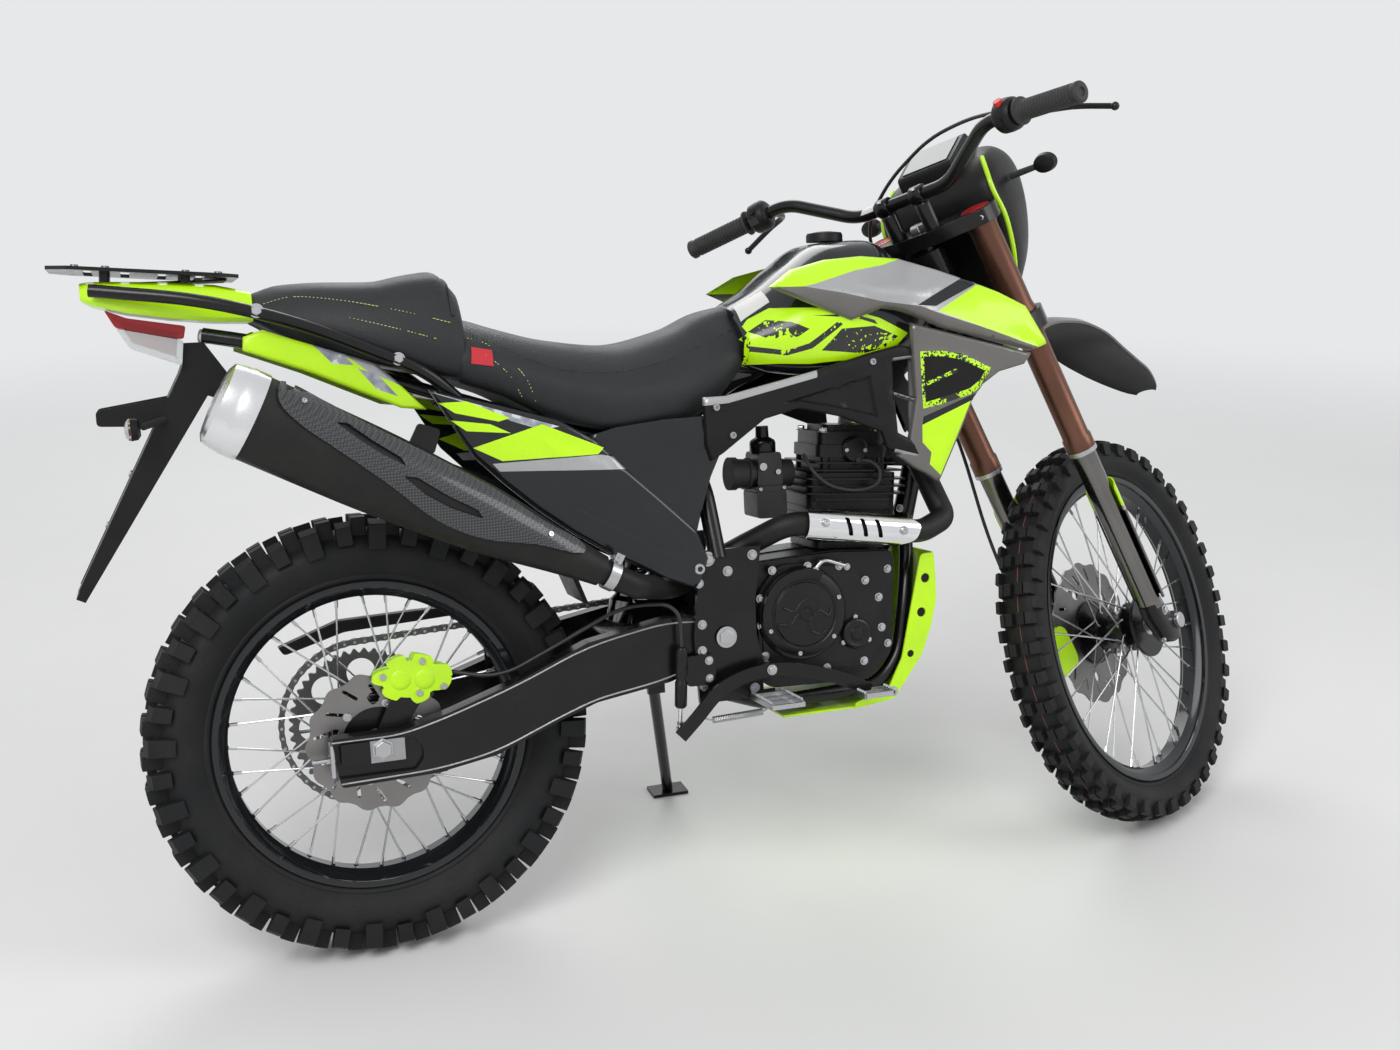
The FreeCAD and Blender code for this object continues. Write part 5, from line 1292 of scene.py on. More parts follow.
def outward(x: float, y: float, z: float) -> Matrix:
    """Frame at a point whose Y axis looks out of that side of the machine."""
    return facing((x, y, z), (0.0, math.copysign(1.0, y), 0.0))


def upright(centre: Sequence[float]) -> Matrix:
    """Frame at a point whose Y axis points up."""
    return facing(centre, (0.0, 0.0, 1.0))


class Skin:
    """Smooth surface through chosen points of the side view, as Y over x and z."""

    def __init__(self, anchors: Sequence[Point], stiff: float = 1e-7) -> None:
        """Fit the surface.

        Args:
            anchors: points that the surface follows.
            stiff: how far it may leave them to stay smooth.
        """
        self.flat = np.array([(x, z) for x, _, z in anchors])
        count = len(anchors)
        bend = self._bend(self.flat)
        side = np.hstack([np.ones((count, 1)), self.flat])
        whole = np.block([[bend + np.eye(count) * stiff, side], [side.T, np.zeros((3, 3))]])
        heights = np.array([y for _, y, _ in anchors] + [0.0] * 3)
        self.weights = np.linalg.solve(whole, heights)

    def _bend(self, flat: np.ndarray) -> np.ndarray:
        """Bending terms between points and the anchors."""
        squared = ((flat[:, None, :] - self.flat[None, :, :]) ** 2).sum(axis=2)
        return 0.5 * squared * np.log(np.maximum(squared, 1e-18))

    def __call__(self, x: float, z: float) -> float:
        """Y of the surface at a place of the side view."""
        row = np.concatenate([self._bend(np.array([(x, z)]))[0], [1.0, x, z]])
        return float(row @ self.weights)


def edge_gap(x: float, z: float, outline: Sequence[Flat]) -> float:
    """Shortest distance from a point to a closed outline.

    Args:
        x: first coordinate of the point.
        z: second coordinate of the point.
        outline: closed outline.

    Returns:
        The distance.
    """
    best = 1e9
    for index, (x0, z0) in enumerate(outline):
        x1, z1 = outline[index - 1]
        dx, dz = x1 - x0, z1 - z0
        size = dx * dx + dz * dz
        part = 0.0 if size == 0 else max(0.0, min(1.0, ((x - x0) * dx + (z - z0) * dz) / size))
        best = min(best, math.hypot(x - x0 - part * dx, z - z0 - part * dz))
    return best


def panel(outline: Sequence[Flat], height: Callable[[float, float], float], finish: Finish,
          marks: Sequence[tuple] = (), step: float = 0.011, edge: float = 0.007,
          thick: float = 0.004, side: Side = Side.RIGHT, holes: Sequence = (),
          ridges: Sequence[tuple] = (), lines: Sequence = ()) -> Shape:
    """Moulded panel over the side view, with rolled edges and painted areas.

    Args:
        outline: closed outline as x and z.
        height: distance from the middle of the machine at a place.
        finish: finish of the panel.
        marks: pairs of a closed outline and its finish, the first one on top.
        step: spacing of the points.
        edge: width of the rolled edge.
        thick: thickness.
        side: side of the machine.
        holes: closed outlines cut out of the panel.
        ridges: closed outlines, how far each stands out, and the width of its slope.
        lines: open lines, such as creases, that faces keep to.

    Returns:
        The panel.
    """
    border = divided(outline, step)
    creases = [divided(line, step, False) for line in lines]
    creases += [closed + closed[:1] for closed in (divided(ridge, step) for ridge, *_ in ridges)]
    spots = spread(border, step, edge * 1.3)
    for share in (0.15, 0.5, 1.0):
        spots += [point for point in offset(border, edge * share) if inside(*point, border)
                  and edge_gap(*point, border) > edge * share * 0.9]
    for ridge, _, slope in ridges:
        spots += [point for point in offset(divided(ridge, step), slope)
                  if inside(*point, ridge) and inside(*point, border)]
    drawn = Drawing.of(border, finish, [divided(hole, step) for hole in holes],
                       [(divided(mark, step), ink) for mark, ink in marks], creases, spots)
    outer, inner = [], []
    for x, z in drawn.points:
        gap = min([edge_gap(x, z, border)] + [edge_gap(x, z, hole) for hole in holes])
        roll = 1 - min(gap / edge, 1.0)
        out = height(x, z) - edge * (1 - math.sqrt(max(0.0, 1 - roll * roll)))
        for ridge, rise, slope in ridges:
            if inside(x, z, ridge):
                out += rise * min(1.0, edge_gap(x, z, ridge) / slope)
        outer.append((x, side.value * out, z))
        inner.append((x, side.value * (height(x, z) - edge - thick), z))
    return drawn.solid(outer, inner, side is Side.RIGHT)


def offset(outline: Sequence[Flat], inset: float) -> list[Flat]:
    """Points of an outline moved inward by a distance.

    Args:
        outline: closed outline.
        inset: distance inward.

    Returns:
        The moved points.
    """
    area = sum(x0 * z1 - x1 * z0 for (x0, z0), (x1, z1) in zip(outline, outline[1:] + outline[:1]))
    sign = 1 if area > 0 else -1
    made: list[Flat] = []
    for index, (x, z) in enumerate(outline):
        (x0, z0), (x1, z1) = outline[index - 1], outline[(index + 1) % len(outline)]
        dx, dz = x1 - x0, z1 - z0
        size = math.hypot(dx, dz) or 1.0
        made.append((x - sign * dz / size * inset, z + sign * dx / size * inset))
    return made


class Profile:
    """Smooth line through chosen points, as a value over a place along."""

    def __init__(self, *points: Flat) -> None:
        """Keep the points in order along."""
        self.along = [along for along, _ in points]
        self.values = [value for _, value in points]

    def __call__(self, along: float) -> float:
        """Value at a place, held level past the ends."""
        return float(np.interp(along, self.along, self.values))


class SmoothProfile(Profile):
    """Line through chosen points with rounded bends that never overshoot."""

    def __call__(self, along: float) -> float:
        """Value at a place, from the slopes of the neighbouring runs."""
        xs, ys = self.along, self.values
        if along <= xs[0]:
            return ys[0]
        if along >= xs[-1]:
            return ys[-1]
        index = max(0, int(np.searchsorted(xs, along)) - 1)
        slopes = [(ys[i + 1] - ys[i]) / (xs[i + 1] - xs[i]) for i in range(len(xs) - 1)]

        def tangent(i: int) -> float:
            """Slope at a point, zero where the line turns back."""
            if i in (0, len(xs) - 1):
                return slopes[0 if i == 0 else -1]
            before, after = slopes[i - 1], slopes[i]
            return 0.0 if before * after <= 0 else 2 * before * after / (before + after)

        wide = xs[index + 1] - xs[index]
        part = (along - xs[index]) / wide
        first, second = tangent(index) * wide, tangent(index + 1) * wide
        square, cube = part * part, part ** 3
        return ((2 * cube - 3 * square + 1) * ys[index] + (cube - 2 * square + part) * first
                + (3 * square - 2 * cube) * ys[index + 1] + (cube - square) * second)


class Hull:
    """Surface of a shape, to set marks and small pieces on it."""

    def __init__(self, shape: Shape) -> None:
        """Index the faces of the shape."""
        self.tree = BVHTree.FromPolygons(shape.points, shape.faces)

    def side(self, x: float, z: float, side: Side = Side.RIGHT, lift: float = 0.0) -> Vector:
        """Point of the surface seen from one side, lifted off it.

        Args:
            x: place along the machine.
            z: height.
            side: side that is looked at.
            lift: distance off the surface, outward.

        Returns:
            The point.
        """
        start = Vector((x, side.value * 1.0, z))
        spot, normal, _, _ = self.tree.ray_cast(start, Vector((0.0, -side.value, 0.0)))
        if spot is None:
            spot, normal, _, _ = self.tree.find_nearest(Vector((x, side.value * 0.12, z)))
        return spot + normal * (lift if normal.y * side.value > 0 else -lift)

    def top(self, x: float, y: float, lift: float = 0.0) -> Vector:
        """Point of the surface seen from above, lifted off it.

        Args:
            x: place along the machine.
            y: place across the machine.
            lift: distance off the surface, upward.

        Returns:
            The point.
        """
        spot, normal, _, _ = self.tree.ray_cast(Vector((x, y, 2.0)), Vector((0.0, 0.0, -1.0)))
        if spot is None:
            spot, normal, _, _ = self.tree.find_nearest(Vector((x, y, 1.0)))
        return spot + normal * (lift if normal.z > 0 else -lift)


# Wheels

@dataclass(frozen=True)
class TreadRow:
    """One row of tread blocks.

    The section holds radius and place across of the inner foot, inner top, outer top and outer
    foot of a block.
    """

    count: int
    section: tuple[Flat, Flat, Flat, Flat]
    long: float
    shift: float = 0.0


@dataclass(frozen=True)
class Wheel:
    """Spoked wheel with its tyre, rim, hub and brake disc."""

    maker: Maker
    place: Matrix
    body: Body
    name: str
    tyre_rad: float
    lip_rad: float
    lip_half: float
    rows: tuple[TreadRow, ...]
    wall: tuple[Flat, ...]
    flange_rad: float
    flange_out: float
    hub_rad: float
    seats: tuple[float, float]
    disc_side: Side
    disc_out: float
    disc_rad: float
    disc_slots: int
    line_out: float = 0.0

    def build(self) -> None:
        """Build every piece of the wheel."""
        self.tyre()
        self.rim()
        self.hub()
        self.disc()

    def tyre(self) -> None:
        """Carcass with its sidewalls, bead line and rows of blocks."""
        seat, lip = self.lip_rad - 0.009, self.lip_rad
        bead = self.lip_half - 0.0048
        wall = [(seat + 0.0006, 0.0), (seat + 0.0006, bead - 0.002), (lip + 0.0006, bead),
                (lip + 0.0035, self.lip_half - 0.001), (lip + 0.008, self.lip_half + 0.0005),
                (lip + 0.0092, self.lip_half - 0.0008), (lip + 0.0115, self.lip_half + 0.001),
                *self.wall]
        shape = lathe([*wall, *[(rad, -out) for rad, out in reversed(wall[1:-1])]], RUBBER, 120)
        for row in self.rows:
            shape.join(self.blocks(row))
        if self.line_out:
            top = self.wall[-1][0] + 0.0004
            shape.join(lathe(((top - 0.002, self.line_out), (top, self.line_out),
                              (top, self.line_out + 0.0022), (top - 0.002, self.line_out + 0.0022)),
                             TREAD_LINE, 120))
        piece = self.maker.piece(f"{self.name}_tyre_rubber", shape, self.place, self.body,
                                 (f"{self.name}_tyre",), slot=Slot.TYRE_RUBBER)
        edge = piece.modifiers.new("edges", "BEVEL")
        edge.width, edge.segments, edge.limit_method = 0.0009, 1, "ANGLE"
        edge.angle_limit = math.radians(50)

    def blocks(self, row: TreadRow) -> Shape:
        """One row of blocks on both sides of the tread.

        Args:
            row: the row.

        Returns:
            The blocks, or one set for a row on the middle line.
        """
        made = Shape()
        middle = row.section[0][1] == -row.section[3][1]
        for side in (Side.LEFT,) if middle else Side:
            corners = []
            for turn in (-row.long / 2, row.long / 2):
                for index, (rad, out) in enumerate(row.section):
                    spread_out = 1.14 if index in (0, 3) else 1.0
                    angle = turn * spread_out / self.tyre_rad
                    corners.append((rad * math.sin(angle), side.value * out,
                                    rad * math.cos(angle)))
            faces = ((3, 2, 1, 0), (4, 5, 6, 7), (0, 1, 5, 4), (1, 2, 6, 5), (2, 3, 7, 6),
                     (3, 0, 4, 7))
            if side is Side.RIGHT:
                faces = tuple(face[::-1] for face in faces)
            one = Shape().add(corners, faces, RUBBER)
            made.join(one.ring(row.count, row.shift * 360 / row.count))
        return made

    def rim(self) -> None:
        """Rim with its rolled lips, drop well and nipple seats."""
        lip, half = self.lip_rad, self.lip_half
        seat, well, base = lip - 0.009, lip - 0.019, lip - 0.025
        outer = [(lip - 0.0012, half), (lip, half - 0.0012), (lip - 0.0002, half - 0.003),
                 (seat, half - 0.0042), (seat, 0.018), (well, 0.012)]
        inner = [(base, 0.012), (seat - 0.006, 0.021), (seat - 0.0015, half - 0.0055),
                 (seat - 0.001, half - 0.0008), (lip - 0.004, half)]
        profile = [*outer, *[(rad, -out) for rad, out in reversed(outer)],
                   *[(rad, -out) for rad, out in reversed(inner)], *inner]
        shape = lathe(profile, GLOSS_BLACK, 128)
        dimple = turned_part(((0.0048, 0.0), (0.0034, 0.0022), (0.0026, 0.0026)), GLOSS_BLACK, 12)
        for index in range(36):
            turn = Matrix.Rotation(math.radians(10 * index), 4, "Y")
            lean = 0.006 * (1 if index % 2 else -1)
            spot = facing((0.0, lean, base + 0.0008), (0.0, 0.0, -1.0))
            shape.join(dimple.at(turn @ spot))
        self.maker.piece(f"{self.name}_rim_ring", shape, self.place, self.body,
                         (f"{self.name}_rim",), slot=Slot.BLACK_RIM)

    def hub(self) -> None:
        """Hub shell with drilled flanges, and the crossed spokes with their nipples."""
        right, left = self.seats
        wide, flange, core = 0.005, self.flange_rad, self.hub_rad
        out = self.flange_out
        profile = [(0.0105, -right)]
        for sign, seat in ((-1, right), (1, left)):
            part = [(0.057, seat), (0.0585, seat - 0.0012), (0.0585, seat - wide),
                    (core + 0.014, seat - wide - 0.001), (core + 0.004, seat - wide * 2),
                    (core + 0.001, out + wide), (flange - 0.008, out + 0.0006),
                    (flange, out - 0.0004), (flange, out - wide + 0.0006),
                    (flange - 0.006, out - wide), (core + 0.004, out - wide * 2)]
            rows = [(rad, sign * place) for rad, place in part]
            profile += rows if sign < 0 else rows[::-1]
        profile.append((0.0105, left))
        shape = lathe(profile, BLACK_PAINT, 64)
        shape.join(self.spokes())
        for sign, seat in ((-1, right), (1, left)):
            seal = turned_part(((0.019, 0.0), (0.019, 0.0016), (0.013, 0.0022)), STEEL, 32)
            shape.join(seal.at(facing((0.0, sign * (seat - 0.0006), 0.0), (0.0, sign, 0.0))))
        self.maker.piece(f"{self.name}_hub_spokes", shape, self.place, self.body,
                         (f"{self.name}_hub",), slot=Slot.BRIGHT_STEEL)

    def spokes(self) -> Shape:
        """Thirty-six spokes, crossed three times, with nipples at the rim.

        Returns:
            All spokes in one shape.
        """
        made = Shape()
        base = self.lip_rad - 0.025
        for index in range(36):
            side = 1 if index % 2 else -1
            way = 1 if index % 4 < 2 else -1
            end_turn = math.radians(10 * index)
            root_turn = end_turn + way * math.radians(38)
            root_rad = self.flange_rad - 0.0045
            skew = 0.0012 if way > 0 else -0.0012
            root_out = side * (self.flange_out - 0.0025 + skew * 2)
            root = Vector((root_rad * math.sin(root_turn), root_out,
                           root_rad * math.cos(root_turn)))
            end = Vector((base * math.sin(end_turn), side * 0.005, base * math.cos(end_turn)))
            way_out = (end - root).normalized()
            made.join(rod(root, end, 0.0016, SPOKE_STEEL, 8))
            made.join(rod(end - way_out * 0.014, end + way_out * 0.001, 0.0027, SPOKE_STEEL, 6))
            head = Vector((0.0, side * 0.0036, 0.0))
            made.join(rod(root - head, root + head, 0.0022, SPOKE_STEEL, 8))
        return made

    def disc(self) -> None:
        """Wavy brake disc with slanted slots, its carrier and screws."""
        outline, holes = [], []
        waves, steps = self.disc_slots, 10
        for step in range(waves * steps):
            turn = 2 * math.pi * step / (waves * steps)
            wave = math.cos(waves * turn)
            rad = self.disc_rad - 0.0035 + 0.0033 * max(-0.75, wave)
            outline.append((rad * math.cos(turn), rad * math.sin(turn)))
        inner = 0.0525
        holes.append(circle((0.0, 0.0), inner, 48))
        reach = self.disc_rad - 0.030
        for index in range(waves):
            turn = 360 * (index + 0.5) / waves
            row = reach if index % 2 else reach + 0.006
            holes.append(self.slot_hole(turn, row, 0.0135, 0.0028))
        for index in range(5):
            holes.append(self.slot_hole(72 * index + 20, self.disc_rad * 0.62, 0.009, 0.0075))
        low, high = self.disc_out - 0.002, self.disc_out + 0.002
        sign = self.disc_side.value
        flat = plate(outline, low, high, DISC_STEEL, holes)
        shape = flat if sign > 0 else flat.mirrored()
        screw = cap_screw(0.0068, 0.0042, STEEL)
        for index in range(6):
            turn = Matrix.Rotation(math.radians(60 * index + 15), 4, "Y")
            spot = facing((0.0, sign * high, 0.0565 + 0.003), (0.0, sign, 0.0))
            shape.join(screw.at(turn @ spot))
        self.maker.piece(f"{self.name}_disc_rotor", shape, self.place, self.body,
                         (f"{self.name}_disc",), bevel=0.0004, segments=1, slot=Slot.BRIGHT_STEEL)

    @staticmethod
    def slot_hole(turn: float, reach: float, long: float, wide: float) -> list[Flat]:
        """Outline of a slanted slot in the disc.

        Args:
            turn: angle around the disc, in degrees.
            reach: radius of its middle.
            long: half its length.
            wide: half its width.

        Returns:
            The outline.
        """
        corners = rounded(((-long, -wide), (long, -wide), (long, wide), (-long, wide)),
                          wide * 0.9, 3)
        slant, around = math.radians(28), math.radians(turn)
        made = []
        for along_it, across_it in corners:
            x = reach + along_it * math.cos(slant) - across_it * math.sin(slant)
            y = along_it * math.sin(slant) + across_it * math.cos(slant)
            made.append((x * math.cos(around) - y * math.sin(around),
                         x * math.sin(around) + y * math.cos(around)))
        return made


@dataclass(frozen=True)
class RearSprocket:
    """Driven sprocket with lightening holes and its bolts."""

    maker: Maker
    place: Matrix
    out: float = 0.074
    half: float = 0.003
    root_rad: float = 0.1092
    tip_rad: float = 0.1168
    teeth: int = 46

    def build(self) -> None:
        """Build the toothed ring and its bolts."""
        outline = []
        for step in range(self.teeth * 6):
            turn = 2 * math.pi * step / (self.teeth * 6)
            wave = math.cos(self.teeth * turn)
            rad = self.root_rad + (self.tip_rad - self.root_rad) * (0.5 + 0.5 * wave)
            outline.append((rad * math.cos(turn), rad * math.sin(turn)))
        holes = [circle((0.0, 0.0), 0.0485, 48)]
        for index in range(8):
            turn = math.radians(45 * index)
            holes.append(circle((0.0785 * math.cos(turn), 0.0785 * math.sin(turn)), 0.0225, 32))
        shape = plate(outline, self.out - self.half, self.out + self.half, GREY_STEEL, holes)
        head = bolt(0.0068, 0.006, STEEL)
        for index in range(6):
            turn = Matrix.Rotation(math.radians(60 * index + 30), 4, "Y")
            spot = facing((0.0, self.out + self.half, 0.0585), (0.0, 1.0, 0.0))
            shape.join(head.at(turn @ spot))
        self.maker.piece("rear_sprocket_ring", shape, self.place, Body.REAR_WHEEL,
                         ("rear_sprocket",), bevel=0.0004, segments=1, slot=Slot.BRIGHT_STEEL)


def rear_wheel(maker: Maker, rig: Rig) -> Wheel:
    """Rear wheel of the machine.

    Args:
        maker: maker of the pieces.
        rig: frames of the machine.

    Returns:
        The wheel, not built yet.
    """
    wall = ((0.266, 0.0455), (0.277, 0.0485), (0.287, 0.0488), (0.296, 0.0450), (0.3045, 0.0370),
            (0.3105, 0.0260), (0.3140, 0.0140), (0.3150, 0.0))
    shoulder = ((0.3000, 0.0320), (0.3318, 0.0372), (0.3245, 0.0545), (0.2860, 0.0555))
    side_knob = ((0.3000, 0.0330), (0.3305, 0.0372), (0.3225, 0.0530), (0.2950, 0.0535))
    inner = ((0.3080, 0.0125), (0.3355, 0.0142), (0.3340, 0.0325), (0.3040, 0.0335))
    middle = ((0.3110, -0.0098), (0.3360, -0.0090), (0.3360, 0.0090), (0.3110, 0.0098))
    rows = (TreadRow(20, shoulder, 0.027, 0.25), TreadRow(20, side_knob, 0.023, 0.75),
            TreadRow(40, inner, 0.022, 0.0), TreadRow(40, middle, 0.020, 0.0))
    return Wheel(maker, rig.rear, Body.REAR_WHEEL, "rear", tyre_rad=0.338, lip_rad=0.237,
                 lip_half=0.034, rows=rows, wall=wall, flange_rad=0.062, flange_out=0.030,
                 hub_rad=0.030, seats=(0.0677, 0.0707), disc_side=Side.RIGHT, disc_out=0.070,
                 disc_rad=0.106, disc_slots=14)


def front_wheel(maker: Maker, rig: Rig) -> Wheel:
    """Front wheel of the machine.

    Args:
        maker: maker of the pieces.
        rig: frames of the machine.

    Returns:
        The wheel, not built yet.
    """
    wall = ((0.300, 0.0370), (0.309, 0.0390), (0.317, 0.0385), (0.324, 0.0350), (0.3295, 0.0280),
            (0.3335, 0.0180), (0.3350, 0.0090), (0.3355, 0.0))
    shoulder = ((0.3240, 0.0300), (0.3410, 0.0325), (0.3370, 0.0418), (0.3150, 0.0430))
    outer = ((0.3280, 0.0190), (0.3470, 0.0205), (0.3425, 0.0315), (0.3250, 0.0320))
    inner = ((0.3300, 0.0045), (0.3482, 0.0050), (0.3476, 0.0180), (0.3290, 0.0186))
    rows = (TreadRow(42, shoulder, 0.021, 0.0), TreadRow(42, outer, 0.021, 0.5),
            TreadRow(42, inner, 0.021, 0.5))
    return Wheel(maker, rig.front, Body.FRONT_WHEEL, "front", tyre_rad=0.350, lip_rad=0.279,
                 lip_half=0.027, rows=rows, wall=wall, flange_rad=0.044, flange_out=0.026,
                 hub_rad=0.022, seats=(0.058, 0.0567), disc_side=Side.LEFT, disc_out=0.059,
                 disc_rad=0.132, disc_slots=16, line_out=-0.003)


# Bodywork

def curved(points: Sequence[Sequence[float]], steps: int = 6, closed: bool = False,
           ) -> list[Vector]:
    """Smooth curve through chosen points.

    Args:
        points: the points.
        steps: points in each run.
        closed: whether the curve comes back to its start.

    Returns:
        Points of the curve.
    """
    line = [Vector(point) for point in points]
    count = len(line)
    made = []
    for index in range(count if closed else count - 1):
        if closed:
            before, start, end, after = (line[(index + shift) % count] for shift in (-1, 0, 1, 2))
        else:
            start, end = line[index], line[index + 1]
            before = line[index - 1] if index else start * 2 - end
            after = line[index + 2] if index + 2 < count else end * 2 - start
        gaps = [max((two - one).length, 1e-6) ** 0.5
                for one, two in ((before, start), (start, end), (end, after))]
        first = ((start - before) / gaps[0] - (end - before) / (gaps[0] + gaps[1])
                 + (end - start) / gaps[1]) * gaps[1]
        second = ((end - start) / gaps[1] - (after - start) / (gaps[1] + gaps[2])
                  + (after - end) / gaps[2]) * gaps[1]
        for step in range(steps):
            part = step / steps
            square, cube = part ** 2, part ** 3
            made.append(start * (2 * cube - 3 * square + 1) + first * (cube - 2 * square + part)
                        + end * (3 * square - 2 * cube) + second * (cube - square))
    return made if closed else [*made, line[-1]]


@dataclass(frozen=True)
class Section:
    """Cross-section of a body: heights and half widths at one place along."""

    x: float
    low: float
    middle: float
    shoulder: float
    top: float
    half_low: float
    half_middle: float
    half_shoulder: float

    def ring(self, steps: int = 5, crown: float = 0.62) -> list[Vector]:
        """Closed smooth ring of the section.

        Args:
            steps: points between two corners.
            crown: how far out the top stays flat.

        Returns:
            Points of the ring.
        """
        drop = (self.top - self.shoulder) * 0.18
        half = ((0.0, self.top), (self.half_shoulder * crown, self.top - drop),
                (self.half_shoulder, self.shoulder), (self.half_middle, self.middle),
                (self.half_low, self.low), (self.half_low * 0.5, self.low - 0.002),
                (0.0, self.low - 0.002))
        other = [(-y, z) for y, z in reversed(half[1:-1])]
        return [Vector((self.x, y, z)) for y, z, _ in (
            tuple(point) for point in curved([(y, z, 0.0) for y, z in (*half, *other)],
                                             steps, True))]


def hull(sections: Sequence[Section], finish: Finish, stations: int = 44, steps: int = 5,
         smooth: bool = True) -> Shape:
    """Closed body through sections.

    Args:
        sections: sections from one end to the other.
        finish: finish of the body.
        stations: rings along the body.
        steps: points in each run of a ring.
        smooth: whether the bends along are rounded.

    Returns:
        The body.
    """
    kind = SmoothProfile if smooth else Profile
    lines = {name: kind(*[(section.x, getattr(section, name)) for section in sections])
             for name in ("low", "middle", "shoulder", "top", "half_low", "half_middle",
                          "half_shoulder")}
    first, last = sections[0].x, sections[-1].x
    rings = []
    for index in range(stations + 1):
        x = first + (last - first) * index / stations
        rings.append(Section(x, **{name: line(x) for name, line in lines.items()}).ring(steps))
    ends = []
    for ring, way in ((rings[0], -1), (rings[-1], 1)):
        middle = sum(ring, Vector()) / len(ring)
        ends.append([[middle + (point - middle) * scale + Vector((way * out, 0, 0))
                      for point in ring] for scale, out in ((0.93, 0.005), (0.6, 0.008))])
    rings = [*reversed(ends[0]), *rings, *ends[1]]
    return loft(rings, finish)


@dataclass(frozen=True)
class Bodywork(Assembly):
    """Tank, shrouds, tank side covers and side panels."""

    tank_sections: tuple[Section, ...] = (
        Section(0.606, 0.868, 0.905, 0.942, 0.960, 0.095, 0.116, 0.080),
        Section(0.650, 0.856, 0.917, 0.965, 0.984, 0.108, 0.133, 0.092),
        Section(0.700, 0.851, 0.930, 0.998, 1.019, 0.116, 0.148, 0.098),
        Section(0.760, 0.851, 0.938, 1.034, 1.054, 0.119, 0.149, 0.100),
        Section(0.830, 0.860, 0.945, 1.040, 1.058, 0.115, 0.141, 0.096),
        Section(0.890, 0.874, 0.945, 1.010, 1.032, 0.102, 0.126, 0.080),
        Section(0.930, 0.890, 0.945, 0.985, 1.004, 0.078, 0.104, 0.056))
    top_edge: tuple = ((0.630, 0.150, 0.984), (0.674, 0.130, 1.010), (0.736, 0.121, 1.024),
                       (0.800, 0.119, 1.028), (0.864, 0.121, 1.022), (0.925, 0.134, 1.002),
                       (0.975, 0.150, 0.982), (1.022, 0.159, 0.962), (1.066, 0.168, 0.938),
                       (1.098, 0.178, 0.876))
    crease: tuple = ((0.630, 0.150, 0.984), (0.682, 0.160, 0.983), (0.748, 0.168, 0.970),
                     (0.808, 0.172, 0.955), (0.874, 0.175, 0.945), (0.898, 0.176, 0.935),
                     (0.986, 0.180, 0.905), (1.085, 0.180, 0.872), (1.098, 0.178, 0.875))
    low_edge: tuple = ((0.630, 0.150, 0.984), (0.683, 0.155, 0.961), (0.763, 0.155, 0.928),
                       (0.814, 0.158, 0.944), (0.840, 0.160, 0.940), (0.871, 0.162, 0.929),
                       (0.914, 0.165, 0.910), (0.991, 0.170, 0.888), (1.068, 0.176, 0.866),
                       (1.098, 0.178, 0.874))
    lower_edge: tuple = ((0.866, 0.156, 0.920), (0.930, 0.162, 0.902), (0.990, 0.168, 0.885),
                         (1.072, 0.174, 0.862), (1.059, 0.172, 0.845), (1.016, 0.167, 0.835),
                         (0.990, 0.160, 0.816), (0.971, 0.158, 0.791), (0.953, 0.155, 0.750),
                         (0.913, 0.145, 0.662), (0.890, 0.144, 0.678), (0.871, 0.143, 0.688),
                         (0.841, 0.142, 0.711), (0.860, 0.144, 0.722), (0.874, 0.148, 0.800))
    cover_edge: tuple = ((0.517, 0.823), (0.553, 0.823), (0.700, 0.853), (0.809, 0.878),
                         (0.850, 0.886), (0.919, 0.869), (0.918, 0.857), (0.865, 0.863),
                         (0.837, 0.861), (0.836, 0.815), (0.904, 0.791), (0.897, 0.786),
                         (0.838, 0.807), (0.843, 0.747), (0.895, 0.720), (0.897, 0.697),
                         (0.835, 0.716), (0.822, 0.725), (0.814, 0.750), (0.743, 0.779),
                         (0.673, 0.796), (0.616, 0.783), (0.572, 0.753), (0.546, 0.735),
                         (0.525, 0.724), (0.518, 0.749))
    panel_edge: tuple = ((0.100, 0.858), (0.196, 0.832), (0.288, 0.803), (0.347, 0.768),
                         (0.383, 0.728), (0.440, 0.675), (0.497, 0.620), (0.514, 0.575),
                         (0.503, 0.545), (0.492, 0.530), (0.430, 0.556), (0.368, 0.588),
                         (0.300, 0.632), (0.249, 0.671), (0.200, 0.715), (0.160, 0.755))

    def build(self) -> None:
        """Make every piece of the bodywork."""
        self.tank()
        self.upper_shrouds()
        self.lower_shrouds()
        self.side_covers()
        self.side_panels()
        self.inner_panels()

    def inner_panels(self) -> None:
        """Thin panels between the side panels and the covers under the tank."""
        outline = ((0.338, 0.776), (0.380, 0.786), (0.450, 0.792), (0.530, 0.794), (0.560, 0.780),
                   (0.545, 0.738), (0.526, 0.700), (0.506, 0.640), (0.496, 0.606),
                   (0.440, 0.664), (0.378, 0.722))
        crease = ((0.372, 0.748), (0.430, 0.772), (0.530, 0.776), (0.524, 0.744),
                  (0.452, 0.720), (0.410, 0.712))
        shape = panel(outline, lambda x, z: 0.1345 - 0.05 * max(0.0, z - 0.74), GLOSS_BLACK,
                      ridges=((crease, 0.0015, 0.006),), edge=0.003, thick=0.0025)
        self.put("inner_side_panels", shape.both())

    def tank(self) -> None:
        """Tank with its filler cap and painted sides."""
        shape = hull(self.tank_sections, GLOSS_BLACK, 36)
        skin = Hull(shape)
        cap = turned_part(((0.030, -0.004), (0.030, 0.006), (0.028, 0.010), (0.012, 0.0125),
                           (0.011, 0.010), (0.0, 0.010)), MATTE_BLACK, 36)
        shape.join(cap.at(Matrix.Translation((0.79, 0.0, 1.062))
                          @ Matrix.Rotation(math.radians(90), 4, "X")))

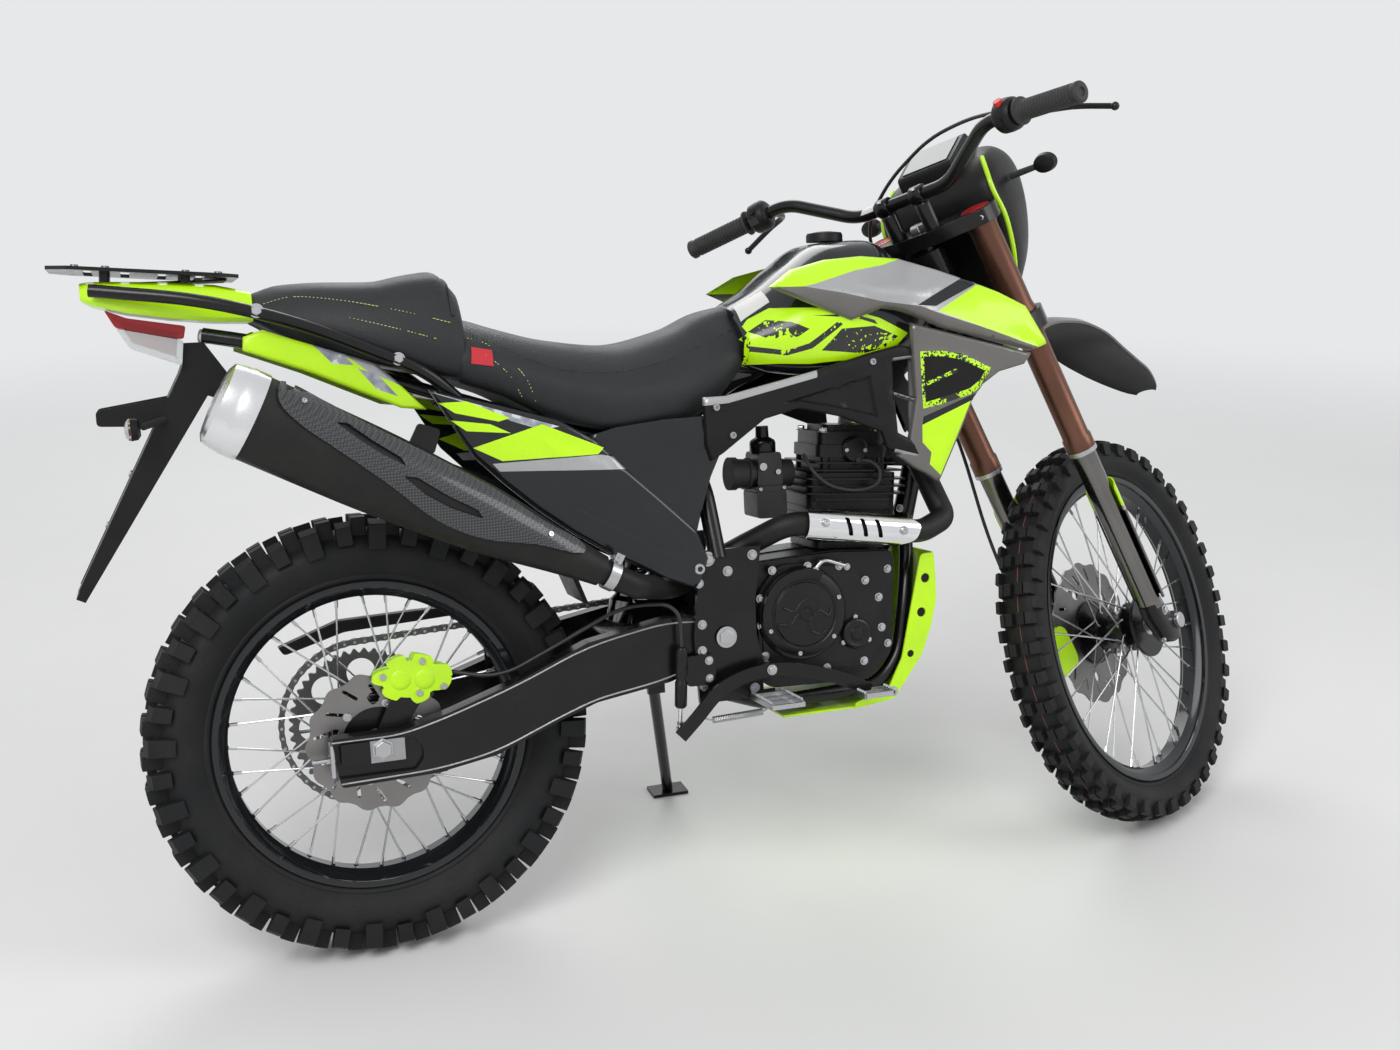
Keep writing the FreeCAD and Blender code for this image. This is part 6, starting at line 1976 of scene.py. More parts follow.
        def lay(u: float, v: float, under: float) -> Vector:
            """Point on the right side of the tank."""
            return skin.side(u, v, Side.RIGHT, 0.0012 - under)

        sheet = ((0.568, 0.868), (0.584, 0.905), (0.612, 0.936), (0.645, 0.952), (0.700, 0.950),
                 (0.765, 0.944), (0.815, 0.930), (0.872, 0.904), (0.850, 0.884), (0.793, 0.868),
                 (0.736, 0.866), (0.700, 0.864), (0.650, 0.867))
        marks = (((0.606, 0.917), (0.634, 0.934), (0.668, 0.930), (0.694, 0.918), (0.676, 0.907),
                  (0.636, 0.905)),
                 ((0.716, 0.884), (0.748, 0.916), (0.806, 0.918), (0.852, 0.900), (0.832, 0.884),
                  (0.790, 0.876)),
                 ((0.588, 0.899), (0.660, 0.887), (0.694, 0.896), (0.742, 0.928), (0.750, 0.923),
                  (0.700, 0.888), (0.662, 0.879), (0.586, 0.891)),
                 ((0.700, 0.938), (0.770, 0.932), (0.812, 0.920), (0.806, 0.927), (0.768, 0.938)))
        decals = wrapped(sheet, lay, 0.001, NEON, marks=[(mark, NEON_ON_BLACK) for mark in marks],
                         step=0.007)
        self.put("fuel_tank_paintwork", shape.join(decals, decals.mirrored()), "fuel_tank",
                 slot=Slot.GLOSS_BLACK)
        label = wrapped(((0.606, 0.050), (0.650, 0.060), (0.650, 0.096), (0.604, 0.088)),
                        lambda u, v, under: skin.top(u, -v, 0.0012 - under), 0.001, WHITE_LABEL)
        self.put("tank_blank_label", label)

    def upper_shrouds(self) -> None:
        """Upper shrouds with a crease from the tank to their tips."""
        heights = [Profile(*[(x, z) for x, _, z in edge])
                   for edge in (self.top_edge, self.crease, self.low_edge)]
        outs = [Profile(*[(x, y) for x, y, _ in edge])
                for edge in (self.top_edge, self.crease, self.low_edge)]

        def out(x: float, z: float) -> float:
            """Distance of the surface from the middle."""
            top, fold, low = (height(x) for height in heights)
            end = 0 if z > fold else 2
            span = (top if z > fold else low) - fold
            part = min(1.0, max(0.0, (z - fold) / span)) if abs(span) > 1e-4 else 0.0
            bulge = 0.004 * math.sin(math.pi * part)
            return outs[1](x) * (1 - part) + outs[end](x) * part + bulge

        outline = [(x, z) for x, _, z in self.top_edge]
        outline += [(x, z) for x, _, z in reversed(self.low_edge[1:-1])]
        band = ((0.60, 0.980), (0.674, 1.030), (0.736, 1.050), (0.880, 1.045), (0.864, 1.021),
                (0.828, 1.012), (0.777, 1.005), (0.700, 0.986), (0.682, 0.983), (0.630, 0.984))
        dark = ((0.969, 0.990), (0.982, 0.976), (0.901, 0.944), (0.868, 0.947))
        tip = ((0.984, 0.975), (1.060, 0.965), (1.120, 0.880), (1.098, 0.860), (1.070, 0.874),
               (0.904, 0.936))
        under = ((0.600, 0.985), *[(x, z) for x, _, z in self.crease], (1.12, 0.84),
                 (0.60, 0.84))
        ridge = ((0.745, 0.990), (0.830, 1.000), (0.930, 0.976), (0.890, 0.958), (0.800, 0.970))
        shape = panel(outline, out, SILVER_PRINT,
                      ((band, NEON), (dark, GLOSS_BLACK), (tip, NEON), (under, GUNMETAL)),
                      lines=([(x, z) for x, _, z in self.crease[1:-1]],),
                      ridges=((ridge, 0.0015, 0.006),), edge=0.005, thick=0.003)
        self.put("upper_shroud_shells", shape.both(), "upper_shrouds", slot=Slot.NEON)

    def lower_shrouds(self) -> None:
        """Lower shrouds with a raised frame and slanted slits."""
        skin = Skin(self.lower_edge)
        frame_out = ((0.880, 0.874), (0.918, 0.873), (0.951, 0.867), (1.000, 0.842),
                     (0.988, 0.816), (0.968, 0.802), (0.911, 0.787), (0.885, 0.783))
        frame_in = ((0.885, 0.866), (0.920, 0.864), (0.947, 0.858), (0.989, 0.838),
                    (0.981, 0.824), (0.963, 0.811), (0.906, 0.797), (0.888, 0.793))
        slit = ((0.889, 0.825), (0.939, 0.844), (0.943, 0.839), (0.890, 0.819))
        wedge = ((0.883, 0.757), (0.966, 0.791), (0.914, 0.674), (0.895, 0.693), (0.898, 0.712),
                 (0.883, 0.729))
        stripe = ((0.885, 0.770), (0.975, 0.803), (0.968, 0.792), (0.883, 0.757))
        shape = panel([(x, z) for x, _, z in self.lower_edge], skin, GUNMETAL,
                      ((slit, NEON_FLECKED), (frame_in, MATTE_BLACK), (frame_out, NEON_FLECKED),
                       (stripe, GLOSS_BLACK), (wedge, NEON)),
                      ridges=((frame_out, 0.003, 0.005), (wedge, 0.002, 0.004)),
                      edge=0.006, thick=0.004)
        self.put("lower_shroud_shells", shape.both(), "lower_shrouds", slot=Slot.GREY)

    def side_covers(self) -> None:
        """Covers below the tank, with three prongs that point forward."""
        def out(x: float, z: float) -> float:
            """Distance of the surface from the middle."""
            return 0.1440 + 0.0025 * math.sin(math.pi * min(1.0, max(0.0, (x - 0.52) / 0.4)))

        recess = ((0.610, 0.800), (0.675, 0.814), (0.796, 0.841), (0.807, 0.774), (0.740, 0.792),
                  (0.673, 0.806))
        prongs = (((0.836, 0.866), (0.865, 0.868), (0.922, 0.862), (0.918, 0.855),
                   (0.865, 0.860), (0.837, 0.858)),
                  ((0.836, 0.812), (0.904, 0.789), (0.897, 0.784), (0.838, 0.805)),
                  ((0.835, 0.722), (0.897, 0.704), (0.897, 0.695), (0.835, 0.712)))
        stripe = ((0.500, 0.822), (0.553, 0.8225), (0.705, 0.8535), (0.704, 0.8425),
                  (0.556, 0.8115), (0.500, 0.8085))
        shape = panel(self.cover_edge, out, MATTE_BLACK,
                      [(prong, ALLOY) for prong in prongs] + [(stripe, SILVER_PRINT)],
                      ridges=((recess, -0.005, 0.004),), edge=0.006, thick=0.004)
        bar = plate(((0.868, 0.861), (0.895, 0.856), (0.887, 0.733), (0.866, 0.740)),
                    -0.1375, -0.1325, GUNMETAL)
        screw = cap_screw(0.0055, 0.004, ALLOY)
        for x, z in ((0.535, 0.806), (0.560, 0.762), (0.800, 0.862)):
            shape.join(screw.at(outward(x, -0.1450, z)))
        self.put("tank_side_cover_shells", shape.join(bar).both(), "tank_side_covers",
                 slot=Slot.MATTE_BLACK)

    def side_panels(self) -> None:
        """Side panels under the seat, with painted stripes."""
        def out(x: float, z: float) -> float:
            """Distance of the surface from the middle."""
            return 0.1425 + 0.003 * math.sin(math.pi * min(1.0, max(0.0, (x - 0.1) / 0.4)))

        grey = ((0.080, 0.862), (0.288, 0.793), (0.260, 0.790), (0.215, 0.806), (0.190, 0.822))
        bars = (((0.112, 0.838), (0.153, 0.838), (0.215, 0.810), (0.198, 0.806), (0.135, 0.822)),
                ((0.128, 0.812), (0.185, 0.803), (0.215, 0.788), (0.150, 0.795)))
        wide = ((0.158, 0.770), (0.262, 0.798), (0.355, 0.757), (0.345, 0.748), (0.200, 0.748))
        silver = ((0.185, 0.745), (0.350, 0.747), (0.382, 0.740), (0.395, 0.722), (0.195, 0.733))
        shape = panel(self.panel_edge, out, GLOSS_BLACK,
                      ((bars[0], NEON), (bars[1], NEON), (wide, NEON), (silver, SILVER_PRINT),
                       (grey, CAMOUFLAGE)),
                      ridges=((((0.260, 0.780), (0.352, 0.742), (0.478, 0.612), (0.488, 0.572),
                                (0.430, 0.590), (0.300, 0.668)), 0.0025, 0.010),),
                      edge=0.007, thick=0.004)
        bolt_head = cap_screw(0.0085, 0.005, STEEL)
        shape.join(bolt_head.at(outward(0.497, -0.1400, 0.560)))
        self.put("side_panel_shells", shape.both(), "side_panels", slot=Slot.GLOSS_BLACK)


# Seat

@dataclass(frozen=True)
class Saddle(Assembly):
    """Two-step seat with its seams, piping and tag."""

    rider: tuple[Section, ...] = (
        Section(0.150, 0.868, 0.905, 0.945, 0.962, 0.120, 0.132, 0.098),
        Section(0.180, 0.858, 0.897, 0.938, 0.955, 0.122, 0.134, 0.098),
        Section(0.215, 0.845, 0.885, 0.928, 0.943, 0.124, 0.1352, 0.098),
        Section(0.300, 0.802, 0.855, 0.904, 0.920, 0.124, 0.1352, 0.095),
        Section(0.400, 0.782, 0.835, 0.890, 0.908, 0.119, 0.1295, 0.085),
        Section(0.500, 0.790, 0.845, 0.905, 0.927, 0.107, 0.1175, 0.074),
        Section(0.560, 0.822, 0.872, 0.930, 0.952, 0.098, 0.108, 0.064),
        Section(0.600, 0.862, 0.895, 0.938, 0.960, 0.088, 0.096, 0.054))
    hump: tuple[Section, ...] = (
        Section(-0.125, 0.965, 0.978, 0.994, 1.008, 0.072, 0.083, 0.060),
        Section(-0.090, 0.945, 0.968, 1.002, 1.018, 0.090, 0.101, 0.076),
        Section(-0.040, 0.925, 0.960, 1.006, 1.020, 0.104, 0.114, 0.086),
        Section(0.040, 0.900, 0.945, 1.004, 1.018, 0.116, 0.127, 0.094),
        Section(0.090, 0.888, 0.932, 1.010, 1.026, 0.120, 0.132, 0.095),
        Section(0.130, 0.878, 0.922, 1.012, 1.030, 0.120, 0.133, 0.093),
        Section(0.158, 0.872, 0.915, 0.985, 1.003, 0.119, 0.132, 0.090))
    piping_x: float = 0.146
    piping_low: float = 0.955

    def build(self) -> None:
        """Make the seat."""
        pad = hull(self.rider, VINYL, 40)
        hump = hull(self.hump, VINYL, 30)
        skins = Hull(pad), Hull(hump)
        shape = Shape().join(pad, hump)
        made = self.put("seat_cover", shape, "seat", subdivide=1, sharp=70, slot=Slot.SEAT)
        trim = Shape()
        for side in Side:
            runs = ((0, ((0.600, 0.925), (0.545, 0.905), (0.480, 0.882), (0.380, 0.868),
                         (0.290, 0.880), (0.215, 0.915), (0.172, 0.935)), DARK_THREAD),
                    (0, ((0.160, 0.930), (0.193, 0.918), (0.242, 0.870), (0.258, 0.832)), STITCH),
                    (0, ((0.180, 0.911), (0.221, 0.871), (0.238, 0.840)), STITCH),
                    (1, ((-0.115, 0.990), (-0.079, 0.998), (-0.009, 0.990), (0.070, 0.972),
                         (0.140, 0.952)), STITCH),
                    (1, ((-0.092, 0.975), (-0.017, 0.968), (0.059, 0.948), (0.117, 0.930)),
                     STITCH))
            for which, line, thread in runs:
                trim.join(self.stitches(skins[which], line, side, thread))
        self.put("seat_stitches", trim)
        ring = Section(self.piping_x, **{
            name: SmoothProfile(*[(s.x, getattr(s, name)) for s in self.hump])(self.piping_x)
            for name in ("low", "middle", "shoulder", "top", "half_low", "half_middle",
                         "half_shoulder")}).ring(6)
        upper = sorted((point for point in ring if point.z > self.piping_low),
                       key=lambda point: point.y)
        piping = tube(upper, 0.0022, VINYL, 8)
        self.put("seat_piping", piping)
        skin = skins[0]
        tag = wrapped(((0.168, 0.915), (0.198, 0.909), (0.197, 0.886), (0.165, 0.892)),
                      lambda u, v, under: skin.side(u, v, Side.RIGHT, 0.0016 - under), 0.0012,
                      RED_TAG)
        self.put("seat_tag", tag)

    def stitches(self, skin: Hull, line: Sequence[Flat], side: Side, finish: Finish) -> Shape:
        """Row of stitches along a line on one side.

        Args:
            skin: surface of the cover.
            line: points of the line as x and z.
            side: side of the machine.
            finish: finish of the thread.

        Returns:
            The stitches.
        """
        made = Shape()
        path = [skin.side(point.x, point.z, side, 0.0008) for point in
                curved([(x, 0.0, z) for x, z in line], 14)]
        pitch, share = 0.0055, 0.7
        spent = 0.0
        for start, end in zip(path, path[1:]):
            length = (end - start).length
            while spent < length:
                first = start.lerp(end, spent / max(length, 1e-6))
                second = start.lerp(end, min(1.0, (spent + pitch * share) / max(length, 1e-6)))
                if (second - first).length > 0.001:
                    made.join(tube((first, second), 0.00055, finish, 5))
                spent += pitch
            spent -= length
        return made


# Front end

def level(outline: Sequence[Flat], low: float, high: float, finish: Finish,
          holes: Sequence = ()) -> Shape:
    """Flat plate seen from above, with holes.

    Args:
        outline: closed outline as x and y.
        low: height of its lower face.
        high: height of its upper face.
        finish: finish of the plate.
        holes: closed outlines cut out of it.

    Returns:
        The plate.
    """
    drawn = Drawing.of(outline, finish, holes)
    return drawn.solid([(x, y, high) for x, y in drawn.points],
                       [(x, y, low) for x, y in drawn.points], True)


def mirror_outline(half: Sequence[Flat]) -> list[Flat]:
    """Close half a plan over the middle line of the machine."""
    return [*half, *[(x, -y) for x, y in reversed(half)]]


@dataclass(frozen=True)
class Fork(SteeredAssembly):
    """Fork legs, clamps, guards, axle, caliper and fender."""

    lead: float = 0.029
    spread: float = 0.096
    axle_lead: float = 0.060
    tube_rad: float = 0.027
    tube_low: float = 0.363
    tube_high: float = 0.826
    stanchion: float = 0.021
    clamp_plan: tuple[Flat, ...] = ((-0.030, 0.03), (-0.004, 0.125), (0.030, 0.134),
                                    (0.062, 0.120), (0.062, 0.068), (0.040, 0.05))

    def build(self, frame: dict) -> None:
        """Make every piece of the fork."""
        self.tubes()
        self.legs()
        self.guards()
        self.clamps()
        self.axle()
        self.caliper()
        self.fender()
        self.maker.dress(frame, HOSE_RUBBER, "front_brake_hose")

    def tubes(self) -> None:
        """Anodised outer tubes with their collars and red adjuster caps."""
        made = Shape()
        rad, low, high = self.tube_rad, self.tube_low, self.tube_high
        tube_line = ((rad - 0.0045, low), (rad - 0.001, low + 0.001), (rad - 0.0008, low + 0.009))
        body_line = ((rad - 0.0016, low + 0.0092), (rad - 0.0016, low + 0.030),
                     (rad - 0.0040, low + 0.034), (rad - 0.0040, 0.585), (rad - 0.0006, 0.596),
                     (rad, 0.600), (rad, 0.632), (rad - 0.0006, 0.636), (rad - 0.0022, 0.645),
                     (rad - 0.0022, 0.790), (rad, 0.798), (rad, high - 0.004),
                     (rad - 0.0015, high - 0.0015))
        cap_line = ((rad - 0.003, high - 0.003), (rad - 0.003, high - 0.0005), (0.019, high),
                    (0.0185, high - 0.0004))
        nut_line = ((0.0135, high - 0.001), (0.0135, high - 0.00005))
        for side in Side:
            spot = upright((self.lead, side.value * self.spread, 0.0))
            made.join(turned_part(tube_line, STEEL, 40).at(spot),
                      turned_part(body_line, BRONZE, 48).at(spot),
                      turned_part(cap_line, RED_METAL, 40).at(spot),
                      turned_part(nut_line, RED_METAL, 6).at(spot))
        self.put("fork_outer_tubes", made, "fork_tubes", slot=Slot.BRONZE)

    def legs(self) -> None:
        """Polished inner legs and the castings that hold the axle."""
        made = Shape()
        for side in Side:
            y = side.value * self.spread
            spot = upright((self.lead, y, 0.0))
            stanchion = ((self.stanchion, 0.05), (self.stanchion, self.tube_low - 0.0005))
            made.join(turned_part(stanchion, DARK_STEEL, 40).at(spot))
            rings = []
            for x, z, half_x, half_y in ((0.029, 0.0595, 0.0235, 0.0175),
                                         (0.029, 0.045, 0.0245, 0.0178),
                                         (0.033, 0.026, 0.0262, 0.0178),
                                         (0.040, 0.010, 0.0285, 0.0176),
                                         (0.0435, -0.006, 0.0285, 0.0172),
                                         (0.047, -0.020, 0.0240, 0.0166),
                                         (0.051, -0.0290, 0.0150, 0.0150),
                                         (0.053, -0.0315, 0.0060, 0.0100)):
                rings.append([(x + half_x * math.copysign(abs(math.cos(t)) ** 0.7, math.cos(t)),
                               y + half_y * math.copysign(abs(math.sin(t)) ** 0.6, math.sin(t)), z)
                              for t in (2 * math.pi * step / 32 for step in range(32))])
            made.join(loft(rings, BLACK_PAINT))
            boss = turned_part(((0.0155, -0.0178), (0.0178, -0.0165), (0.0180, 0.0),
                                (0.0178, 0.0165), (0.0155, 0.0178)), BLACK_PAINT, 32)
            made.join(boss.at(Matrix.Translation((self.axle_lead, y, 0.0))))
            pinch = cap_screw(0.0045, 0.004, STEEL)
            for z in (0.012, -0.012):
                made.join(pinch.at(facing((0.0175, y + side.value * 0.004, z), (-1, 0, 0))))
            made.join(bolt(0.0065, 0.005, STEEL).at(facing((0.036, y + side.value * 0.0172, 0.036),
                                                           (0, side.value, 0))))
        self.put("fork_inner_legs", made, "fork_legs", bevel=0.0006, slot=Slot.BRIGHT_STEEL)

    def guards(self) -> None:
        """Half-round guards in front of the inner legs."""
        made = Shape()
        rad = 0.0288
        for side in Side:
            y = side.value * self.spread

            def place(u: float, v: float, under: float, y: float = y) -> Vector:
                """Point around the leg from an arc length and a height."""
                turn = u / rad
                return Vector((self.lead + (rad - under) * math.cos(turn),
                               y + (rad - under) * math.sin(turn), v))
            reach = rad * math.radians(88)
            outline = rounded(((-reach, 0.0615), (reach, 0.0615), (reach, 0.288), (0.020, 0.2985),
                               (-0.020, 0.2985), (-reach, 0.288)), 0.008, 3)
            top = ((-0.05, 0.252), (0.0, 0.238), (0.05, 0.252), (0.05, 0.31), (-0.05, 0.31))
            strip = ((-0.05, 0.243), (0.0, 0.229), (0.05, 0.243), (0.05, 0.252), (0.0, 0.238),
                     (-0.05, 0.252))
            made.join(wrapped(outline, place, 0.0026, BLACK_PAINT,
                              marks=((top, NEON), (strip, SILVER_PRINT)), step=0.006))
        self.put("fork_leg_guards", made, "fork_guards", slot=Slot.MATTE_BLACK)

    def clamps(self) -> None:
        """Upper and lower clamps with their bolts, the stem nut and the key switch."""
        plan = rounded(mirror_outline(self.clamp_plan), 0.010, 3)
        holes = [circle((self.lead, side.value * self.spread), self.tube_rad + 0.0003, 36)
                 for side in Side]
        made = level(plan, 0.600, 0.632, BLACK_PAINT, holes)
        made.join(level(plan, 0.800, 0.825, BLACK_PAINT, holes))
        made.join(rod((0, 0, 0.62), (0, 0, 0.81), 0.015, BLACK_PAINT))
        made.join(turned_part(((0.016, 0.825), (0.016, 0.8345), (0.0135, 0.8373)), STEEL, 6)
                  .at(upright((0, 0, 0))))
        made.join(turned_part(((0.0125, 0.825), (0.0125, 0.8320), (0.0095, 0.8345),
                               (0.0040, 0.8345)), STEEL, 28).at(upright((0.040, 0.0, 0.0))))
        pinch = cap_screw(0.0048, 0.005, STEEL)
        for side in Side:
            for z in (0.609, 0.623, 0.8125):
                made.join(pinch.at(facing((0.0615, side.value * 0.092, z), (1, 0, 0))))
                made.join(pinch.at(facing((0.0, side.value * 0.1185, z), (-1, 0.0, 0))))
        self.put("fork_clamp_set", made, "triple_clamps", bevel=0.0022, slot=Slot.BLACK_ALLOY)

    def axle(self) -> None:
        """Front axle with spacers, end nut and bolt head."""
        made = Shape()
        out = self.spread + 0.018
        made.join(rod((0, -out - 0.0088, 0), (0, out + 0.0088, 0), 0.0084, STEEL, 32))
        for side in Side:
            sign = side.value
            line = ((0.0135, sign * 0.0635), (0.0138, sign * 0.0648), (0.0138, sign * 0.0765),
                    (0.0125, sign * 0.0775))
            made.join(turned_part(line if sign > 0 else line[::-1], STEEL, 32))
            head = ((0.0138, 0.0), (0.0138, 0.0070), (0.0120, 0.0084), (0.0060, 0.0084))
            made.join(turned_part(head, STEEL, 6 if sign > 0 else 28)
                      .at(facing((0, sign * (out + 0.0003), 0), (0, sign, 0))))
        self.maker.piece("front_axle_set", made, self.rig.front, Body.STEERING, ("front_axle",),
                         bevel=0.0005, segments=1, slot=Slot.BRIGHT_STEEL)

    def caliper(self) -> None:
        """Two-piston caliper with its bracket, behind the left leg."""
        outline = rounded(((-0.098, 0.004), (-0.086, -0.005), (-0.040, -0.005), (-0.032, 0.008),
                           (-0.033, 0.064), (-0.046, 0.079), (-0.080, 0.080), (-0.096, 0.066)),
                          0.010, 4)
        made = plate(outline, 0.0655, 0.087, BLACK_PAINT)
        made.join(plate(outline, 0.045, 0.0525, NEON_METAL))
        for z in (0.020, 0.055):
            made.join(turned_part(((0.0145, 0.0), (0.0140, 0.0008)), STEEL, 28)
                      .at(outward(-0.064, 0.0868, z)))
        bridge = block((-0.097, 0.050, 0.030), (-0.086, 0.066, 0.050), BLACK_PAINT)
        arm = plate(((-0.05, 0.005), (0.0074, 0.010), (0.0074, 0.048), (-0.05, 0.050)), 0.0787,
                    0.0877, BLACK_PAINT)
        screws = Shape()
        for z in (0.014, 0.044):
            screws.join(bolt(0.0055, 0.004, STEEL, False).at(outward(-0.004, 0.0838, z)))
        screws.join(turned_part(((0.0065, 0.0), (0.0065, 0.006)), STEEL, 6)
                    .at(upright((-0.060, 0.0685, 0.0755))))
        self.put("front_caliper_body", made.join(bridge, arm, screws), "front_caliper",
                 bevel=0.0018, slot=Slot.BLACK_ALLOY)

    def fender(self) -> None:
        """High fender with a raised spine, painted at its root."""
        top = SmoothProfile((-0.010, 0.588), (0.060, 0.5925), (0.150, 0.585), (0.250, 0.547),
                            (0.321, 0.495), (0.366, 0.443), (0.430, 0.375), (0.502, 0.286))
        wide = SmoothProfile((-0.010, 0.049), (0.100, 0.062), (0.300, 0.0695), (0.430, 0.0575),
                             (0.485, 0.036), (0.502, 0.020))
        spine = (0.0, 0.30, 0.62, 0.86, 1.0)
        drops = (0.0, 0.0012, 0.0045, 0.0100, 0.0190)
        outer, count = [], 46
        for step in range(count + 1):
            x = 0.005 + (0.5005 - 0.005) * step / count
            row = []
            for sign, parts in ((-1, reversed(range(1, 5))), (1, range(5))):
                for part in parts:
                    fall = drops[part] * min(1.0, (0.515 - x) / 0.12 + 0.15)
                    row.append(Vector((x, sign * wide(x) * spine[part], top(x) - 0.001 - fall)))
            outer.append(row)
        made = Shape()
        across = len(outer[0])
        for thick in (0.0, 0.003):
            made.points += [Vector((p.x - thick * 0.5, p.y * (1 - thick * 8), p.z - thick * 1.1))
                            for row in outer for p in row]
        size = across * (count + 1)
        for step in range(count):
            for part in range(across - 1):
                a, b = step * across + part, step * across + part + 1
                quad = (a, a + across, b + across, b)
                made.faces += [quad, tuple(size + i for i in reversed(quad))]
                x = outer[step][part].x
                ink = NEON if x < 0.110 else GUNMETAL
                made.finishes += [ink, MATTE_BLACK]
        edges = [[step * across for step in range(count + 1)],
                 [step * across + across - 1 for step in reversed(range(count + 1))],
                 list(reversed(range(across))),
                 [count * across + part for part in range(across)]]
        for line in edges:
            for a, b in zip(line, line[1:]):
                made.faces.append((a, b, size + b, size + a))
                made.finishes.append(GUNMETAL)
        screw = cap_screw(0.0055, 0.0030, STEEL)
        for side in Side:
            for x, y in ((0.030, 0.030), (0.085, 0.036)):
                made.join(screw.at(facing((x, side.value * y, top(x) - 0.0035), (0.02, 0.05, 1))))
        made.join(rod((self.lead, 0, 0.5765), (self.lead, 0, 0.5995), 0.0138, MATTE_BLACK))
        self.put("front_fender_shell", made, "front_fender", slot=Slot.GREY)


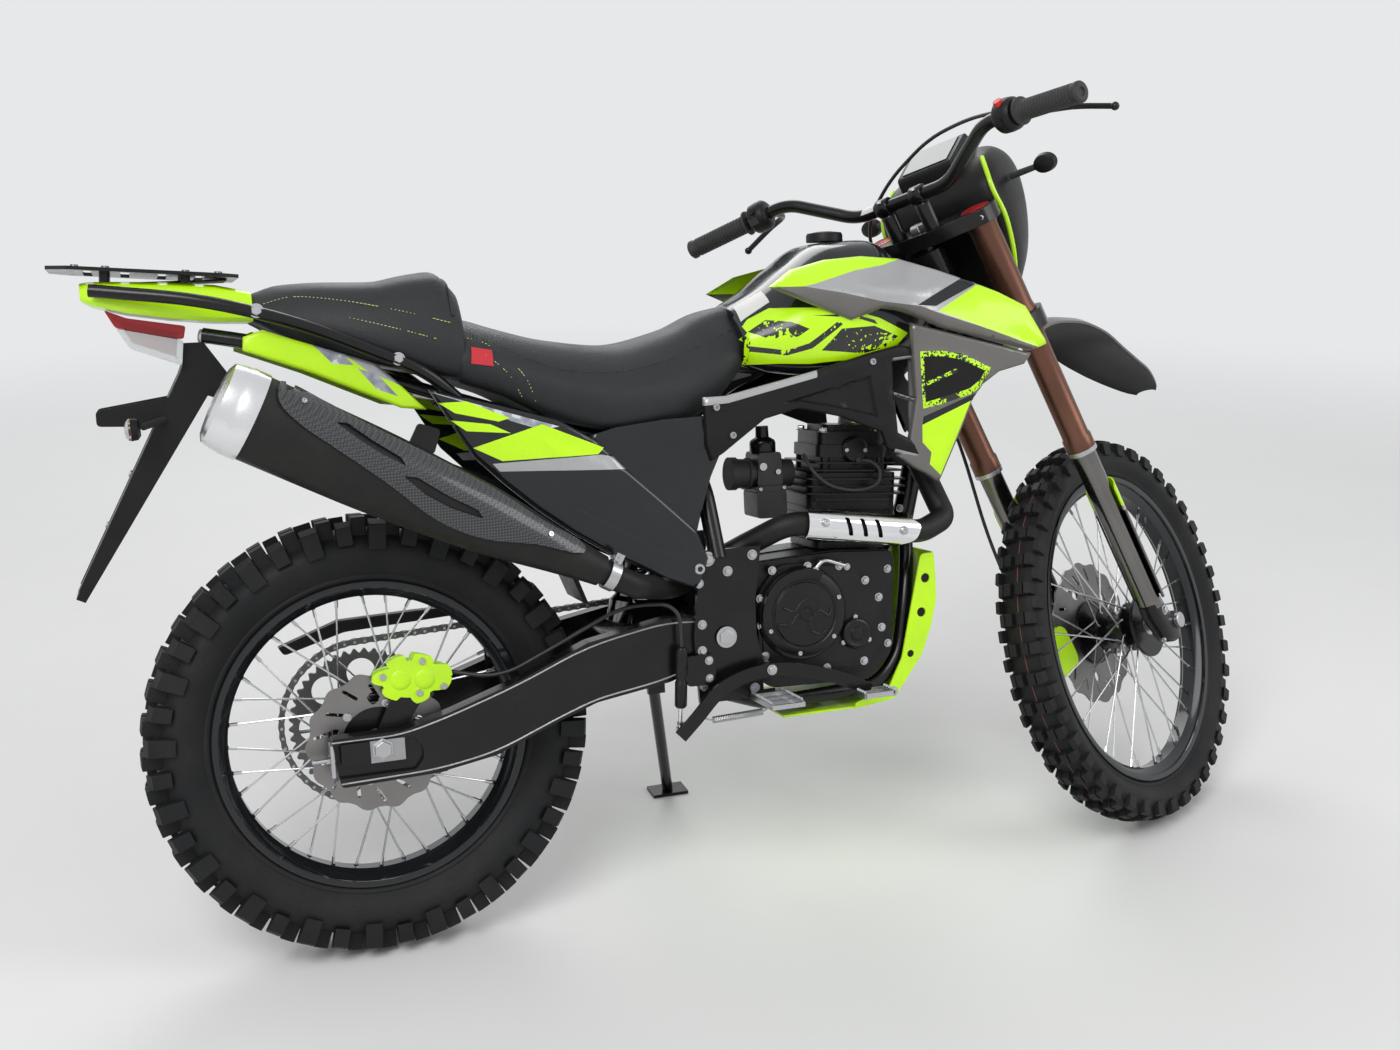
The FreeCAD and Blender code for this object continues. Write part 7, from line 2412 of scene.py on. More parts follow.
@dataclass(frozen=True)
class Cockpit(SteeredAssembly):
    """Handlebar, grips, levers, headlight mask, lamps and instrument."""

    bar_end: Point = (-0.078, 0.395, 0.950)
    bar_bend: Point = (-0.026, 0.205, 0.955)
    bar_root: Point = (-0.012, 0.095, 0.885)

    def build(self) -> None:
        """Make every piece of the cockpit."""
        self.handlebar()
        self.grips()
        self.levers()
        self.mask()
        self.lamps()
        self.instrument()

    def axis(self) -> tuple[Vector, Vector]:
        """End of the left bar and the direction that its grip points out."""
        end = Vector(self.bar_end)
        return end, (end - Vector(self.bar_bend)).normalized()

    def handlebar(self) -> None:
        """Bar with its clamps and a blank label."""
        half = [Vector(point) for point in (self.bar_end, self.bar_bend, self.bar_root)]
        line = half + [Vector((p.x, -p.y, p.z)) for p in reversed(half)]
        made = tube(bent_path(line, 0.2, 8), 0.011, BLACK_PAINT, 24)
        for side in Side:
            x, y = self.bar_root[0], side.value * 0.035
            made.join(turned_part(((0.014, 0.8253), (0.014, 0.868), (0.0125, 0.872)),
                                  BLACK_PAINT, 32).at(upright((x, y, 0.0))))
            made.join(turned_part(((0.0150, -0.012), (0.0160, -0.0105), (0.0160, 0.0105),
                                   (0.0150, 0.012)), BLACK_PAINT, 36)
                      .at(Matrix.Translation((x, y, 0.885))))
            for shift in (-0.0105, 0.0105):
                made.join(cap_screw(0.004, 0.003, STEEL).at(upright((x + shift, y, 0.8965))))
        label = Shape()
        for turn in range(-70, 80, 10):
            angle = math.radians(turn)
            label.points += [Vector((self.bar_root[0] + 0.0113 * math.sin(angle), y,
                                     0.885 + 0.0113 * math.cos(angle))) for y in (0.052, 0.090)]
        count = len(label.points) // 2 - 1
        for index in range(count):
            label.faces.append((index * 2, index * 2 + 1, index * 2 + 3, index * 2 + 2))
            label.finishes.append(WHITE_LABEL)
        self.put("handlebar_set", made, "handlebar", bevel=0.0005, slot=Slot.BLACK_STEEL)
        self.put("bar_blank_label", label)

    def grips(self) -> None:
        """Ribbed grips with their end rings and inner flanges."""
        end, out = self.axis()
        rings = [(0.0215, 0.0), (0.0218, 0.003), (0.0165, 0.0055)]
        place = 0.010
        while place < 0.108:
            rings += [(0.0148, place), (0.0160, place + 0.001), (0.0160, place + 0.0035),
                      (0.0148, place + 0.0045)]
            place += 0.0062
        rings += [(0.0150, 0.112), (0.0164, 0.1145), (0.0164, 0.1205), (0.0130, 0.1235),
                  (0.0070, 0.1232), (0.0060, 0.1205)]
        start = end - out * 0.118
        grip = turned_part([(min(rad, 0.0165 if at > 0.006 else 0.0218), at) for rad, at in rings],
                           GRIP_RUBBER, 32)
        self.put("grip_sleeves", grip.at(along(start, end)).both(), "grips", slot=Slot.GRIP)

    def levers(self) -> None:
        """Switch housings, perches and ball-ended levers."""
        _, out = self.axis()
        root = Vector(self.bar_bend)
        low, high = root + out * 0.036, root + out * 0.0715
        pod = turned_part(((0.0195, 0.0), (0.0235, 0.003), (0.0265, 0.007), (0.0268, 0.017),
                           (0.0268, 0.020), (0.0262, 0.0205), (0.0262, 0.0213), (0.0266, 0.022),
                           (0.0255, 0.030), (0.0205, 0.0355)), MATTE_BLACK, 36)
        made = pod.at(along(low, high))
        hinge = low + out * 0.0135 + Vector((0.0162, 0, 0))
        made.join(rod(hinge - Vector((0.016, 0, 0)), hinge + Vector((0.012, 0.002, -0.002)), 0.0105,
                      BLACK_PAINT, 24))
        joint = hinge + Vector((0.0165, 0.006, -0.006))
        made.join(rod(joint - Vector((0, 0, 0.0085)), joint + Vector((0, 0, 0.0085)), 0.0085,
                      BLACK_PAINT, 24))
        made.join(rod(joint + Vector((0, 0, 0.008)), joint + Vector((0, 0, 0.0115)), 0.0045,
                      STEEL, 6))
        blade = [joint, Vector((0.043, 0.268, 0.930)), Vector((0.048, 0.320, 0.916)),
                 Vector((0.043, 0.3805, 0.8945))]
        path = bent_path(blade, 0.45, 6)
        count = len(path)
        sizes = [0.0068 - 0.0020 * min(1.0, index / count * 1.6) for index in range(count)]
        made.join(tube(path, sizes, BLACK_PAINT, 16, 0.8))
        made.join(self.ball(path[-1], 0.0068, BLACK_PAINT))
        both = made.both()
        kill = Vector((root.x, -root.y, root.z)) + Vector((out.x, -out.y, out.z)) * 0.052
        both.join(rod(kill + Vector((-0.012, 0, 0.020)), kill + Vector((-0.015, 0, 0.0285)), 0.0072,
                      RED_PLASTIC, 20))
        both.join(rod(kill + Vector((-0.0235, 0.004, -0.002)),
                      kill + Vector((-0.0290, 0.004, -0.003)), 0.0058, MATTE_BLACK, 16))
        switch = root + out * 0.053
        both.join(block(switch + Vector((-0.0290, -0.010, -0.006)),
                        switch + Vector((-0.0225, 0.008, 0.006)), GRIP_RUBBER))
        both.join(rod(switch + Vector((-0.019, -0.004, 0.014)),
                      switch + Vector((-0.025, -0.004, 0.018)), 0.0055, MATTE_BLACK, 16))
        self.put("control_housings", both, "controls", bevel=0.0008, slot=Slot.MATTE_BLACK)

    @staticmethod
    def ball(centre: Vector, radius: float, finish: Finish) -> Shape:
        """Ball, such as a lever's end.

        Args:
            centre: middle of the ball.
            radius: its radius.
            finish: finish of the ball.

        Returns:
            The ball.
        """
        line = [(radius * math.sin(math.pi * step / 10), -radius * math.cos(math.pi * step / 10))
                for step in range(1, 10)]
        return turned_part(line, finish, 20).at(Matrix.Translation(centre))

    def mask(self) -> None:
        """Mask around the headlight, narrow at the chin and brow."""
        rows = ((0.636, 0.066, 0.118, 0.058), (0.665, 0.064, 0.148, 0.076),
                (0.700, 0.063, 0.187, 0.094), (0.735, 0.063, 0.206, 0.106),
                (0.790, 0.063, 0.226, 0.116), (0.835, 0.063, 0.240, 0.114),
                (0.865, 0.080, 0.238, 0.107), (0.885, 0.110, 0.228, 0.092),
                (0.893, 0.140, 0.212, 0.070))
        rings = []
        for z, back, front, half in rows:
            plan = [(back, -half * 0.80), (back + 0.012, -half), ((back + front) / 2, -half * 0.99),
                    (front - 0.035, -half * 0.86), (front - 0.008, -half * 0.60),
                    (front, -half * 0.22), (front, half * 0.22), (front - 0.008, half * 0.60),
                    (front - 0.035, half * 0.86), ((back + front) / 2, half * 0.99),
                    (back + 0.012, half), (back, half * 0.80)]
            rings.append([(p.x, p.y, z) for p in curved([(x, y, 0.0) for x, y in plan], 4, True)])
        tall = [curved([ring[index] for ring in rings], 4) for index in range(len(rings[0]))]
        levels = [[line[step] for line in tall] for step in range(len(tall[0]))]
        made = loft(levels, MATTE_BLACK)
        for side in Side:
            line = curved([Vector((back + 0.012, side.value * (half + 0.0006), z))
                           for z, back, _, half in rows[1:-1]], 6)
            made.join(tube(line, 0.0042, NEON, 8))
        self.put("headlight_mask_shell", made, "headlight_mask", slot=Slot.MATTE_BLACK)

    def lamps(self) -> None:
        """Headlight lens and the indicators on their stalks."""
        corners = [(0.2055, 0.7185), (0.2475, 0.8245)]
        (x0, z0), (x1, z1) = corners
        lens = Shape()
        rows, columns = 8, 12
        for row in range(rows + 1):
            up = row / rows
            half = 0.0705 - 0.014 * abs(up - 0.55) * 2 * (1.2 - up)
            for column in range(columns + 1):
                part = -1 + 2 * column / columns
                bow = 0.0045 * (1 - part * part)
                lens.points.append(Vector((x0 + (x1 - x0) * up + bow, half * part,
                                           z0 + (z1 - z0) * up)))
        size = len(lens.points)
        lens.points += [point - Vector((0.007, 0, -0.002)) for point in lens.points]
        for row in range(rows):
            for column in range(columns):
                a = row * (columns + 1) + column
                quad = (a, a + 1, a + columns + 2, a + columns + 1)
                lens.faces += [quad, tuple(size + i for i in reversed(quad))]
                lens.finishes += [CLEAR_LENS, REFLECTOR]
        border = ([*range(columns + 1)]
                  + [row * (columns + 1) + columns for row in range(1, rows + 1)]
                  + [rows * (columns + 1) + column for column in reversed(range(columns))]
                  + [row * (columns + 1) for row in reversed(range(1, rows))])
        for a, b in zip(border, border[1:] + border[:1]):
            lens.faces.append((b, a, size + a, size + b))
            lens.finishes.append(MATTE_BLACK)
        lamp = rod((0.140, 0.1178, 0.835), (0.140, 0.1655, 0.835), 0.0062, GRIP_RUBBER, 20, 0.0052)
        shell = turned_part(((0.0100, 0.0), (0.0152, 0.004), (0.0168, 0.014)), MATTE_BLACK, 28)
        glass = turned_part(((0.0163, 0.0142), (0.0160, 0.017), (0.0125, 0.0205), (0.006, 0.0222)),
                            AMBER_LENS, 28)
        stretch = Matrix.Diagonal((1.0, 1.25, 1.0, 1.0))
        spot = Matrix.Translation((0.1345, 0.183, 0.835)) @ stretch @ facing((0, 0, 0), (1, 0, 0))
        lamp.join(shell.at(spot), glass.at(spot))
        self.put("front_lamps", lens.join(lamp.both()), "front_lights", slot=Slot.CLEAR_LENS)

    def instrument(self) -> None:
        """Instrument housing with its glass."""
        outline = rounded(((0.085, 0.8588), (0.120, 0.8806), (0.185, 0.8973), (0.168, 0.930),
                           (0.085, 0.905)), 0.008, 3)
        made = plate(outline, -0.055, 0.055, MATTE_BLACK)
        start, end = Vector((0.094, 0.0, 0.9085)), Vector((0.160, 0.0, 0.9280))
        up = Vector((-(end - start).z, 0, (end - start).x)).normalized()
        glass = Shape()
        corners = rounded(((0.0, -0.046), (1.0, -0.046), (1.0, 0.046), (0.0, 0.046)), 0.006, 3)
        drawn = Drawing.of(corners, GLOSS_BLACK)
        glass = drawn.solid([start.lerp(end, u) + Vector((0, v, 0)) + up * 0.0010
                             for u, v in drawn.points],
                            [start.lerp(end, u) + Vector((0, v, 0)) - up * 0.0008
                             for u, v in drawn.points], True)
        self.put("instrument_case", made.join(glass), "instrument", bevel=0.0035,
                 slot=Slot.MATTE_BLACK)


# Exhaust and tail

@dataclass(frozen=True)
class Exhaust(Assembly):
    """Header pipe, its shield and the silencer."""

    pipe_path: tuple[Point, ...] = (
        (0.8604, -0.03, 0.705), (0.925, -0.035, 0.70), (0.938, -0.11, 0.60),
        (0.885, -0.128, 0.583), (0.655, -0.128, 0.617), (0.585, -0.075, 0.575),
        (0.475, -0.078, 0.525), (0.385, -0.1765, 0.5485), (0.3303, -0.178, 0.5778))
    can_start: Point = (0.330, -0.178, 0.578)
    can_end: Point = (-0.178, -0.192, 0.850)
    ovals: tuple[Point, ...] = ((0.0, 0.0235, 0.0235), (0.04, 0.026, 0.025), (0.12, 0.032, 0.030),
                                (0.35, 0.050, 0.040), (0.70, 0.060, 0.046), (1.0, 0.061, 0.047))

    def build(self) -> None:
        """Make every piece of the exhaust."""
        self.header()
        self.header_shield()
        self.silencer()

    def header(self) -> None:
        """Header pipe with its flange and clamps."""
        path = bent_path(self.pipe_path, 0.3, 9)
        made = tube(path, 0.0189, HEAT_BLACK, 28)
        root = facing(self.pipe_path[0], (1.0, -0.05, -0.06))
        made.join(turned_part(((0.026, 0.002), (0.027, 0.003), (0.027, 0.008), (0.025, 0.009)),
                              ENGINE_BLACK, 28).at(root))
        made.join(self.clamp((0.345, -0.1775, 0.570), (-0.88, 0.0, 0.47), 0.0235))
        self.put("exhaust_header_pipe", made, "exhaust_header", slot=Slot.BLACK_STEEL)

    @staticmethod
    def clamp(centre: Point, way: Point, radius: float) -> Shape:
        """Band clamp with its screw ears.

        Args:
            centre: middle of the band.
            way: direction of the pipe.
            radius: outer radius of the band.

        Returns:
            The clamp.
        """
        band = lathe(((radius - 0.0012, -0.008), (radius, -0.0078), (radius, 0.0078),
                      (radius - 0.0012, 0.008)), STEEL, 36, closed=True)
        ears = block((-0.007, -0.0065, radius - 0.001), (0.007, 0.0065, radius + 0.011), STEEL)
        screw = rod((-0.012, 0, radius + 0.006), (0.012, 0, radius + 0.006), 0.003, STEEL, 12)
        return band.join(ears, screw).at(facing(centre, way))

    def header_shield(self) -> None:
        """Chromed shield around the header, with three slanted slots."""
        front, rear = Vector((0.885, -0.128, 0.583)), Vector((0.655, -0.128, 0.617))
        along_it = (rear - front).normalized()
        rise = Vector((0, -1, 0)).cross(along_it).normalized()
        if rise.z < 0:
            rise = -rise
        shell = 0.0262

        def place(u: float, v: float, under: float) -> Vector:
            """Point of the shield from a length along it and an arc around it."""
            turn = v / shell
            out = Vector((0, -math.cos(turn), 0)) + rise * math.sin(turn)
            return front + along_it * u + out * (shell - under)
        outline = rounded(((0.012, 0.014), (0.020, -0.014), (0.052, -0.032), (0.208, -0.033),
                           (0.210, 0.034), (0.120, 0.034), (0.040, 0.029)), 0.010, 4)
        slots = []
        for middle in (0.092, 0.118, 0.144):
            slots.append(rounded(((middle - 0.003, 0.017), (middle - 0.013, -0.013),
                                  (middle - 0.0055, -0.013), (middle + 0.0045, 0.017)), 0.003, 3))
        made = wrapped(outline, place, 0.0014, CHROME, slots, step=0.005)
        for u, v in ((0.182, 0.006), (0.045, 0.002)):
            turn = v / shell
            out = Vector((0, -math.cos(turn), 0)) + rise * math.sin(turn)
            head = turned_part(((0.0078, 0.0), (0.0078, 0.0012), (0.0060, 0.0014), (0.0058, 0.0040),
                                (0.0045, 0.0052), (0.0022, 0.0052), (0.0022, 0.0030)), STEEL, 24)
            made.join(head.at(facing(front + along_it * u + out * (shell - 0.0002), out)))
        self.put("header_shield_shell", made, "header_shield", slot=Slot.CHROME)

    def silencer(self) -> None:
        """Silencer with its shield and bracket."""
        bracket = plate(rounded(((0.06, 0.775), (0.10, 0.765), (0.112, 0.800), (0.08, 0.812)),
                                0.006, 3), -0.1495, -0.1450, BLACK_PAINT)
        self.put("silencer_can", self.can().join(self.can_shield(), bracket), "muffler",
                 slot=Slot.BLACK_STEEL)

    def can_axes(self) -> tuple[Vector, Vector, Vector, float]:
        """Direction, upward and sideways axes of the can, and its length.

        Returns:
            The three axes and the length.
        """
        start, end = Vector(self.can_start), Vector(self.can_end)
        way = (end - start).normalized()
        length = (end - start).length
        rise = way.cross(Vector((0, 1, 0))).normalized()
        if rise.z < 0:
            rise = -rise
        return way, rise, way.cross(rise).normalized(), length

    def can_ring(self, share: float, grow: float = 0.0, count: int = 48) -> list[Vector]:
        """Oval section of the can.

        Args:
            share: place along the can, from 0 to 1.
            grow: what the section is larger by.
            count: number of points.

        Returns:
            Points of the section.
        """
        way, rise, side, length = self.can_axes()
        tall, wide = (SmoothProfile(*[(row[0], row[column]) for row in self.ovals])(share) + grow
                      for column in (1, 2))
        centre = Vector(self.can_start) + way * (length * share)
        return [centre + rise * (tall * math.cos(turn)) + side * (wide * math.sin(turn))
                for turn in (2 * math.pi * step / count for step in range(count))]

    def can_shell(self) -> Shape:
        """Tapered wall of the can."""
        shares = [0.0, 0.02] + [0.04 + 0.91 * step / 30 for step in range(31)]
        return loft([self.can_ring(share) for share in shares], HEAT_BLACK)

    def can(self) -> Shape:
        """Can with its end cap, outlet and cap screws.

        Returns:
            The can.
        """
        ring, end = self.can_ring, Vector(self.can_end)
        way, rise, side, length = self.can_axes()
        body = self.can_shell()
        cap_end = 1.0 + 0.022 / length
        band = loft([ring(0.944, 0.0003), ring(0.946, 0.0022), ring(0.985, 0.0022),
                     ring(0.990, 0.0008), ring(1.0, 0.0006), ring(cap_end - 0.008, -0.0030),
                     ring(cap_end, -0.012), ring(cap_end + 0.002, -0.020)], BRIGHT_ALLOY)
        tip = end + way * 0.022 - rise * 0.004
        outlet = turned_part(((0.0240, -0.004), (0.0240, 0.0010), (0.0215, 0.0022),
                              (0.0185, 0.0022), (0.0180, -0.0200)), STEEL, 36)
        plug = turned_part(((0.0185, -0.018), (0.0185, -0.017)), HEAT_BLACK, 36)
        spot = facing(tip, way)
        body.join(band, outlet.at(spot), plug.at(spot))
        for turn in (35, 145, 215, 325):
            angle = math.radians(turn)
            centre = end + way * 0.0165 + rise * (0.048 * math.cos(angle)) \
                + side * (0.036 * math.sin(angle))
            body.join(cap_screw(0.0030, 0.0022, STEEL).at(facing(centre, way)))
        return body

    def can_shield(self) -> Shape:
        """Slotted twill shield over the right side of the can, with its screws.

        Returns:
            The shield.
        """
        skin = Hull(self.can_shell())
        lift = SmoothProfile((-0.15, 0.0040), (0.32, 0.0050))

        def lay(u: float, v: float, under: float) -> Vector:
            """Point over the right side of the can."""
            return skin.side(u, v, Side.RIGHT, lift(u) - under)

        outline = curved([(x, z, 0.0) for x, z in (
            (-0.112, 0.880), (-0.060, 0.852), (-0.006, 0.818), (0.080, 0.768), (0.170, 0.712),
            (0.240, 0.660), (0.300, 0.618), (0.296, 0.610), (0.225, 0.632), (0.150, 0.648),
            (0.085, 0.680), (0.020, 0.735), (-0.050, 0.790), (-0.095, 0.826), (-0.118, 0.856))],
                         3, True)
        flat = [(p.x, p.y) for p in outline]
        slots = [rounded(((-0.045, 0.822), (-0.020, 0.800), (0.012, 0.776), (0.046, 0.756),
                          (0.040, 0.768), (0.004, 0.793), (-0.030, 0.820)), 0.004, 3),
                 rounded(((0.040, 0.744), (0.070, 0.716), (0.105, 0.694), (0.150, 0.675),
                          (0.142, 0.688), (0.100, 0.712), (0.060, 0.740)), 0.004, 3)]
        shield = wrapped(flat, lay, 0.0022, CARBON, slots, step=0.008)
        for x, z in ((0.247, 0.642), (-0.085, 0.852)):
            spot = skin.side(x, z, Side.RIGHT, 0.0045)
            out = (spot - skin.side(x, z, Side.RIGHT, 0.0)).normalized()
            shield.join(cap_screw(0.0042, 0.0028, STEEL).at(facing(spot, out)))
        return shield


@dataclass(frozen=True)
class Tail(Assembly):
    """Tail cowl and panels, rack, rails, lamps and rear mudguard."""

    def build(self, frame: dict) -> None:
        """Make every piece of the tail."""
        self.cowl()
        self.panels()
        self.rack(frame)
        self.lamps()
        self.mudguard()

    def cowl(self) -> None:
        """Painted cowl that wraps the end of the tail."""
        rings = []
        rows = ((-0.358, 1.005, 1.0285, 0.070), (-0.345, 0.998, 1.030, 0.080),
                (-0.300, 0.985, 1.0285, 0.085), (-0.240, 0.975, 1.0255, 0.085),
                (-0.180, 0.968, 1.020, 0.085), (-0.131, 0.966, 1.0085, 0.085))
        for x, low, high, half in rows:
            wall = ((half - 0.006, low), (half, low + 0.006), (half, high - 0.014),
                    (half - 0.006, high - 0.004), (half - 0.018, high))
            ring = [(y, z) for y, z in wall] + [(0.0, high)] + [(-y, z) for y, z in reversed(wall)]
            rings.append([(x, y, z) for y, z in ring] + [(x, 0.0, low)])
        made = loft(rings, NEON)
        crest = block((-0.35, -0.045, 1.0265), (-0.16, 0.045, 1.0285), MATTE_BLACK)
        self.put("tail_cowl_shell", made.join(crest), "tail_cowl", bevel=0.0012, slot=Slot.NEON)

    def panels(self) -> None:
        """Painted side pieces of the tail."""
        outline = ((-0.149, 0.945), (-0.122, 0.954), (-0.084, 0.940), (0.030, 0.900),
                   (0.058, 0.874), (0.101, 0.828), (0.064, 0.833), (-0.055, 0.888),
                   (-0.151, 0.926))
        upper = ((0.080, 0.905), (-0.040, 0.945), (-0.100, 0.955), (-0.005, 0.908), (0.020, 0.888),
                 (0.095, 0.850), (0.120, 0.850))
        patches = (((-0.055, 0.930), (-0.028, 0.932), (0.000, 0.898), (-0.030, 0.902)),
                   ((0.005, 0.893), (0.032, 0.884), (0.060, 0.850), (0.030, 0.862)))

        def out(x: float, z: float) -> float:
            """Distance of the surface from the middle."""
            return 0.1135 - 0.05 * max(0.0, z - 0.9)
        made = panel(outline, out, NEON, [(patch, CAMOUFLAGE) for patch in patches]
                     + [(upper, SILVER_PRINT)], step=0.008, edge=0.005, thick=0.004)
        self.put("tail_panel_shells", made.both(), "tail_panels", slot=Slot.NEON)

    def rack(self, frame: dict) -> None:
        """Slotted rack plate with studs, and the grab rails with their bolts."""
        self.maker.dress(frame, BLACK_PAINT, "rack_plate", "grab_rails")
        studs = Shape()
        for side in Side:
            for x, z in ((-0.362, 1.0512), (-0.172, 1.0353), (-0.216, 1.0390), (-0.322, 1.0480)):
                studs.join(cap_screw(0.0055, 0.0040, GREY_STEEL)
                           .at(facing((x, side.value * 0.050, z), (0.083, 0, 1))))
            studs.join(bolt(0.0075, 0.006, STEEL)
                       .at(facing((-0.130, side.value * 0.1335, 0.980), (0, side.value, 0.1))))
            studs.join(bolt(0.0070, 0.006, STEEL)
                       .at(facing((0.060, side.value * 0.1385, 0.904), (0, side.value, 0.1))))
        self.put("rack_studs", studs)

    def lamps(self) -> None:
        """Tail lamp in red over a clear strip, and the rear indicators."""
        red = rounded(((-0.329, 0.991), (-0.300, 0.9785), (-0.2225, 0.9645), (-0.2265, 0.946),
                       (-0.316, 0.966)), 0.004, 3)
        clear = rounded(((-0.315, 0.9645), (-0.2270, 0.9445), (-0.2315, 0.9095), (-0.298, 0.9365)),
                        0.004, 3)
        made = plate(red, -0.0645, 0.0645, RED_LENS)
        made.join(plate(clear, -0.0640, 0.0640, CLEAR_LENS))
        made.join(plate(offset(rounded(((-0.322, 0.985), (-0.226, 0.960), (-0.234, 0.914),
                                        (-0.300, 0.940)), 0.004, 3), 0.006), -0.0570, 0.0570,
                        RED_LENS))
        turn = rod((-0.262, 0.0552, 0.835), (-0.291, 0.100, 0.828), 0.0050, GRIP_RUBBER, 16)
        shell = turned_part(((0.0090, 0.0), (0.0145, 0.004), (0.0158, 0.013)), MATTE_BLACK, 28)
        glass = turned_part(((0.0153, 0.0132), (0.0150, 0.016), (0.0115, 0.0195), (0.005, 0.0212)),
                            AMBER_LENS, 28)
        spot = (Matrix.Translation((-0.2945, 0.1205, 0.826))
                @ Matrix.Diagonal((1.0, 1.40, 1.0, 1.0)) @ facing((0, 0, 0), (-1, 0, 0)))
        turn.join(shell.at(spot), glass.at(spot))
        self.put("tail_lamps", made.join(turn.both()), "rear_lights", bevel=0.0010,
                 slot=Slot.RED_LENS)

    def mudguard(self) -> None:
        """Mudguard under the tail with its plate bracket."""
        side = ((-0.1998, 0.941), (-0.2259, 0.941), (-0.2314, 0.909), (-0.236, 0.898),
                (-0.40, 0.590), (-0.388, 0.584),
                (-0.20, 0.865), (0.05, 0.770), (0.20, 0.700), (0.30, 0.60), (0.335, 0.51),
                (0.342, 0.51), (0.31, 0.60), (0.21, 0.712), (0.05, 0.786), (-0.16, 0.880))
        made = plate(side, -0.051, 0.051, MATTE_BLACK)
        rib = ((-0.238, 0.885), (-0.392, 0.598), (-0.385, 0.592), (-0.226, 0.872))
        for y in (-0.048, 0.044):
            made.join(plate([(x - 0.004, z + 0.002) for x, z in rib], y, y + 0.004, MATTE_BLACK))
        wing = rounded(((-0.352, 0.852), (-0.238, 0.868), (-0.230, 0.858), (-0.286, 0.826),
                        (-0.352, 0.830)), 0.006, 3)
        for y in (-0.050, 0.046):
            made.join(plate(wing, y, y + 0.004, MATTE_BLACK))
        for z in (0.76, 0.69):
            made.join(cap_screw(0.005, 0.003, STEEL)
                      .at(facing((-0.3120 - (0.76 - z) * 0.53, -0.030, z), (-0.9, 0, 0.45))))
        self.put("rear_mudguard", made, "rear_fender", bevel=0.0014, slot=Slot.MATTE_BLACK)


# Engine

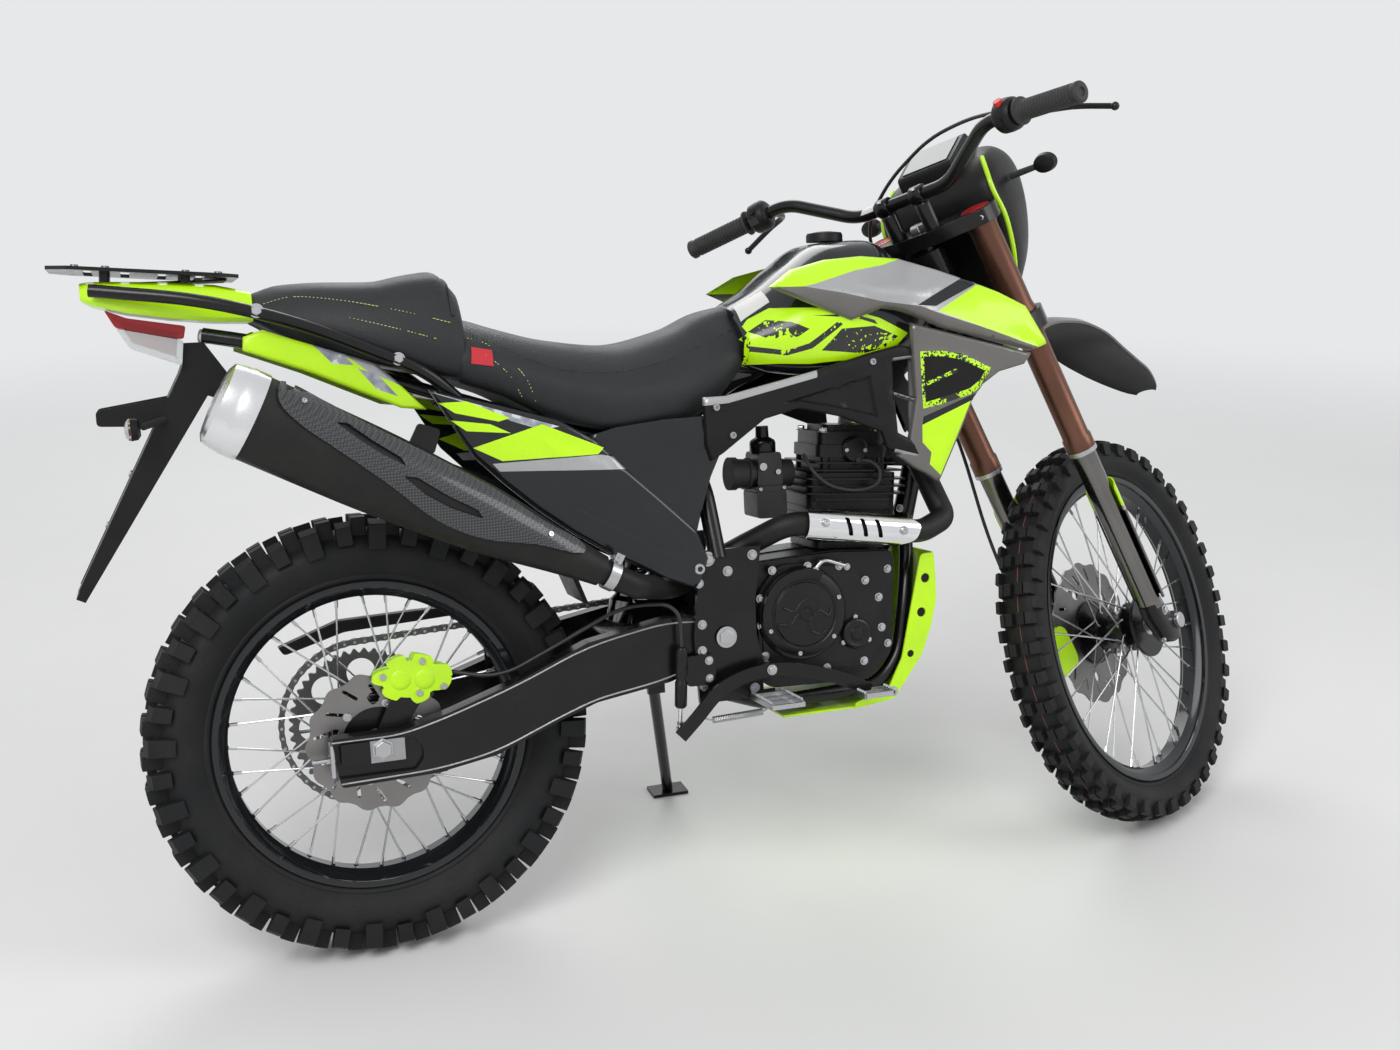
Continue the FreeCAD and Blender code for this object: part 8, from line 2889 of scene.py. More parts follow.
@dataclass(frozen=True)
class Engine(Assembly):
    """Air-cooled engine with its covers, finned cylinder, carburettor and air box."""

    case: tuple[Flat, ...] = ((0.625, 0.350), (0.80, 0.345), (0.838, 0.385), (0.846, 0.50),
                              (0.848, 0.5518), (0.738, 0.5595), (0.60, 0.553), (0.563, 0.52),
                              (0.575, 0.40))
    cover: tuple[Flat, ...] = ((0.605, 0.385), (0.645, 0.372), (0.79, 0.365), (0.825, 0.41),
                               (0.82, 0.49), (0.75, 0.545), (0.64, 0.548), (0.60, 0.50))
    stator: tuple[Flat, ...] = ((0.668, 0.375), (0.80, 0.365), (0.836, 0.40), (0.836, 0.49),
                                (0.79, 0.54), (0.668, 0.54))
    clutch: Flat = (0.677, 0.468)
    filter: Flat = (0.769, 0.426)
    dynamo: Flat = (0.748, 0.452)
    barrel_x: float = 0.793
    barrel_z: float = 0.556
    tilt: float = 4.0

    def build(self, frame: dict) -> None:
        """Make every piece of the engine."""
        self.crankcase()
        self.covers()
        self.cylinder()
        self.carburettor()
        self.air_box()
        self.maker.dress(frame, GREY_STEEL, "drive_sprocket")

    @staticmethod
    def seen(x: float, z: float, out: float, side: Side = Side.RIGHT) -> Matrix:
        """Frame on one side of the engine whose Y axis points outward."""
        return outward(x, side.value * out, z)

    def crankcase(self) -> None:
        """Crankcase halves with their joint rib and mounting lugs."""
        outline = rounded(self.case, 0.014, 4)
        made = plate(outline, -0.0995, 0.0555, ENGINE_BLACK)
        for y in (-0.0920, -0.0190):
            made.join(plate(offset(outline, -0.0022), y, y + 0.007, ENGINE_BLACK))
        made.join(plate(rounded(self.stator, 0.018, 4), 0.0550, 0.1095, ENGINE_BLACK))
        lug = turned_part(((0.014, -0.030), (0.015, -0.028), (0.015, 0.028), (0.014, 0.030)),
                          ENGINE_BLACK, 24)
        for x, z in ((0.838, 0.362), (0.588, 0.498)):
            made.join(lug.at(Matrix.Translation((x, -0.01, z))))
        plug = bolt(0.008, 0.007, STEEL).at(facing((0.70, -0.02, 0.349), (0, 0, -1)))
        self.put("crankcase_halves", made.join(plug), "crankcase", bevel=0.002,
                 slot=Slot.BLACK_ALLOY)

    def covers(self) -> None:
        """Side covers of the engine, with the clutch arm and the spark lead."""
        made = plate(rounded(self.cover, 0.016, 4), -0.1080, -0.1004, ENGINE_BLACK)
        made.join(plate(offset(rounded(self.cover, 0.016, 4), 0.0055), -0.1110, -0.1075,
                        ENGINE_BLACK))
        arm = tube(bent_path(((0.700, -0.1135, 0.535), (0.716, -0.1150, 0.552),
                              (0.758, -0.1150, 0.536)), 0.45, 5), 0.0035, STEEL, 10)
        made.join(self.clutch_dome(), self.filter_dome(), self.cover_bolts(),
                  self.generator_dome(), arm,
                  rod((0.700, -0.106, 0.533), (0.700, -0.1175, 0.533), 0.0075, STEEL, 20),
                  bolt(0.0042, 0.004, STEEL).at(self.seen(0.756, 0.536, 0.1165)),
                  self.spark_lead())
        self.put("engine_cover_set", made, "engine_covers", bevel=0.0012, slot=Slot.BLACK_ALLOY)

    def clutch_dome(self) -> Shape:
        """Domed clutch cover with its dark segment, ribs and screws.

        Returns:
            The cover.
        """
        x, z = self.clutch
        dome = turned_part(((0.0765, 0.0), (0.0760, 0.004), (0.0735, 0.0095), (0.0700, 0.0125),
                            (0.0680, 0.0135), (0.0560, 0.0150), (0.0545, 0.0138),
                            (0.0525, 0.0138), (0.0512, 0.0152), (0.0500, 0.0165),
                            (0.0300, 0.0185), (0.0120, 0.0190), (0.0112, 0.0180),
                            (0.0098, 0.0180), (0.0092, 0.0190), (0.0050, 0.0195)),
                           ENGINE_BLACK, 72)
        made = dome.at(self.seen(x, z, 0.1083))
        segment = []
        for turn in np.linspace(math.radians(62), math.radians(186), 22):
            segment.append((x + 0.0725 * math.cos(turn), z + 0.0725 * math.sin(turn)))
        for turn in np.linspace(math.radians(186), math.radians(62), 22):
            segment.append((x + 0.0590 * math.cos(turn), z + 0.0590 * math.sin(turn)))
        made.join(plate(segment, -0.1258, -0.1175, BLACK_PAINT))
        for points in (((-0.046, -0.012), (-0.026, -0.014), (-0.014, 0.000), (0.006, 0.004)),
                       ((-0.038, 0.014), (-0.020, 0.006), (-0.010, 0.016), (0.004, 0.026)),
                       ((0.012, 0.000), (0.024, 0.004), (0.040, -0.006), (0.046, 0.006)),
                       ((0.004, -0.012), (0.010, -0.028), (0.026, -0.034), (0.034, -0.028))):
            line = [Vector((x + dx, -0.1083 - 0.0172 - 0.0010 * (1 - math.hypot(dx, dz) / 0.05),
                            z + dz)) for dx, dz in ((p.x, p.y) for p in curved(
                                [(dx, dz, 0.0) for dx, dz in points], 6))]
            made.join(tube(line, 0.0023, ENGINE_BLACK, 8))
        for spot in circle(self.clutch, 0.0635, 6, 20):
            made.join(cap_screw(0.0038, 0.0030, STEEL).at(self.seen(*spot, 0.1222)))
        return made

    def filter_dome(self) -> Shape:
        """Small round cover of the oil filter with its bolts.

        Returns:
            The cover.
        """
        dome = turned_part(((0.0268, 0.0), (0.0262, 0.005), (0.0235, 0.0105), (0.0200, 0.0120),
                            (0.0180, 0.0110), (0.0120, 0.0110), (0.0100, 0.0135),
                            (0.0040, 0.0145)), ENGINE_BLACK, 48)
        made = dome.at(self.seen(*self.filter, 0.1085))
        for spot in circle(self.filter, 0.0265, 3, 90):
            made.join(bolt(0.0045, 0.0045, STEEL, False).at(self.seen(*spot, 0.1110)))
        return made

    def cover_bolts(self) -> Shape:
        """Bolts around the right cover and on the crankcase behind it.

        Returns:
            All bolts in one shape.
        """
        made = Shape()
        for spot in ((0.629, 0.541), (0.690, 0.5425), (0.745, 0.538), (0.790, 0.510),
                       (0.813, 0.480), (0.8165, 0.430), (0.783, 0.378), (0.717, 0.374),
                       (0.640, 0.380), (0.611, 0.405), (0.6065, 0.455), (0.6065, 0.498)):
            made.join(bolt(0.0052, 0.0055, STEEL).at(self.seen(*spot, 0.1105)))
        for spot in ((0.589, 0.520), (0.588, 0.440), (0.836, 0.523), (0.832, 0.400)):
            made.join(bolt(0.0050, 0.0055, STEEL).at(self.seen(*spot, 0.0990)))
        return made

    def generator_dome(self) -> Shape:
        """Round generator cover on the left with its bolts.

        Returns:
            The cover.
        """
        dome = turned_part(((0.0615, 0.0), (0.0610, 0.008), (0.0580, 0.0165), (0.0500, 0.0205),
                            (0.0480, 0.0195), (0.0300, 0.0200), (0.0290, 0.0225),
                            (0.0120, 0.0235)), ENGINE_BLACK, 64)
        made = dome.at(self.seen(*self.dynamo, 0.1100, Side.LEFT))
        for spot in circle(self.dynamo, 0.0685, 8, 12):
            made.join(bolt(0.0050, 0.0050, STEEL).at(self.seen(*spot, 0.1092, Side.LEFT)))
        return made

    @staticmethod
    def spark_lead() -> Shape:
        """Spark plug lead with its cap.

        Returns:
            The lead.
        """
        lead = curved([Vector(point) for point in (
            (0.716, -0.052, 0.716), (0.722, -0.074, 0.690), (0.742, -0.086, 0.668),
            (0.772, -0.0875, 0.657), (0.806, -0.0870, 0.655), (0.832, -0.0840, 0.664),
            (0.838, -0.0780, 0.684), (0.826, -0.0700, 0.698), (0.812, -0.0640, 0.700))], 5)
        cap = rod((0.812, -0.0630, 0.700), (0.806, -0.0600, 0.699), 0.0072, GRIP_RUBBER, 16)
        return tube(lead, 0.0030, GRIP_RUBBER, 10).join(cap)

    def cylinder(self) -> None:
        """Finned barrel and head with the rocker cover on top."""
        place = (Matrix.Translation((self.barrel_x, 0.0, self.barrel_z))
                 @ Matrix.Rotation(math.radians(self.tilt), 4, "Y"))

        def square(half_x: float, half_y: float, round_off: float) -> list[Flat]:
            """Rounded rectangle in plan."""
            return rounded(((-half_x, -half_y), (half_x, -half_y), (half_x, half_y),
                            (-half_x, half_y)), round_off, 5)
        made = level(square(0.0545, 0.0545, 0.020), 0.0005, 0.168, ENGINE_BLACK)
        made.join(level(square(0.066, 0.062, 0.020), 0.0006, 0.012, ENGINE_BLACK))
        made.join(level(square(0.078, 0.062, 0.020), 0.016, 0.125, ENGINE_BLACK))
        for index in range(9):
            low = 0.018 + 0.012 * index
            if index < 5:
                plan = square(0.080, 0.0705, 0.030)
            elif index == 5:
                plan = square(0.074, 0.0655, 0.018)
            else:
                plan = square(0.0915, 0.0755, 0.024)
            made.join(level(plan, low, low + (0.0028 if index != 5 else 0.0060), ENGINE_BLACK))
        for half_x, half_y, low in ((0.086, 0.0735, 0.128), (0.078, 0.0700, 0.140)):
            made.join(level(square(half_x, half_y, 0.022), low, low + 0.0028, ENGINE_BLACK))
        made.join(level(square(0.064, 0.058, 0.016), 0.150, 0.170, ENGINE_BLACK))
        made.join(level(square(0.060, 0.054, 0.018), 0.168, 0.192, ENGINE_BLACK))
        made.join(level(square(0.048, 0.043, 0.018), 0.190, 0.2025, ENGINE_BLACK))
        for sx in (-1, 1):
            for sy in (-1, 1):
                made.join(bolt(0.0062, 0.008, STEEL).at(upright((sx * 0.052, sy * 0.046, 0.190))))
                made.join(rod((sx * 0.0495, sy * 0.0495, 0.001), (sx * 0.0495, sy * 0.0495, 0.165),
                              0.0085, ENGINE_BLACK, 16))
        for sy in (-1, 1):
            made.join(turned_part(((0.0225, 0.0), (0.0225, 0.006), (0.019, 0.0095),
                                   (0.008, 0.0100)), ENGINE_BLACK, 32)
                      .at(facing((0.0, sy * 0.0540, 0.162), (0, sy, 0))))
            for sx in (-1, 1):
                made.join(bolt(0.0040, 0.004, STEEL, False)
                          .at(facing((sx * 0.0165, sy * 0.0600, 0.162), (0, sy, 0))))
        tunnel = level(square(0.016, 0.010, 0.006), 0.001, 0.150, ENGINE_BLACK)
        made.join(tunnel.at(Matrix.Translation((0.0, 0.0620, 0.0))))
        self.put("cylinder_fins", made.at(place), "cylinder", bevel=0.0006, segments=1,
                 slot=Slot.BLACK_ALLOY)

    def carburettor(self) -> None:
        """Carburettor with its float bowl, slide top and rubber boots, its castings darkened as
        painted shade.
        """
        spot = along((0.600, -0.008, 0.690), (0.709, -0.008, 0.684))
        rear_boot = ((0.027, 0.0), (0.027, 0.012), (0.0245, 0.013), (0.0235, 0.030),
                     (0.026, 0.031), (0.026, 0.036))
        barrel = ((0.0220, 0.036), (0.0228, 0.040), (0.0225, 0.072), (0.0205, 0.074),
                  (0.0205, 0.082))
        front_boot = ((0.0245, 0.082), (0.0250, 0.088), (0.0225, 0.100), (0.0225, 0.1088))
        # Barrel, bowl and body castings take the finish darkened as painted shade.
        made = Shape().join(*[turned_part(profile, finish, 32).at(spot) for profile, finish in (
            (rear_boot, GRIP_RUBBER), (barrel, SHADED_CASTING), (front_boot, GRIP_RUBBER))])
        bowl = rounded(((0.637, 0.617), (0.645, 0.6155), (0.683, 0.6155), (0.689, 0.622),
                        (0.689, 0.660), (0.637, 0.660)), 0.006, 3)
        made.join(plate(bowl, -0.0385, 0.0230, SHADED_CASTING))
        made.join(plate(rounded(((0.635, 0.659), (0.690, 0.659), (0.690, 0.668), (0.635, 0.668)),
                                0.002, 2), -0.0398, 0.0290, SHADED_CASTING))
        made.join(plate(rounded(((0.641, 0.667), (0.686, 0.667), (0.684, 0.722), (0.644, 0.722)),
                                0.006, 3), -0.0340, 0.0230, SHADED_CASTING))
        top = turned_part(((0.0210, 0.720), (0.0215, 0.7225), (0.0215, 0.737), (0.0195, 0.741),
                           (0.0110, 0.7460), (0.0105, 0.7640)), BLACK_PAINT, 32)
        made.join(top.at(upright((0.663, -0.006, 0.0))))
        for x, z in ((0.643, 0.664), (0.684, 0.664)):
            made.join(cap_screw(0.0032, 0.003, STEEL).at(self.seen(x, z, 0.0395)))
        made.join(rod((0.663, -0.008, 0.6160), (0.663, -0.008, 0.6155), 0.008, STEEL, 6),
                  rod((0.650, -0.034, 0.700), (0.650, -0.040, 0.700), 0.0065, STEEL, 16),
                  rod((0.676, -0.034, 0.690), (0.676, -0.0395, 0.690), 0.0045, STEEL, 16))
        self.put("carburettor_body", made, "carburettor", bevel=0.0008, slot=Slot.ALLOY)

    def air_box(self) -> None:
        """Air box halves beside the shock absorber, with ribbed lids."""
        half = rounded(((0.3605, 0.601), (0.4545, 0.601), (0.4545, 0.750), (0.3605, 0.7565)),
                       0.012, 4)
        made = plate(half, -0.0835, -0.0365, MATTE_BLACK)
        for z in (0.632, 0.662, 0.692, 0.722):
            made.join(plate(((0.370, z - 0.003), (0.446, z - 0.003), (0.446, z + 0.003),
                             (0.370, z + 0.003)), -0.0838, -0.0825, MATTE_BLACK))
        self.put("air_box_halves", made.both(), "air_box", bevel=0.003, slot=Slot.MATTE_BLACK)


# Chassis and footwork

@dataclass(frozen=True)
class Chassis(Assembly):
    """Frame fittings, swingarm, rear axle, shock absorber, chain and rear brake."""

    axle_up: float = 0.338
    drive: Flat = (0.600, 0.455)
    chain_y: float = 0.074
    chain_pitch: float = 0.015875
    chain_rear_rad: float = 0.1275
    chain_drive_rad: float = 0.0425
    arm: tuple[Flat, ...] = (
        (-0.072, 0.360), (0.03, 0.360), (0.10, 0.378), (0.21, 0.414), (0.32, 0.460),
        (0.45, 0.484), (0.548, 0.474), (0.568, 0.447), (0.555, 0.424), (0.45, 0.384),
        (0.33, 0.366), (0.27, 0.345), (0.17, 0.305), (0.08, 0.290), (-0.062, 0.286))

    def build(self, frame: dict) -> None:
        """Make every piece of the chassis."""
        self.maker.dress(frame, BLACK_PAINT, "frame")
        self.maker.dress(frame, HOSE_RUBBER, "rear_brake_hose")
        self.fittings()
        self.swingarm()
        self.axle()
        self.shock()
        self.chain()
        self.guard()
        self.caliper()

    def fittings(self) -> None:
        """Bolts of the frame and gussets behind the steering head."""
        made = Shape()
        right = ((0.500, 0.429, 0.0055), (0.500, 0.372, 0.0055), (0.502, 0.470, 0.0055),
                 (0.516, 0.572, 0.0085), (0.500, 0.535, 0.0055), (0.548, 0.550, 0.0060),
                 (0.590, 0.572, 0.0060), (0.585, 0.360, 0.0060), (0.520, 0.356, 0.0060))
        for x, z, radius in right:
            made.join(bolt(radius, radius * 1.05, STEEL).at(outward(x, -0.1267, z)))
        made.join(bolt(0.0125, 0.0045, STEEL).at(outward(0.540, -0.1308, 0.447)))
        for x, z in ((0.893, 0.575), (0.902, 0.610)):
            made.join(bolt(0.0050, 0.0050, STEEL).at(outward(x, -0.0178, z)))
        self.put("frame_bolts", made.both())
        gusset = plate(rounded(((0.930, 0.730), (0.985, 0.900), (0.905, 0.885), (0.872, 0.868)),
                               0.010, 3), -0.0085, -0.0055, BLACK_PAINT,
                       [circle((0.940, 0.835), 0.016, 20)])
        self.put("frame_gussets", gusset.both(), bevel=0.0008, segments=1)

    def swingarm(self) -> None:
        """Box-section arms with pale lines along the edges as painted highlights, end plates and
        the cross beam.
        """
        outline = rounded(self.arm, 0.006, 3)
        window = rounded(((-0.066, 0.300), (0.048, 0.300), (0.060, 0.316), (0.060, 0.332),
                          (0.048, 0.350), (-0.066, 0.350)), 0.004, 3)
        made = plate(outline, -0.1178, -0.1095, BLACK_PAINT, [window])
        made.join(plate(outline, -0.1095, -0.0882, BLACK_PAINT,
                        [circle((0.0, self.axle_up), 0.0088, 28),
                         circle((0.540, 0.447), 0.0094, 28)]))
        # Pale lines inset along the top and bottom edges of each arm: painted highlights of the
        # bevelled edges, in the cast alloy finish.
        for low, high, thick in ((0, 6, 0.0016), (8, 14, 0.0016)):
            run = [Vector((x, 0.0, z)) for x, z in self.arm[low:high + 1]]
            path = [point + Vector((0.0, -0.1176, -0.0055 if low == 0 else 0.0060))
                    for point in bent_path(run, 0.4, 4)]
            made.join(tube(path, thick, ALLOY, 8, 0.8))
        made.join(plate(rounded(((-0.0745, 0.302), (-0.0690, 0.302), (-0.0690, 0.350),
                                 (-0.0745, 0.350)), 0.0012, 2), -0.1168, -0.0892, STEEL))
        made.join(rod((-0.100, -0.1035, 0.326), (-0.060, -0.1035, 0.326), 0.0036, STEEL, 12),
                  turned_part(((0.0068, 0.0), (0.0068, 0.006)), STEEL, 6)
                  .at(along((-0.0745, -0.1035, 0.326), (-0.0815, -0.1035, 0.326))))
        arms = made.both()
        beam = rounded(((0.3705, 0.3855), (0.4245, 0.3855), (0.4245, 0.4545), (0.3705, 0.4545)),
                       0.008, 3)
        arms.join(plate(beam, -0.0880, 0.0880, BLACK_PAINT))
        arms.join(turned_part(((0.0205, -0.0878), (0.0218, -0.0865), (0.0218, 0.0865),
                               (0.0205, 0.0878)), BLACK_PAINT, 36)
                  .at(Matrix.Translation((0.540, 0.0, 0.447))))
        self.put("swingarm_box", arms, "swingarm", bevel=0.0022, slot=Slot.BLACK_STEEL)

    def axle(self) -> None:
        """Rear axle with spacers, adjuster blocks, end nuts, and black plates in the arms' open
        ends as painted shade.
        """
        made = rod((0, -0.1316, self.axle_up), (0, 0.1316, self.axle_up), 0.0084, STEEL, 28)
        for side, seat in ((Side.RIGHT, 0.0677), (Side.LEFT, 0.0707)):
            sign = side.value
            low, high = sorted((sign * (seat + 0.0052), sign * 0.0874))
            made.join(turned_part(((0.0138, low), (0.0138, high)), STEEL, 28)
                      .at(Matrix.Translation((0, 0, self.axle_up))))
            low, high = sorted((sign * 0.1184, sign * 0.1230))
            # The black plate behind each adjuster is painted shade of the hollow open end of the
            # arm; the alloy plate is the adjuster.
            made.join(plate(((-0.0600, 0.3185), (-0.0180, 0.3185), (-0.0180, 0.3515),
                             (-0.0600, 0.3515)), low, high, BLACK_PAINT),
                      plate(((-0.0180, 0.3185), (0.0330, 0.3185), (0.0330, 0.3515),
                             (-0.0180, 0.3515)), low, high, ALLOY))
            nut = turned_part(((0.0170, 0.0), (0.0170, 0.0016), (0.0136, 0.0018),
                               (0.0136, 0.0072), (0.0122, 0.0085)), STEEL, 6)
            made.join(nut.at(facing((0, sign * 0.1232, self.axle_up), (0, sign, 0))))
        self.put("rear_axle_set", made, "rear_axle", bevel=0.0006, segments=1,
                 slot=Slot.BRIGHT_STEEL)

    def shock(self) -> None:
        """Coil spring over its damper."""
        low, high = Vector((0.4035, 0, 0.4607)), Vector((0.470, 0, 0.735))
        frame_in = along(low, high)
        length = (high - low).length
        made = turned_part(((0.0100, 0.002), (0.0215, 0.006), (0.0215, 0.040), (0.0150, 0.048),
                            (0.0150, length * 0.78), (0.0210, length * 0.80),
                            (0.0210, length * 0.92), (0.0100, length * 0.938)), DARK_STEEL, 32)
        for start in (0.19, 0.77):
            made.join(turned_part(((0.0295, length * start), (0.0325, length * (start + 0.006)),
                                   (0.0325, length * (start + 0.022)),
                                   (0.0295, length * (start + 0.028))), BLACK_PAINT, 36))
        turns, steps = 6.5, 22
        coil = []
        for step in range(int(turns * steps) + 1):
            turn = 2 * math.pi * step / steps
            rise = 0.21 + (0.77 - 0.21) * step / (turns * steps)
            coil.append((0.0278 * math.sin(turn), length * rise, 0.0278 * math.cos(turn)))
        made.join(tube(coil, 0.0050, BLACK_PAINT, 10))
        self.put("shock_spring", made.at(frame_in), "shock_absorber", slot=Slot.SPRING)

    def belt(self, back: float, ahead: float) -> list[Vector]:
        """Closed path around both sprockets.

        Args:
            back: radius of the chain around the rear sprocket.
            ahead: radius of the chain around the drive sprocket.

        Returns:
            Points of the path.
        """
        start, end = Vector((0, 0, self.axle_up)), Vector((self.drive[0], 0, self.drive[1]))
        span = end - start
        slope = math.atan2(span.z, span.x)
        opening = math.acos((back - ahead) / span.length)
        path = []
        for centre, radius, first, last in (
                (start, back, slope + opening, slope + 2 * math.pi - opening),
                (end, ahead, slope - opening, slope + opening)):
            for turn in np.linspace(first, last, 90):
                path.append(centre + Vector((radius * math.cos(turn), 0, radius * math.sin(turn))))
        return path

    def chain(self) -> None:
        """Roller chain: side plates by turns inside and outside, pins and rollers."""
        path = self.belt(self.chain_rear_rad, self.chain_drive_rad)
        path.append(path[0])
        marks = [0.0]
        for before, after in zip(path, path[1:]):
            marks.append(marks[-1] + (after - before).length)
        count = 2 * round(marks[-1] / self.chain_pitch / 2)
        xs, zs = [p.x for p in path], [p.z for p in path]
        joints = [Vector((float(np.interp(marks[-1] * i / count, marks, xs)), self.chain_y,
                          float(np.interp(marks[-1] * i / count, marks, zs))))
                  for i in range(count)]
        half = marks[-1] / count / 2
        link = []
        for turn in range(-90, 91, 30):
            angle = math.radians(turn)
            link.append((half + 0.0048 * math.cos(angle), 0.0048 * math.sin(angle)))
        link += [(0.0, 0.0036)]
        link += [(-x, -z) for x, z in link[:7]]
        link += [(0.0, -0.0036)]
        plates = []
        for out in (0.0048, 0.0066):
            pair = Shape()
            for sign in (-1, 1):
                low, high = sorted((sign * out, sign * (out - 0.0014)))
                pair.join(plate(link, low, high, GREY_STEEL))
            plates.append(pair)
        roller = rod((0, -0.0034, 0), (0, 0.0034, 0), 0.0048, GREY_STEEL, 10)
        pin = rod((0, -0.0074, 0), (0, 0.0074, 0), 0.0024, STEEL, 8)
        made = Shape()
        for index, spot in enumerate(joints):
            ahead = joints[(index + 1) % count]
            middle, way = (spot + ahead) / 2, ahead - spot
            turn = Matrix.Rotation(-math.atan2(way.z, way.x), 4, "Y")
            made.join(plates[index % 2].at(Matrix.Translation(middle) @ turn))
            made.join(roller.at(Matrix.Translation(spot)), pin.at(Matrix.Translation(spot)))
        self.put("chain_links", made, "chain", slot=Slot.BLACK_STEEL)

    def guard(self) -> None:
        """Long straight guard over the chain."""
        outline = rounded(((-0.123, 0.468), (-0.030, 0.5015), (0.090, 0.5055), (0.288, 0.5055),
                           (0.289, 0.4965), (0.100, 0.4865), (-0.020, 0.4805),
                           (-0.114, 0.4530)), 0.006, 3)
        made = plate(outline, 0.0835, 0.0870, MATTE_BLACK)
        top = ((-0.123, 0.469), (-0.030, 0.5018), (0.090, 0.5058), (0.288, 0.5058),
               (0.288, 0.5032), (0.090, 0.5030), (-0.029, 0.4988), (-0.121, 0.4662))
        made.join(plate(top, 0.0670, 0.0860, MATTE_BLACK))
        made.join(plate(((0.20, 0.402), (0.24, 0.412), (0.24, 0.498), (0.20, 0.496)), 0.0857,
                        0.0874, MATTE_BLACK))
        for x, z in ((0.220, 0.480), (-0.060, 0.480)):
            made.join(bolt(0.0045, 0.003, STEEL, False).at(outward(x, 0.0868, z)))
        self.put("chain_guard_bar", made, "chain_guard", bevel=0.0010, segments=1,
                 slot=Slot.MATTE_BLACK)

    def caliper(self) -> None:
        """Lobed rear caliper on its bracket, with its fittings."""
        cx, cz = 0.0555, 0.4295
        lobes = ((0.050, -0.018, 0.0145), (0.052, 0.010, 0.0150), (0.018, 0.027, 0.0155),
                 (-0.022, 0.029, 0.0140), (-0.047, 0.008, 0.0140), (-0.032, -0.020, 0.0135),
                 (0.010, -0.024, 0.0150))
        outline = []
        for step in range(168):
            turn = 2 * math.pi * step / 168
            way = Vector((math.cos(turn), math.sin(turn)))
            reach = 1 / math.sqrt((way.x / 0.046) ** 2 + (way.y / 0.028) ** 2)
            for dx, dz, radius in lobes:
                middle = Vector((dx, dz))
                ahead = middle.dot(way)
                miss = (middle - way * ahead).length
                if ahead > 0 and miss < radius:
                    reach = max(reach, ahead + math.sqrt(radius * radius - miss * miss))
            outline.append((cx + way.x * min(reach, 0.060), cz + way.y * min(reach, 0.0385)))
        made = plate(outline, -0.0868, -0.0792, NEON_METAL)
        made.join(plate([(cx + (x - cx) * 0.93, cz + (z - cz) * 0.90) for x, z in outline],
                        -0.0612, -0.0505, NEON_METAL))
        for x, z in ((0.038, 0.430), (0.074, 0.427)):
            made.join(turned_part(((0.0150, 0.0), (0.0150, 0.0016), (0.0125, 0.0032),
                                   (0.0060, 0.0036)), NEON_METAL, 32).at(outward(x, -0.0860, z)))
        for dx, dz, _ in lobes[::2]:
            made.join(cap_screw(0.0052, 0.0032, STEEL)
                      .at(outward(cx + dx * 0.92, -0.0862, cz + dz * 0.92)))
        bridge = plate(((cx - 0.030, cz + 0.020), (cx + 0.030, cz + 0.016),
                        (cx + 0.030, cz + 0.026), (cx - 0.030, cz + 0.030)), -0.0800, -0.0600,
                       NEON_METAL)
        arm = plate(rounded(((-0.018, 0.322), (0.018, 0.322), (0.07, 0.40), (0.03, 0.42)), 0.006,
                            3), -0.0866, -0.0792, BLACK_PAINT,
                    [circle((0.0, self.axle_up), 0.0142, 28)])
        fittings = Shape()
        for x, z in ((0.1060, 0.4330), (0.0985, 0.4200)):
            fittings.join(rod((x - 0.013, -0.0705, z), (x + 0.002, -0.0715, z - 0.001), 0.0052,
                              STEEL, 16),
                          turned_part(((0.0070, 0.0), (0.0070, 0.004)), STEEL, 6)
                          .at(along((x - 0.009, -0.0705, z), (x - 0.003, -0.0708, z))))
        self.put("rear_caliper_body", made.join(bridge, arm, fittings), "rear_caliper",
                 bevel=0.0012, slot=Slot.NEON)


def ribbon(path: Sequence[Vector], half: float, low: float, high: float, finish: Finish,
           ) -> Shape:
    """Flat bar along a path in the side view.

    Args:
        path: points of the middle line as x and z in a vector's x and z.
        half: half the depth of the bar.
        low: lower Y.
        high: higher Y.
        finish: finish of the bar.

    Returns:
        The bar.
    """
    upper, lower = [], []
    for index, point in enumerate(path):
        way = path[min(index + 1, len(path) - 1)] - path[max(index - 1, 0)]
        cross = Vector((-way.z, 0, way.x)).normalized() * half
        upper.append((point.x + cross.x, point.z + cross.z))
        lower.append((point.x - cross.x, point.z - cross.z))
    return plate([*upper, *reversed(lower)], low, high, finish)


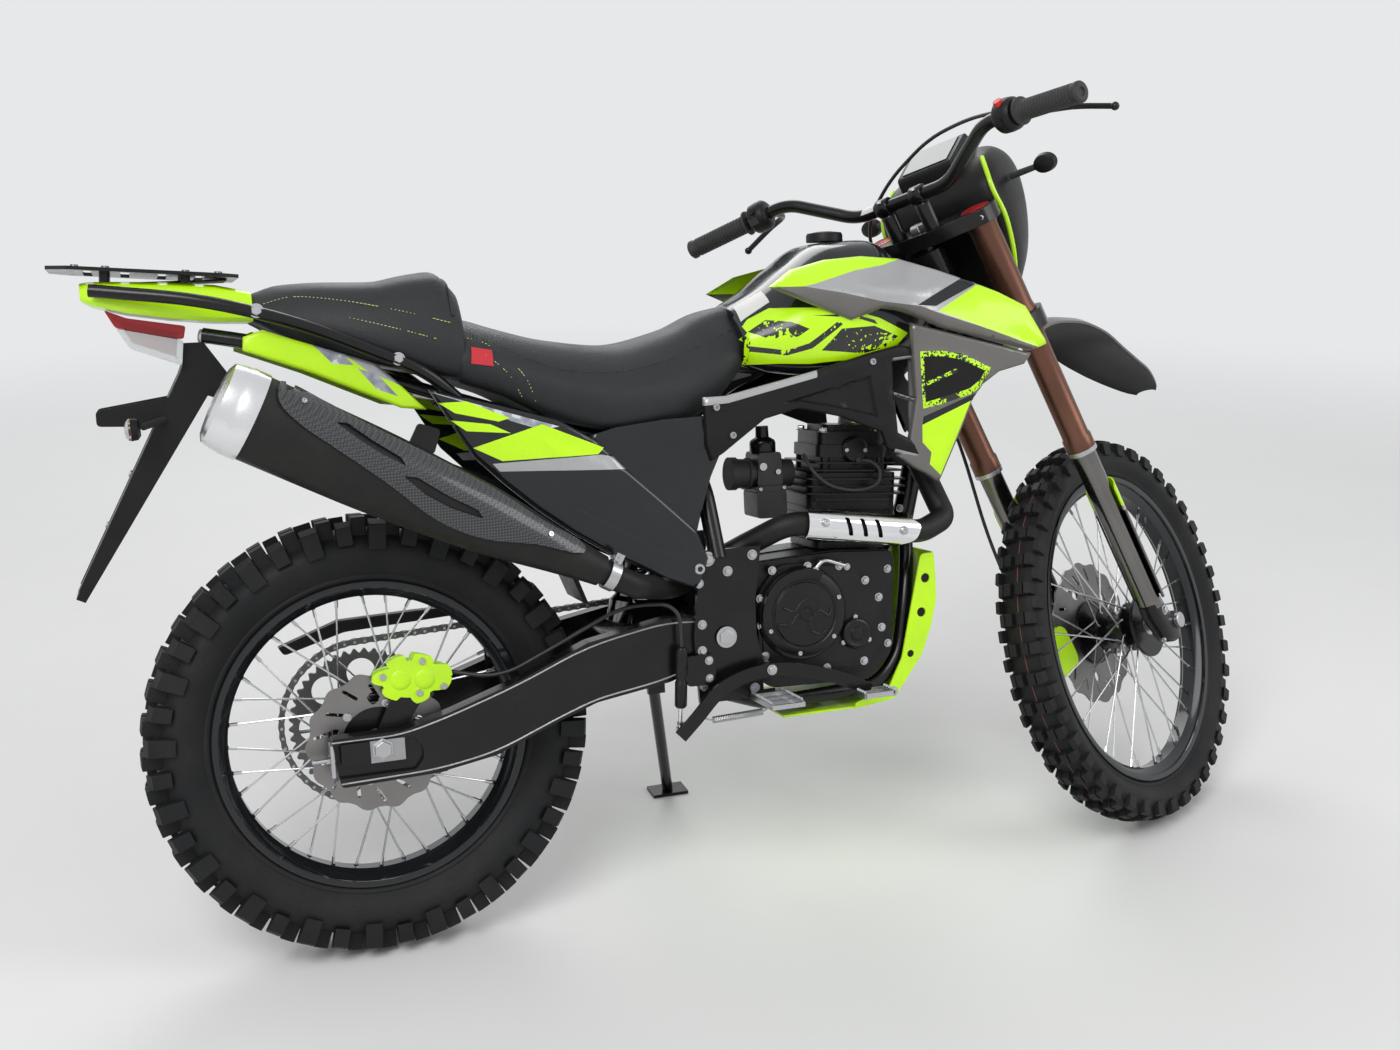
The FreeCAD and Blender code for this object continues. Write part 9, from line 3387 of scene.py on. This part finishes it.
@dataclass(frozen=True)
class Footwork(Assembly):
    """Pegs, pedal, gear lever, master cylinder, skid plate and side stand."""

    def build(self, frame: dict) -> None:
        """Make every piece near the rider's feet."""
        self.pegs()
        self.pedals()
        self.master_cylinder()
        self.skid_plate()
        self.maker.dress(frame, BLACK_PAINT, "side_stand")

    def pegs(self) -> None:
        """Serrated pegs with open middles, and their springs."""
        made = Shape()
        low, high = -0.2225, -0.1285
        for x0, x1 in ((0.5755, 0.5795), (0.6265, 0.6305)):
            made.join(block((x0, low + 0.004, 0.3435), (x1, high, 0.3525), STEEL))
            for index in range(9):
                y = low + 0.012 + 0.0095 * index
                made.join(Shape().add([(x0, y - 0.004, 0.3525), (x1, y - 0.004, 0.3525),
                                       (x1, y + 0.004, 0.3525), (x0, y + 0.004, 0.3525),
                                       (x0, y, 0.3566), (x1, y, 0.3566)],
                                      ((0, 3, 4), (1, 5, 2), (0, 4, 5, 1), (3, 2, 5, 4),
                                       (3, 0, 1, 2)), STEEL))
        for y in (low, low + 0.030, low + 0.056, high - 0.006):
            made.join(block((0.5757, y, 0.3440), (0.6303, y + 0.004, 0.3515), STEEL))
        made.join(block((0.590, low + 0.004, 0.3440), (0.616, high, 0.3470), STEEL))
        made.join(block((0.588, -0.1310, 0.3435), (0.618, -0.1272, 0.3565), BLACK_PAINT))
        self.put("foot_peg_set", made.both(), "foot_pegs", bevel=0.0004, segments=1,
                 slot=Slot.ALLOY)
        spring = Shape()
        start, end = Vector((0.508, -0.1385, 0.3200)), Vector((0.592, -0.1400, 0.3235))
        coil, length = [], (end - start).length
        for step in range(30 * 8 + 1):
            turn = 2 * math.pi * step / 8
            coil.append((0.0050 * math.sin(turn), length * step / 240, 0.0050 * math.cos(turn)))
        spring.join(tube(coil, 0.0011, STEEL, 6).at(along(start, end)))
        spring.join(tube(bent_path((start, (0.496, -0.137, 0.3230), (0.492, -0.130, 0.3300))),
                         0.0014, STEEL, 8))
        spring.join(tube(bent_path((end, (0.600, -0.139, 0.3270), (0.600, -0.132, 0.3400))),
                         0.0014, STEEL, 8))
        self.put("pedal_return_spring", spring)

    def pedals(self) -> None:
        """Stamped brake pedal with a serrated tread, and the gear lever."""
        line = [Vector((x, 0, z)) for x, z in (
            (0.449, 0.304), (0.475, 0.328), (0.526, 0.374), (0.604, 0.392), (0.700, 0.372),
            (0.772, 0.340))]
        path = curved(line, 6)
        made = ribbon(path, 0.0105, -0.1560, -0.1500, BLACK_PAINT)
        made.join(turned_part(((0.0100, -0.0145), (0.0105, -0.0135), (0.0105, 0.0135),
                               (0.0100, 0.0145)), BLACK_PAINT, 28)
                  .at(Matrix.Translation((0.604, -0.1415, 0.392))))
        made.join(bolt(0.0062, 0.0045, STEEL).at(outward(0.604, -0.1560, 0.392)))
        for x0, x1 in ((0.7455, 0.7495), (0.7955, 0.7995)):
            made.join(block((x0, -0.1895, 0.3335), (x1, -0.1485, 0.3430), STEEL))
            for index in range(5):
                y = -0.1850 + 0.0080 * index
                made.join(Shape().add([(x0, y - 0.003, 0.3430), (x1, y - 0.003, 0.3430),
                                       (x1, y + 0.003, 0.3430), (x0, y + 0.003, 0.3430),
                                       (x0, y, 0.3468), (x1, y, 0.3468)],
                                      ((0, 3, 4), (1, 5, 2), (0, 4, 5, 1), (3, 2, 5, 4),
                                       (3, 0, 1, 2)), STEEL))
        for y in (-0.1895, -0.1700, -0.1520):
            made.join(block((0.7457, y, 0.3338), (0.7993, y + 0.003, 0.3425), STEEL))
        lever = ribbon(curved([Vector((0.662, 0, 0.385)), Vector((0.700, 0, 0.3835)),
                               Vector((0.740, 0, 0.375)), Vector((0.805, 0, 0.366))], 6),
                       0.0068, 0.1490, 0.1560, BLACK_PAINT)
        lever.join(rod((0.67, 0.1105, 0.384), (0.67, 0.1580, 0.384), 0.0068, STEEL, 20))
        grip = [(0.0085, 0.0), (0.0090, 0.003)]
        for index in range(6):
            at = 0.006 + 0.0055 * index
            grip += [(0.0078, at), (0.0090, at + 0.001), (0.0090, at + 0.0035),
                     (0.0078, at + 0.0045)]
        lever.join(turned_part([*grip, (0.0088, 0.0395), (0.0060, 0.0425)], GRIP_RUBBER, 20)
                   .at(outward(0.805, 0.152, 0.366)))
        self.put("pedal_and_lever", made.join(lever), "foot_controls", bevel=0.0008,
                 slot=Slot.BLACK_STEEL)

    def master_cylinder(self) -> None:
        """Rear master cylinder with its bright push rod and clevis."""
        low, high = Vector((0.458, -0.134, 0.345)), Vector((0.464, -0.134, 0.440))
        made = turned_part(((0.0070, 0.0), (0.0098, 0.004), (0.0098, 0.040), (0.0082, 0.043),
                            (0.0082, 0.050), (0.0098, 0.053), (0.0098, 0.086),
                            (0.0075, 0.0945)), BLACK_PAINT, 28).at(along(low, high))
        made.join(rod((0.4555, -0.134, 0.312), (0.458, -0.134, 0.352), 0.0034, CHROME, 16))
        made.join(block((0.4500, -0.1385, 0.3035), (0.4605, -0.1296, 0.3155), STEEL),
                  turned_part(((0.0058, 0.0), (0.0058, 0.005)), STEEL, 6)
                  .at(along((0.4560, -0.134, 0.318), (0.4565, -0.134, 0.3235))))
        ears = rounded(((0.4700, 0.3760), (0.5190, 0.3760), (0.5190, 0.4240), (0.4700, 0.4240)),
                       0.008, 3)
        made.join(plate(ears, -0.1343, -0.1290, BLACK_PAINT))
        for z in (0.386, 0.414):
            made.join(bolt(0.0050, 0.0040, STEEL).at(outward(0.508, -0.1342, z)))
        self.put("master_cylinder_set", made, "rear_master_cylinder", bevel=0.0006, segments=1,
                 slot=Slot.BLACK_ALLOY)

    def skid_plate(self) -> None:
        """Painted plate around the front and bottom of the cradle, with round holes."""
        outer = ((0.9165, 0.545), (0.9180, 0.505), (0.9180, 0.465), (0.906, 0.420),
                 (0.888, 0.375), (0.835, 0.3082), (0.765, 0.3002), (0.64, 0.3002))
        inner = ((0.64, 0.3038), (0.765, 0.3038), (0.832, 0.312), (0.884, 0.377),
                 (0.902, 0.421), (0.914, 0.466), (0.914, 0.505), (0.9128, 0.545))
        band = plate([*outer, *inner], -0.1060, 0.1060, NEON_METAL)
        side = rounded(((0.9160, 0.5440), (0.9180, 0.500), (0.9175, 0.465), (0.906, 0.420),
                        (0.888, 0.3755), (0.8350, 0.3085), (0.765, 0.3003), (0.765, 0.3100),
                        (0.825, 0.325), (0.852, 0.375), (0.872, 0.460), (0.892, 0.5440)), 0.006, 3)
        holes = [circle((0.8990, 0.503), 0.0078, 22), circle((0.8900, 0.447), 0.0078, 22),
                 circle((0.8680, 0.380), 0.0060, 20)]
        flange = plate(side, -0.1098, -0.1062, NEON_METAL, holes)
        for x, z in ((0.8990, 0.503), (0.8900, 0.447), (0.8680, 0.380)):
            flange.join(turned_part(((0.0074, 0.0), (0.0074, 0.001)), MATTE_BLACK, 20)
                        .at(outward(x, -0.1066, z)))
        made = band.join(flange.both())
        for side_of in Side:
            made.join(bolt(0.0055, 0.0040, STEEL)
                      .at(facing((0.8350, side_of.value * 0.1095, 0.3220),
                                 (0, side_of.value, 0))))
        self.put("skid_plate_shell", made, "skid_plate", bevel=0.0010, segments=1,
                 slot=Slot.NEON)


# Studio

@dataclass(frozen=True)
class Studio:
    """Floor, background, lamps and camera around the machine."""

    paint: Paintbox
    eye: Point = (-0.9371, -2.4367, 1.3032)
    azimuth: float = -19.69
    elevation: float = 15.58
    roll: float = 0.09
    lens: float = 41.25
    floor_reach: float = 14.0
    fade_start: float = 2.2
    fade_end: float = 6.5
    back_bright: float = 0.82
    back_dim: float = 0.5
    back_colour: tuple[float, float, float, float] = (0.97, 0.985, 1.0, 1.0)

    def build(self) -> None:
        """Set everything up."""
        self.camera()
        self.floor()
        self.background()
        self.lamps()
        bpy.context.scene.view_settings.view_transform = "Standard"

    def camera(self) -> None:
        """Camera at the viewing angle of the photograph."""
        data = bpy.data.cameras.new("camera")
        data.lens, data.sensor_width = self.lens, 36.0
        data.clip_start, data.clip_end = 0.05, 60.0
        made = bpy.data.objects.new("camera", data)
        bpy.context.scene.collection.objects.link(made)
        turn, lift = math.radians(self.azimuth), math.radians(self.elevation)
        ahead = Vector((-math.sin(turn) * math.cos(lift), math.cos(turn) * math.cos(lift),
                        -math.sin(lift)))
        facing_it = ahead.to_track_quat("-Z", "Y").to_matrix().to_4x4()
        tilt = Matrix.Rotation(math.radians(self.roll), 4, "Z")
        made.matrix_world = Matrix.Translation(Vector(self.eye)) @ facing_it @ tilt
        bpy.context.scene.camera = made

    def floor(self) -> None:
        """Plain pale floor."""
        mesh = bpy.data.meshes.new("floor")
        far = self.floor_reach
        mesh.from_pydata([(-far, -far, 0), (far, -far, 0), (far, far, 0), (-far, far, 0)], [],
                         [(0, 1, 2, 3)])
        mesh.materials.append(self.floor_paint())
        made = bpy.data.objects.new("floor", mesh)
        bpy.context.scene.collection.objects.link(made)

    def floor_paint(self) -> bpy.types.Material:
        """Floor material that fades into the background far from the machine.

        Returns:
            The material.
        """
        made = self.paint(FLOOR_GREY)
        draw = NodeTree(made.node_tree)
        place = draw.add("TexCoord")
        far = draw.add("VectorMath", {0: place.outputs["Object"]}, operation="LENGTH")
        fade = draw.add("MapRange", {"Value": far.outputs["Value"], "From Min": self.fade_start,
                                     "From Max": self.fade_end}, interpolation_type="SMOOTHSTEP")
        plain = draw.add("Emission", {"Color": self.back_colour, "Strength": self.back_bright})
        shader = made.node_tree.nodes["Principled BSDF"]
        both = draw.add("MixShader", {0: fade.outputs["Result"], 1: shader.outputs[0],
                                      2: plain.outputs[0]})
        end = made.node_tree.nodes["Material Output"]
        made.node_tree.links.new(both.outputs[0], end.inputs["Surface"])
        return made

    def background(self) -> None:
        """Pale surroundings, seen plainly and dimmer as a light."""
        world = bpy.data.worlds.new("surroundings")
        world.use_nodes = True
        draw = NodeTree(world.node_tree)
        ray = draw.add("LightPath")
        seen = draw.add("Math", {0: ray.outputs["Is Camera Ray"], 1: ray.outputs["Is Glossy Ray"]},
                        operation="MAXIMUM")
        every = draw.add("Math", {0: seen.outputs[0], 1: ray.outputs["Is Transmission Ray"]},
                         operation="MAXIMUM")
        strength = draw.add("MapRange", {"Value": every.outputs[0], "To Min": self.back_dim,
                                      "To Max": self.back_bright})
        back = world.node_tree.nodes["Background"]
        back.inputs["Color"].default_value = self.back_colour
        world.node_tree.links.new(strength.outputs["Result"], back.inputs["Strength"])
        bpy.context.scene.world = world

    def lamps(self) -> None:
        """Large soft lamps above and to both sides."""
        for name, spot, size, power in (("key_lamp", (-2.6, -3.2, 4.2), 3.0, 150.0),
                                        ("fill_lamp", (3.2, -2.4, 2.8), 2.4, 45.0),
                                        ("back_lamp", (0.5, 3.8, 3.6), 3.0, 60.0)):
            data = bpy.data.lights.new(name, "AREA")
            data.shape, data.size, data.energy = "DISK", size, power
            made = bpy.data.objects.new(name, data)
            bpy.context.scene.collection.objects.link(made)
            start = Vector(spot)
            aim = Vector((0.0, 0.0, 0.55)) - start
            made.matrix_world = (Matrix.Translation(start)
                                 @ aim.to_track_quat("-Z", "Y").to_matrix().to_4x4())


# Whole machine


def main() -> None:
    """Build the machine's looks, piece by piece."""
    logging.basicConfig(level=logging.INFO, format="%(message)s")
    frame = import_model()
    rig = Rig.from_joints(frame["joints"])
    paint = Paintbox()
    maker = Maker(paint)
    Studio(paint).build()
    rear_wheel(maker, rig).build()
    RearSprocket(maker, rig.rear).build()
    front_wheel(maker, rig).build()
    Bodywork(maker, rig).build()
    Saddle(maker, rig).build()
    Fork(maker, rig).build(frame)
    Cockpit(maker, rig).build()
    Exhaust(maker, rig).build()
    Tail(maker, rig).build(frame)
    Engine(maker, rig).build(frame)
    Chassis(maker, rig).build(frame)
    Footwork(maker, rig).build(frame)


if __name__ == "__main__":
    main()
